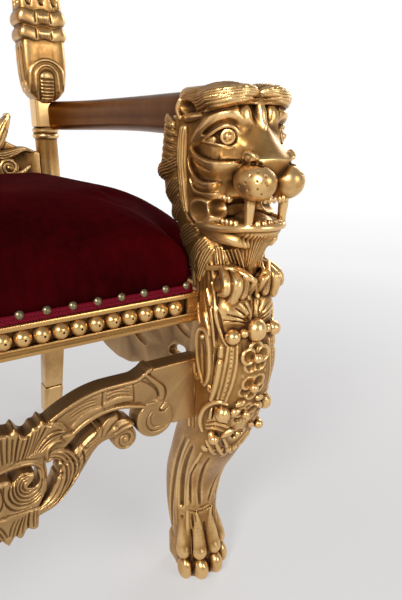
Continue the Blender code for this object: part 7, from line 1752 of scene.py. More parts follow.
def seat():
    """Upholstered seat: stretched velvet over a crowned spring seat, tacked down along the rail."""
    h = 0.0030
    z0 = RAIL_Z1 + 0.0004
    xs = np.arange(0, 104) * h
    ys = np.arange(RAIL_Y - 0.012, 0.246, h)
    zs = np.arange(z0 - 0.009, 0.618, h)
    L = resample(seat_outline(0.0), 0.004)
    X, Y = np.meshgrid(xs, ys, indexing='ij')
    sd = np.full(X.shape, 9.0)
    ins = np.zeros(X.shape, bool)
    for a, b in zip(L, np.roll(L, -1, 0)):
        e = b - a
        t = np.clip(((X - a[0]) * e[0] + (Y - a[1]) * e[1]) / max(e @ e, 1e-12), 0, 1)
        sd = np.minimum(sd, np.hypot(X - a[0] - t * e[0], Y - a[1] - t * e[1]))
        if abs(e[1]) > 1e-12:
            ins ^= ((a[1] > Y) != (b[1] > Y)) & (X < e[0] * (Y - a[1]) / e[1] + a[0])
    sd = np.where(ins, -sd, sd)
    inset = np.interp(zs, (z0, z0 + 0.009, z0 + 0.014, 0.520, 0.540, 0.556), (0.0052, 0.0050, 0.0022, 0.0008, 0.0016, 0.0040))
    wall = sd[:, :, None] + inset[None, None, :]
    roof = (zs[None, None, :] - crown(X, Y)[:, :, None] + 0.0035) * 0.75
    d = smax(wall, roof, 0.0110)
    d = smax(d, z0 - zs[None, None, :], 0.0008).astype(np.float32)
    full, lo = mirrored(d, np.array((0.0, ys[0], zs[0])), h)
    p, t, q = vdb_mesh(full, lo, h)
    p[:, 1] += OY
    ob = link("seat_cushion_cover", mesh_of("seat_cushion_cover", p, t, q))
    remeshed(ob, 0.0050)
    swollen(ob, lambda co: 1.0 - step01((co[:, 2] - (z0 + 0.0100)) / 0.014), 0.0055, pressure=4.0, stiff=16.0, bend=2.5)
    eased(ob, 8)
    co = coords(ob.data)
    # small pulls where the cover is tacked under the braid
    k = np.exp(-((co[:, 2] - (z0 + 0.0170)) / 0.0110) ** 2)
    s = np.where(np.abs(co[:, 1] - OY - RAIL_Y) < 0.03, co[:, 0] - 0.0110, co[:, 1] - OY)
    d = 0.0006 * k * (-np.cos(2 * math.pi * s / 0.0278) + 0.35 * np.cos(2 * math.pi * s / 0.0113 + 0.8))
    v = co - np.array((0.0, -0.033 + OY, 0.54))
    v[:, 2] = 0
    v /= np.maximum(np.linalg.norm(v, axis=1), 1e-6)[:, None]
    co = co + v * d[:, None]
    lim = crown(co[:, 0], co[:, 1] - OY) + 0.0012
    up = co[:, 2] > 0.575
    co[:, 2] = np.where(up, smin(co[:, 2], lim, 0.003), co[:, 2])
    co[:, 2] = np.maximum(co[:, 2], z0 - 0.0001)
    ob.data.vertices.foreach_set("co", co.astype(np.float32).reshape(-1))
    ob.data.update()
    ob.data.shade_smooth()
    co = coords(ob.data)
    co[:, 2] = np.maximum(co[:, 2], RAIL_Z1 + 0.0002)
    for i in range(len(co)):
        if co[i, 2] > 0.51:
            p = Vector(co[i])
            co[i, 2] += 0.0008 * noise.noise(p * 11.0) + 0.00025 * noise.noise(p * 60.0)
    ob.data.vertices.foreach_set("co", co.astype(np.float32).reshape(-1))
    ob.data.update()
    ob.data.shade_smooth()
    return ob


def back_cushion():
    """Padded back panel, crowned inside its frame, tufted in three rows."""
    inner = panel_outline(FRAME_W + 0.0015)
    L = resample(inner, 0.012)
    cx, cz = 0.0, 1.06
    steps = ((1.0, 0.0), (0.996, 0.006), (0.985, 0.0110), (0.955, 0.0155), (0.90, 0.0185), (0.78, 0.0208), (0.60, 0.0222), (0.36, 0.0230), (0.14, 0.0232))
    rings = []
    for f, dz in ((0.5, -0.0115), (1.0, -0.0112)) + steps:
        ring = []
        for x, z in L:
            X, Z = cx + (x - cx) * f, cz + (z - cz) * f
            y = BACK_Y - 0.0065 - (dz if f <= 1 else 0) + lean(Z)
            ring.append((X, y, Z))
        rings.append(ring)
    ob = loft("back_pad_cover", rings)
    remeshed(ob, 0.0050)
    buttons = []
    for row, z in enumerate((0.800, 0.900, 1.000, 1.100, 1.200, 1.300)):
        xs = (-0.058, 0.058) if row % 2 == 0 else (-0.116, 0.0, 0.116)
        buttons += [(x, z) for x in xs if abs(x) < back_half_width(z) - FRAME_W - 0.028]

    def hold(co):
        w = 1.0 - step01((BACK_Y + OY - 0.0090 - (co[:, 1] - np.array([lean(z) for z in co[:, 2]]))) / 0.008)
        for x, z in buttons:
            w = np.maximum(w, 1.0 - step01((np.hypot(co[:, 0] - x, co[:, 2] - z) - 0.004) / 0.005))
        return np.clip(w, 0, 1)
    swollen(ob, hold, 0.0070, pressure=4.0, stiff=14.0, bend=1.5)
    eased(ob, 6)
    co = coords(ob.data)
    front = step01((BACK_Y + OY - 0.0100 - (co[:, 1] - np.array([lean(z) for z in co[:, 2]]))) / 0.006)
    dip = np.zeros(len(co))
    for x, z in buttons:
        r = np.hypot(co[:, 0] - x, co[:, 2] - z)
        dip = np.maximum(dip, 0.0090 * np.exp(-(r / 0.015) ** 1.3))
    for i, (x, z) in enumerate(buttons):
        for X, Z in buttons[i + 1:]:
            if abs(math.hypot(X - x, Z - z) - math.hypot(0.058, 0.1)) < 0.012:
                e = np.array((X - x, Z - z))
                t = np.clip(((co[:, 0] - x) * e[0] + (co[:, 2] - z) * e[1]) / (e @ e), 0, 1)
                r = np.hypot(co[:, 0] - x - t * e[0], co[:, 2] - z - t * e[1])
                dip = np.maximum(dip, 0.0034 * np.exp(-(r / 0.0060) ** 1.4))
    co[:, 1] += dip * front
    ob.data.vertices.foreach_set("co", co.astype(np.float32).reshape(-1))
    ob.data.update()
    subdivided(ob, 1)
    obs = []
    bp, bf = nail_mesh(0.0075, 20)
    bp = bp * np.array((1.6, 1.5, 1.6))
    mats = []
    co = coords(ob.data)
    for x, z in buttons:
        near = np.hypot(co[:, 0] - x, co[:, 2] - z) < 0.006
        y = co[near, 1].min() - OY if near.any() else BACK_Y
        mats.append(np.array(placed((x, y + 0.0006, z), (0, -1))))
    return ob, scattered("back_pad_buttons", bp, bf, mats)


def back_board():
    """Velvet-backed board behind the pad, with a piped edge."""
    L = resample(panel_outline(FRAME_W - 0.0045), 0.010)
    rings = []
    for f, y in ((0.5, 0.0058), (0.995, 0.0058), (1.0, 0.0070), (1.0, 0.0100), (0.994, 0.0120), (0.975, 0.0122), (0.968, 0.0112), (0.80, 0.0120), (0.5, 0.0124), (0.2, 0.0124)):
        ring = []
        for x, z in L:
            X, Z = x * (f if f < 0.9 else 1 - (1 - f) * 1.6), 1.06 + (z - 1.06) * f
            ring.append((X, BACK_Y + y + lean(Z), Z))
        rings.append(ring)
    return loft("back_cover_cloth", rings, angle=50)


def back_relief(h):
    """Moulded and leaf-carved frame round the padded back."""
    R = Relief((0.0, 0.655), (0.1980, 1.4740), h, base=-0.004)
    out = panel_outline(0.0)
    R.plate(out, -0.0010, k=0.0005, edge=0.0020, fall=0.0030)
    half = lambda inset: [p for p in panel_outline(inset, 40) if p[0] > -0.004]

    def line(inset, w, k=2):
        q = half(inset)[::k]
        first = (-0.004, q[0][1])
        return [(first[0], first[1], w)] + [(x, z, w) for x, z in q]
    R.band(line(0.0050, 0.0034), 0.0026, low=-0.0010, mask=False, steps=2)
    R.band(line(0.0310, 0.0030), 0.0030, low=-0.0010, mask=False, steps=2)
    R.band(line(0.0262, 0.0014), 0.0008, low=-0.0010, mask=False, steps=2)
    q = np.array(half(0.0165))
    s = np.concatenate([[0], np.cumsum(np.linalg.norm(np.diff(q, axis=0), axis=1))])
    nleaf = 30
    at = lambda t: np.array((np.interp(t, s, q[:, 0]), np.interp(t, s, q[:, 1])))
    for i in range(nleaf):
        t = s[-1] * (i + 0.5) / nleaf
        a, b = at(t), at(min(t + 0.004, s[-1]))
        tg = (b - a) / max(np.linalg.norm(b - a), 1e-9)
        nm = np.array((tg[1], -tg[0]))
        for sg in (-1, 1):
            p0, p1, p2 = a - tg * 0.012, a + nm * sg * 0.0038, a + tg * 0.016 + nm * sg * 0.0072
            R.band([(p0[0], p0[1], 0.0018), (p1[0], p1[1], 0.0052), (p2[0], p2[1], 0.0022)], 0.0034, low=-0.0010, lines=2, amp=0.0004, mask=False, steps=3)
    R.cut_poly(panel_outline(FRAME_W), smooth=0)
    return R


# ---------------------------------------------------------------- arms
def arm():
    """Scrolled arm from the lion's mane to the back post: rounded, with a hollowed groove along the outer side."""
    c = np.array([(x, y, h, w) for (x, y), h, w in zip(ARM, ARM_H, ARM_W)])
    zc = catmull(np.array([(z, 0.0, 0.0, 0.0) for z in ARM_Z]), 8)[:, 0]
    p = catmull(c, 8)
    rings = []
    for i in range(len(p)):
        a = p[max(i - 1, 0), :2]
        b = p[min(i + 1, len(p) - 1), :2]
        t = (b - a) / np.linalg.norm(b - a)
        nx = np.array((t[1], -t[0]))
        x, y, hh, w = p[i]
        n = 64
        ring = []
        for k in range(n):
            an = 2 * math.pi * (k + 0.5) / n
            ca, sa = math.cos(an), math.sin(an)
            u = math.copysign(abs(ca) ** (2 / 3.2), ca)
            v = math.copysign(abs(sa) ** (2 / 3.0), sa)
            r = 1.0
            zz = zc[i] + hh * v
            # beaded edge on the lower corners, soft cove on the sides
            if abs(u) > 0.80:
                r = 1.0 - 0.050 * math.exp(-((v + 0.10) / 0.26) ** 2) + 0.030 * math.exp(-((v + 0.62) / 0.10) ** 2)
            q = np.array((x, y)) + nx * w * u * r
            ring.append((q[0], q[1], zz))
        rings.append(ring)
    return loft("arm", rings, angle=60)


def dents(ob, scale=0.0010, rounds=6):
    """For turned pieces: the same hollow measure as hollows(), from the mesh itself; the gold finishes turn it into
    painted shade in grooves and painted highlight on ridges.
    """
    co = coords(ob.data)
    n = len(co)
    e = np.empty(len(ob.data.edges) * 2, np.int32)
    ob.data.edges.foreach_get("vertices", e)
    e = e.reshape(-1, 2)
    deg = np.maximum(np.bincount(e.reshape(-1), minlength=n), 1).astype(float)
    q = co.copy()
    L = np.linalg.norm(co[e[:, 0]] - co[e[:, 1]], axis=1)
    w = 1.0 / np.maximum(L, 2e-4)
    sw = np.maximum(np.bincount(e[:, 0], w, n) + np.bincount(e[:, 1], w, n), 1e-9)
    for r in range(rounds):
        acc = np.zeros_like(q)
        for k in range(3):
            acc[:, k] = np.bincount(e[:, 0], w * q[e[:, 1], k], n) + np.bincount(e[:, 1], w * q[e[:, 0], k], n)
        q = 0.5 * q + 0.5 * acc / sw[:, None]
    nr = np.empty(n * 3, np.float32)
    ob.data.vertices.foreach_get("normal", nr)
    nr = nr.reshape(-1, 3)
    val = np.clip(0.5 + ((q - co) * nr).sum(1) / scale * 0.25, 0.2, 0.95)
    a = ob.data.attributes.get("cav") or ob.data.attributes.new("cav", 'FLOAT', 'POINT')
    a.data.foreach_set("value", val.astype(np.float32))
    return ob
# ---------------------------------------------------------------- materials
class Mat:
    """Small helper to wire a node material."""

    def __init__(self, name):
        self.m = bpy.data.materials.new(name)
        self.m.use_nodes = True
        self.t = self.m.node_tree
        self.b = self.t.nodes["Principled BSDF"]
        self.co = self.t.nodes.new("ShaderNodeTexCoord").outputs["Object"]

    def new(self, kind, **kw):
        n = self.t.nodes.new(kind)
        for k, v in kw.items():
            setattr(n, k, v)
        return n

    def link(self, a, b):
        self.t.links.new(a, b)

    def noise(self, scale, detail=3.0, rough=0.55, stretch=None, distort=0.0):
        n = self.new("ShaderNodeTexNoise")
        n.inputs["Scale"].default_value = scale
        n.inputs["Detail"].default_value = detail
        n.inputs["Roughness"].default_value = rough
        n.inputs["Distortion"].default_value = distort
        if stretch:
            mp = self.new("ShaderNodeMapping")
            mp.inputs["Scale"].default_value = stretch
            self.link(self.co, mp.inputs["Vector"])
            self.link(mp.outputs["Vector"], n.inputs["Vector"])
        else:
            self.link(self.co, n.inputs["Vector"])
        return n.outputs["Fac"]

    def ramp(self, fac, stops):
        r = self.new("ShaderNodeValToRGB")
        e = r.color_ramp.elements
        e[0].position, e[0].color = stops[0][0], (*stops[0][1], 1)
        e[1].position, e[1].color = stops[-1][0], (*stops[-1][1], 1)
        for p, c in stops[1:-1]:
            q = e.new(p)
            q.color = (*c, 1)
        self.link(fac, r.inputs["Fac"])
        return r.outputs["Color"]

    def remap(self, fac, a, b, c, d):
        n = self.new("ShaderNodeMapRange")
        for k, v in zip(("From Min", "From Max", "To Min", "To Max"), (a, b, c, d)):
            n.inputs[k].default_value = v
        self.link(fac, n.inputs["Value"])
        return n.outputs["Result"]

    def mix(self, fac, a, b, mode='MIX'):
        n = self.new("ShaderNodeMix", data_type='RGBA', blend_type=mode)
        if isinstance(fac, float):
            n.inputs["Factor"].default_value = fac
        else:
            self.link(fac, n.inputs["Factor"])
        for s, v in (("A", a), ("B", b)):
            sock = [i for i in n.inputs if i.name == s and i.type == 'RGBA'][0]
            if isinstance(v, tuple):
                sock.default_value = (*v, 1)
            else:
                self.link(v, sock)
        return [o for o in n.outputs if o.type == 'RGBA'][0]

    def math(self, op, a, b):
        n = self.new("ShaderNodeMath", operation=op)
        for i, v in enumerate((a, b)):
            if isinstance(v, (int, float)):
                n.inputs[i].default_value = v
            else:
                self.link(v, n.inputs[i])
        return n.outputs[0]

    def bump(self, height, dist, strength=1.0, after=None):
        n = self.new("ShaderNodeBump")
        n.inputs["Distance"].default_value = dist
        n.inputs["Strength"].default_value = strength
        self.link(height, n.inputs["Height"])
        if after is not None:
            self.link(after, n.inputs["Normal"])
        return n.outputs["Normal"]

    def attr(self, name):
        n = self.new("ShaderNodeAttribute")
        n.attribute_name = name
        return n.outputs["Fac"]


def gold(name, light=(0.640, 0.385, 0.140), mid=(0.500, 0.275, 0.082), dark=(0.110, 0.046, 0.013), lo=0.40, hi=0.70, rough=(0.27, 0.40), cav=True, metal=0.92):
    """Antiqued gilding: satin gold leaf paint on the high parts, lightest on raised edges, which is partly painted
    highlight; brown glaze in the hollows, darkened further as painted shade.
    """
    m = Mat(name)
    patch = m.noise(26.0, 4.0, 0.6)
    fine = m.noise(240.0, 3.0, 0.6)
    if cav:
        # colour by cav and random patches: painted highlight on raised edges and painted shade in the hollows, over the
        # real glaze
        c = m.math('ADD', m.attr("cav"), m.math('MULTIPLY', m.math('SUBTRACT', patch, 0.5), 0.10))
        c = m.math('ADD', c, m.math('MULTIPLY', m.math('SUBTRACT', fine, 0.5), 0.05))
        col = m.ramp(c, ((lo, light), (0.5 * (lo + hi) - 0.03, mid), (hi, dark)))
        r = m.remap(c, lo, hi, rough[0], rough[1] + 0.10)
    else:
        c = patch
        col = m.ramp(patch, ((0.30, mid), (0.70, light)))
        r = m.remap(patch, 0.3, 0.7, rough[1], rough[0])
    tone = m.ramp(m.noise(7.0, 2.0, 0.5), ((0.35, (0.90, 0.88, 0.84)), (0.65, (1.0, 1.0, 1.0))))
    col = m.mix(1.0, col, tone, 'MULTIPLY')
    m.link(col, m.b.inputs["Base Color"])
    m.link(m.math('ADD', r, m.math('MULTIPLY', m.math('SUBTRACT', fine, 0.5), 0.10)), m.b.inputs["Roughness"])
    m.b.inputs["Metallic"].default_value = metal
    n1 = m.bump(m.noise(70.0, 3.0, 0.55), 0.00045, 0.45)
    n2 = m.bump(fine, 0.00010, 0.4, n1)
    m.link(n2, m.b.inputs["Normal"])
    return m.m


def velvet(name, deep=(0.0190, 0.0002, 0.0006), nap=(0.0480, 0.0004, 0.0015), tint=(0.62, 0.008, 0.02), sheen=0.04):
    """Cut-pile velvet: short upright pile, brushed into slightly lighter and darker patches."""
    m = Mat(name)
    brushed = m.noise(9.0, 4.0, 0.6, distort=0.4)
    pile = m.noise(1500.0, 2.0, 0.7)
    streak = m.noise(130.0, 3.0, 0.6, stretch=(1.0, 1.0, 0.25))
    f = m.math('ADD', m.math('MULTIPLY', brushed, 0.70), m.math('MULTIPLY', streak, 0.30))
    col = m.ramp(f, ((0.36, deep), (0.64, nap)))
    grain = m.ramp(pile, ((0.30, (0.74, 0.70, 0.72)), (0.70, (1.0, 1.0, 1.0))))
    m.link(m.mix(1.0, col, grain, 'MULTIPLY'), m.b.inputs["Base Color"])
    m.link(m.remap(f, 0.3, 0.7, 0.94, 0.80), m.b.inputs["Roughness"])
    m.b.inputs["Sheen Weight"].default_value = sheen
    m.b.inputs["Sheen Roughness"].default_value = 0.42
    m.b.inputs["Sheen Tint"].default_value = (*tint, 1)
    m.b.inputs["Specular IOR Level"].default_value = 0.02
    n1 = m.bump(pile, 0.00030, 0.5)
    n2 = m.bump(m.noise(45.0, 3.0, 0.6), 0.0006, 0.35, n1)
    m.link(n2, m.b.inputs["Normal"])
    return m.m


def braid_cloth(name):
    """Crimson woven gimp: slanting corded threads."""
    m = Mat(name)
    w = m.new("ShaderNodeTexWave", wave_type='BANDS', bands_direction='DIAGONAL')
    w.inputs["Scale"].default_value = 210.0
    w.inputs["Distortion"].default_value = 1.2
    w.inputs["Detail"].default_value = 1.0
    m.link(m.co, w.inputs["Vector"])
    th = w.outputs["Fac"]
    f = m.math('ADD', m.math('MULTIPLY', th, 0.6), m.math('MULTIPLY', m.noise(420.0, 2.0, 0.6), 0.4))
    m.link(m.ramp(f, ((0.25, (0.045, 0.0005, 0.0035)), (0.75, (0.190, 0.0020, 0.0130)))), m.b.inputs["Base Color"])
    m.link(m.remap(f, 0.2, 0.8, 0.80, 0.52), m.b.inputs["Roughness"])
    m.b.inputs["Sheen Weight"].default_value = 0.02
    m.b.inputs["Specular IOR Level"].default_value = 0.10
    m.b.inputs["Sheen Tint"].default_value = (1.0, 0.10, 0.20, 1)
    m.link(m.bump(f, 0.0004, 0.7), m.b.inputs["Normal"])
    return m.m


def backing(name):
    """Plain woven burgundy cloth on the back of the chair."""
    m = Mat(name)
    a = m.new("ShaderNodeTexWave", wave_type='BANDS', bands_direction='X')
    b = m.new("ShaderNodeTexWave", wave_type='BANDS', bands_direction='Z')
    for w in (a, b):
        w.inputs["Scale"].default_value = 260.0
        w.inputs["Distortion"].default_value = 0.6
        m.link(m.co, w.inputs["Vector"])
    f = m.math('MAXIMUM', a.outputs["Fac"], b.outputs["Fac"])
    g = m.math('ADD', m.math('MULTIPLY', f, 0.5), m.math('MULTIPLY', m.noise(20.0, 4.0, 0.6), 0.5))
    m.link(m.ramp(g, ((0.30, (0.028, 0.001, 0.004)), (0.75, (0.085, 0.004, 0.012)))), m.b.inputs["Base Color"])
    m.link(m.remap(g, 0.3, 0.8, 0.92, 0.74), m.b.inputs["Roughness"])
    m.b.inputs["Sheen Weight"].default_value = 0.2
    m.b.inputs["Sheen Tint"].default_value = (0.7, 0.2, 0.25, 1)
    m.link(m.bump(f, 0.0003, 0.5), m.b.inputs["Normal"])
    return m.m


def floor_finish(name):
    """Pale studio floor that runs off to white: it glows, painted light that grows with distance and thins the chair's
    shadows on it, while its own colour greys off with distance.
    """
    m = Mat(name)
    ln = m.new("ShaderNodeVectorMath", operation='LENGTH')
    m.link(m.co, ln.inputs[0])
    d = m.math('DIVIDE', ln.outputs["Value"], 8.0)
    grain = m.noise(900.0, 2.0, 0.6)
    col = m.ramp(m.math('ADD', d, m.math('MULTIPLY', m.math('SUBTRACT', grain, 0.5), 0.002)), FLOOR_STOPS)
    # the floor's glow: painted light, brighter further out
    m.link(col, m.b.inputs["Emission Color"])
    m.b.inputs["Emission Strength"].default_value = 1.0
    m.link(m.ramp(d, ((0.0, (FLOOR_ALB,) * 3), (0.6, (FLOOR_ALB * 0.6,) * 3))), m.b.inputs["Base Color"])
    m.b.inputs["Roughness"].default_value = 0.85
    m.b.inputs["Specular IOR Level"].default_value = 0.1
    return m.m


FLOOR_ALB = 0.24
# glow colour of the floor by distance / 8: painted light
FLOOR_STOPS = ((0.0, (0.46, 0.45, 0.445)), (0.09, (0.47, 0.46, 0.455)), (0.11, (0.486, 0.475, 0.47)), (0.14, (0.511, 0.50, 0.495)), (0.184, (0.56, 0.55, 0.545)), (0.256, (0.654, 0.645, 0.645)),
               (0.32, (0.788, 0.785, 0.785)), (0.40, (0.861, 0.86, 0.86)), (0.47, (0.89, 0.89, 0.89)), (0.55, (0.93, 0.93, 0.93)), (0.75, (1.0, 1.0, 1.0)))
# ---------------------------------------------------------------- the pieces
def done(ob, name, material, *nodes, slot="gilded_wood"):
    ob.name = name
    ob.data.name = name
    ob.data.materials.clear()
    ob.data.materials.append(material)
    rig.ride(ob, "root")
    if nodes:
        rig.replaces(ob, *nodes)
    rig.slot(ob, slot)
    return ob


def side_of(base, x):
    """Name of the left or right copy of a CAD node on the side of x."""
    for s in ("left", "right"):
        lo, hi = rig.box(base + "_" + s)
        if (lo.x + hi.x) * x > 0:
            return base + "_" + s
    raise ValueError(base)


GOLD = gold("carved_gold", light=(0.850, 0.550, 0.240), mid=(0.430, 0.222, 0.066), dark=(0.065, 0.026, 0.008), rough=(0.31, 0.44), lo=0.41, hi=0.64)
GOLD_FLAT = gold("fretwork_gold", light=(0.500, 0.305, 0.130), mid=(0.345, 0.200, 0.080), dark=(0.080, 0.036, 0.012), lo=0.42, hi=0.72, rough=(0.40, 0.52))
GOLD_RAIL = gold("rail_gold", light=(0.560, 0.320, 0.112), mid=(0.420, 0.225, 0.070), rough=(0.28, 0.40), lo=0.42, hi=0.74)
GOLD_ARM = gold("arm_gold", light=(0.245, 0.094, 0.014), mid=(0.165, 0.058, 0.009), dark=(0.055, 0.022, 0.006), rough=(0.30, 0.44), lo=0.42, hi=0.72, metal=1.0)
GOLD_BEAD = gold("bead_gold", light=(0.720, 0.460, 0.185), mid=(0.620, 0.370, 0.130), dark=(0.060, 0.024, 0.007), rough=(0.30, 0.38), lo=0.46, hi=0.80)
VELVET = velvet("burgundy_velvet_pile")
VELVET_BACK = velvet("back_velvet_pile", deep=(0.0195, 0.0002, 0.0007), nap=(0.0480, 0.0004, 0.0016))
GIMP = braid_cloth("crimson_braid")
CLOTH = backing("burgundy_back_cloth")
BRASS = gold("antique_nail_brass", light=(0.300, 0.255, 0.150), mid=(0.190, 0.158, 0.088), dark=(0.040, 0.034, 0.020), rough=(0.30, 0.46), lo=0.40, hi=0.70, metal=0.85)

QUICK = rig.quick()

# front posts: the two lions
LION_H = 0.0014 if QUICK else 0.0009
v = lion_volume(LION_H)
full = np.concatenate([v.d[:0:-1], v.d], 0)
lo3 = np.array((-(v.n[0] - 1) * LION_H, v.lo[1], v.lo[2]))
p3, t3, q3 = vdb_mesh(full, lo3, LION_H)
lion = link("lion", mesh_of("lion", p3, t3, q3))
thin_out(lion, 118000)
hollows(lion, v.d, np.array(v.lo), LION_H, fold=0.0)
shade_from(lion, full, lo3, LION_H)
co3 = coords(lion.data) + np.array((LION_X, OY, 0.0))
lion.data.vertices.foreach_set("co", co3.astype(np.float32).reshape(-1))
lion.data.update()
del full, v
lion2 = shifted(lion, "lion2", -2 * LION_X)
done(lion, "lion_carving_a", GOLD, side_of("lion_post", 1))
done(lion2, "lion_carving_b", GOLD, side_of("lion_post", -1))

# carved boards
BH = 1.5 if QUICK else 1.0
ob = carved("apron", apron_relief(0.0009 * BH), -0.2980, 0.0235, 90000)
done(ob, "front_apron_fretwork", GOLD_FLAT, "front_apron")


def stand_side(s):
    """Turn a drawn board so that it stands along the side of the chair, its face outwards."""
    def move(co):
        # the board is drawn with x along the length and its face towards -y
        along, out, z = co[:, 0], -co[:, 1], co[:, 2]
        y = -0.0127 + along
        x = s * (np.array([rail_line(t) for t in y]) + out)
        return np.stack([x, y, z], -1)
    return move


side = carved("side", side_relief(0.0011 * BH), -0.0090, 0.0172, 28000, turn=stand_side(1))
side2 = flipped(side, "side2")
done(side, "side_apron_fretwork_a", GOLD_FLAT, side_of("side_apron", 1))
done(side2, "side_apron_fretwork_b", GOLD_FLAT, side_of("side_apron", -1))

ob = carved("lower", lower_relief(0.0011 * BH), BACK_Y - 0.004 - 0.0125, 0.0250, 28000)
done(ob, "back_lower_rail_carving", GOLD, "back_lower_rail")
ob = carved("crest", crest_relief(0.0013 * BH), BACK_Y - 0.004 - 0.0090, 0.0235, 50000, lean_at=lambda z: lean(1.5) + 0.0 * z)
done(ob, "crest_carving", GOLD, "crest")
ob = carved("frame", back_relief(0.0012 * BH), BACK_Y - 0.0180, 0.0310, 44000, lean_at=lean)
done(ob, "back_frame_carving", GOLD, "back_frame")

# rails, with their bead channels
front = rail("rail_f", lambda t: (t, RAIL_Y + RAIL_T), (-0.2480, 0.2480), (-0.2330, 0.2330), (0.0, -1.0))
done(dents(front, 0.0016, 3), "seat_rail_front_moulding", GOLD_RAIL, "seat_rail_front")
rear = rail("rail_b", lambda t: (t, 0.2360), (-0.2200, 0.2200), (0, 0), (0.0, 1.0))
done(dents(rear, 0.0016, 3), "seat_rail_rear_moulding", GOLD_RAIL, "seat_rail_rear")
sx = lambda y: rail_line(y) - RAIL_T / 2
nrm_side = np.array((0.498, 0.035)) / math.hypot(0.498, 0.035)
sr = rail("rail_s", lambda t: (sx(t), t), (-0.2640, 0.2350), (-0.2470, 0.2230), nrm_side)
dents(sr, 0.0016, 3)
sr2 = flipped(sr, "rail_s2")
done(sr, "seat_rail_side_moulding_a", GOLD_RAIL, side_of("seat_rail", 1))
done(sr2, "seat_rail_side_moulding_b", GOLD_RAIL, side_of("seat_rail", -1))

# turned beads in the channels
bp, bf = bead_mesh()
yb = RAIL_Y + CH_D - 0.0035
mats = [placed((0.2172 - 0.01975 * k, yb, BEAD_Z), (0.10, -1)) for k in range(23)]
for s in (1, -1):
    y = -0.2340
    while y < 0.2140:
        x = rail_line(y) + RAIL_T / 2 * 1.0 - CH_D + 0.0035
        mats.append(placed((s * x, y, BEAD_Z), (s * nrm_side[0], nrm_side[1])))
        y += 0.0196
beads = scattered("beads", bp, bf, mats, angle=50)
dents(beads, 0.0010, 2)
# the thread hole of each bead gets the darkest value, painted shade inside the hole; the rest of each bead gets one
# light value
a = beads.data.attributes["cav"]
val = np.empty(len(beads.data.vertices), np.float32)
a.data.foreach_get("value", val)
val = np.tile(np.where(np.hypot(bp[:, 0], bp[:, 2]) < 0.0012, 0.95, 0.45).astype(np.float32), len(mats))[:len(val)]
a.data.foreach_set("value", val)
done(beads, "rail_beads", GOLD_BEAD)

# nails in the braid
np_, nf = nail_mesh(0.0052)
gz = RAIL_Z1 + 0.0090
mats = []
for k in range(9):
    for s in (1, -1):
        mats.append(placed((s * (0.2334 - 0.0278 * k), RAIL_Y + 0.0030, gz), (0, -1)))
for s in (1, -1):
    y = -0.2100
    while y < 0.2150:
        x = 0.2950 + (0.2590 - 0.2950) * (y + 0.2260) / (0.220 + 0.226)
        mats.append(placed((s * (x + 0.0002), y, gz), (s * 0.997, 0.08)))
        y += 0.0280
nails = scattered("nails", np_, nf, mats, angle=50)
dents(nails, 0.0010, 2)
done(nails, "braid_nails", BRASS, slot="antique_nails")

# braid
gimp = braid("gimp", seat_outline(0.0), RAIL_Z1 + 0.0002, RAIL_Z1 + 0.0096, 0.0004)
done(gimp, "seat_braid", GIMP, "seat_gimp", slot="crimson_gimp")

# arms
ar = arm()
dents(ar, 0.0016, 4)
ar2 = flipped(ar, "arm2")
done(ar, "arm_carving_a", GOLD_ARM, side_of("arm", 1), slot="gilded_arm")
done(ar2, "arm_carving_b", GOLD_ARM, side_of("arm", -1), slot="gilded_arm")

# rear posts: turned and squared shaft with the carved console over the arm
parts = [post_shaft("shaft_low", 0.0, 0.745), post_shaft("shaft_top", 0.955, 1.60)]
for q in parts:
    dents(q, 0.0014, 4)
cv = console_volume(0.0012 * BH)
cons = volume_piece("console", cv, 38000, (REAR_X, OY + REAR_Y, 0.0))
ccz = coords(cons.data)
ccz[:, 0] = REAR_X + (ccz[:, 0] - REAR_X) * 1.11
ccz[:, 1] = OY + REAR_Y - 0.0090 + (ccz[:, 1] - OY - REAR_Y) * 0.78
ccz[:, 1] += np.array([lean(z) for z in ccz[:, 2]])
cons.data.vertices.foreach_set("co", ccz.astype(np.float32).reshape(-1))
post = joined("rear_post", parts)
post2 = flipped(post, "rear_post2")
cons2 = shifted(cons, "console2", -2 * REAR_X)
done(post, "rear_post_turning_a", GOLD, side_of("rear_post", 1))
done(post2, "rear_post_turning_b", GOLD, side_of("rear_post", -1))
done(cons, "rear_post_console_a", GOLD)
done(cons2, "rear_post_console_b", GOLD)

# upholstery
cush = seat()
done(cush, "seat_velvet", VELVET, "seat_cushion", slot="burgundy_velvet")
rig.padded(cush, fill=0.85)
pad, tufts = back_cushion()
done(pad, "back_velvet", VELVET_BACK, "back_pad", slot="burgundy_velvet")
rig.padded(pad, fill=0.7)
done(tufts, "back_velvet_buttons", VELVET_BACK, slot="burgundy_velvet")
board = back_board()
done(board, "back_cloth_board", CLOTH, "back_cover", slot="burgundy_backing")


# ---------------------------------------------------------------- stage, light, camera
def make_floor():
    n, rings = 96, (0.0, 0.5, 1.0, 1.6, 2.4, 4.0, 8.0, 16.0, 40.0)
    pts, faces = [(0.0, 0.0, 0.0)], []
    for r in rings[1:]:
        for i in range(n):
            a = 2 * math.pi * i / n
            pts.append((r * math.cos(a), r * math.sin(a), 0.0))
    faces += [(0, 1 + i, 1 + (i + 1) % n) for i in range(n)]
    for k in range(len(rings) - 2):
        for i in range(n):
            j = (i + 1) % n
            faces.append((1 + k * n + i, 1 + (k + 1) * n + i, 1 + (k + 1) * n + j, 1 + k * n + j))
    me = bpy.data.meshes.new("studio_floor")
    me.from_pydata(pts, [], faces)
    return link("studio_floor", me)


floor = make_floor()
floor.location = (-0.05, -0.62, -0.0006)
floor.data.materials.append(floor_finish("studio_floor_paint"))
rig.stage(floor)


def area(name, loc, target, size, energy, colour=(1, 1, 1)):
    d = bpy.data.lights.new(name, 'AREA')
    d.shape = 'DISK'
    d.size = size
    d.energy = energy
    d.color = colour
    o = bpy.data.objects.new(name, d)
    o.location = loc
    v = Vector(target) - Vector(loc)
    o.rotation_euler = v.to_track_quat('-Z', 'Y').to_euler()
    bpy.context.scene.collection.objects.link(o)
    return o


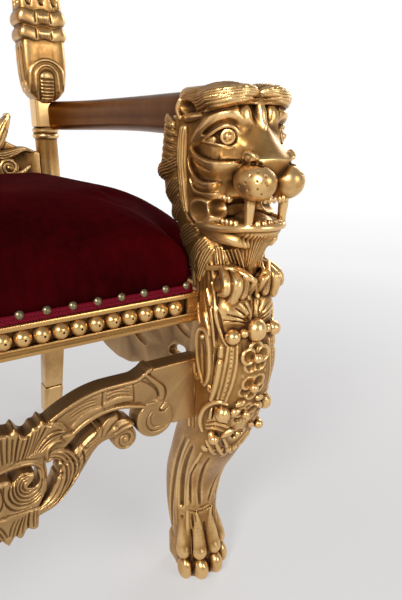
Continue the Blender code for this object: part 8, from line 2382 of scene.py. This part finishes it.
area("key_light", (-1.6, -1.6, 1.9), (0.25, -0.3, 0.5), 0.8, 62, (1.0, 0.985, 0.96))
area("front_light", (0.9, -2.2, 1.2), (0.25, -0.3, 0.5), 0.9, 15, (0.98, 0.985, 1.0))
area("right_light", (1.9, 0.4, 1.4), (0.25, -0.3, 0.5), 1.0, 14, (0.95, 0.96, 1.0))

world = bpy.data.worlds.new("studio")
bpy.context.scene.world = world
world.use_nodes = True
wt = world.node_tree
bg = wt.nodes["Background"]
tc = wt.nodes.new("ShaderNodeTexCoord")
sp = wt.nodes.new("ShaderNodeSeparateXYZ")
rp = wt.nodes.new("ShaderNodeValToRGB")
wt.links.new(tc.outputs["Generated"], sp.inputs[0])
wt.links.new(sp.outputs["Z"], rp.inputs["Fac"])
e = rp.color_ramp.elements
e[0].position, e[0].color = 0.26, (1.0, 1.0, 1.0, 1)
e[1].position, e[1].color = 0.42, (0.32, 0.325, 0.34, 1)
rear = wt.nodes.new("ShaderNodeMapRange")
for k, val in zip(("From Min", "From Max", "To Min", "To Max"), (-0.45, 0.10, 1.0, 0.0)):
    rear.inputs[k].default_value = val
wt.links.new(sp.outputs["Y"], rear.inputs["Value"])
room = wt.nodes.new("ShaderNodeMix")
room.data_type = 'RGBA'
wt.links.new(rear.outputs["Result"], room.inputs["Factor"])
ins = [i for i in room.inputs if i.type == 'RGBA']
wt.links.new(rp.outputs["Color"], ins[0])
ins[1].default_value = (0.20, 0.205, 0.215, 1)
wt.links.new([o for o in room.outputs if o.type == 'RGBA'][0], bg.inputs["Color"])
bg.inputs["Strength"].default_value = 1.0

C = Vector((-0.0741, -0.8157 + OY, 0.6823))
yaw, pitch, roll = math.radians(32.319), math.radians(18.423), math.radians(0.212)
fw = Vector((math.sin(yaw) * math.cos(pitch), math.cos(yaw) * math.cos(pitch), -math.sin(pitch)))
rv = Vector((math.cos(yaw), -math.sin(yaw), 0.0))
uv = rv.cross(fw)
r2 = rv * math.cos(roll) + uv * math.sin(roll)
u2 = -rv * math.sin(roll) + uv * math.cos(roll)
cam = bpy.data.cameras.new("camera")
cam.lens = 31.79
cam.sensor_width = 36.0
cam.sensor_fit = 'AUTO'
cam.clip_start = 0.02
cam.dof.use_dof = False
camo = bpy.data.objects.new("camera", cam)
camo.matrix_world = Matrix(((r2.x, u2.x, -fw.x, C.x), (r2.y, u2.y, -fw.y, C.y), (r2.z, u2.z, -fw.z, C.z), (0, 0, 0, 1)))
bpy.context.scene.collection.objects.link(camo)
bpy.context.scene.camera = camo
bpy.context.scene.view_settings.view_transform = 'Standard'

now = [list(v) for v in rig.bounds()]
with open("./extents.json", "w") as f:
    json.dump({"cad": BOUNDS_CAD, "visual": now}, f)
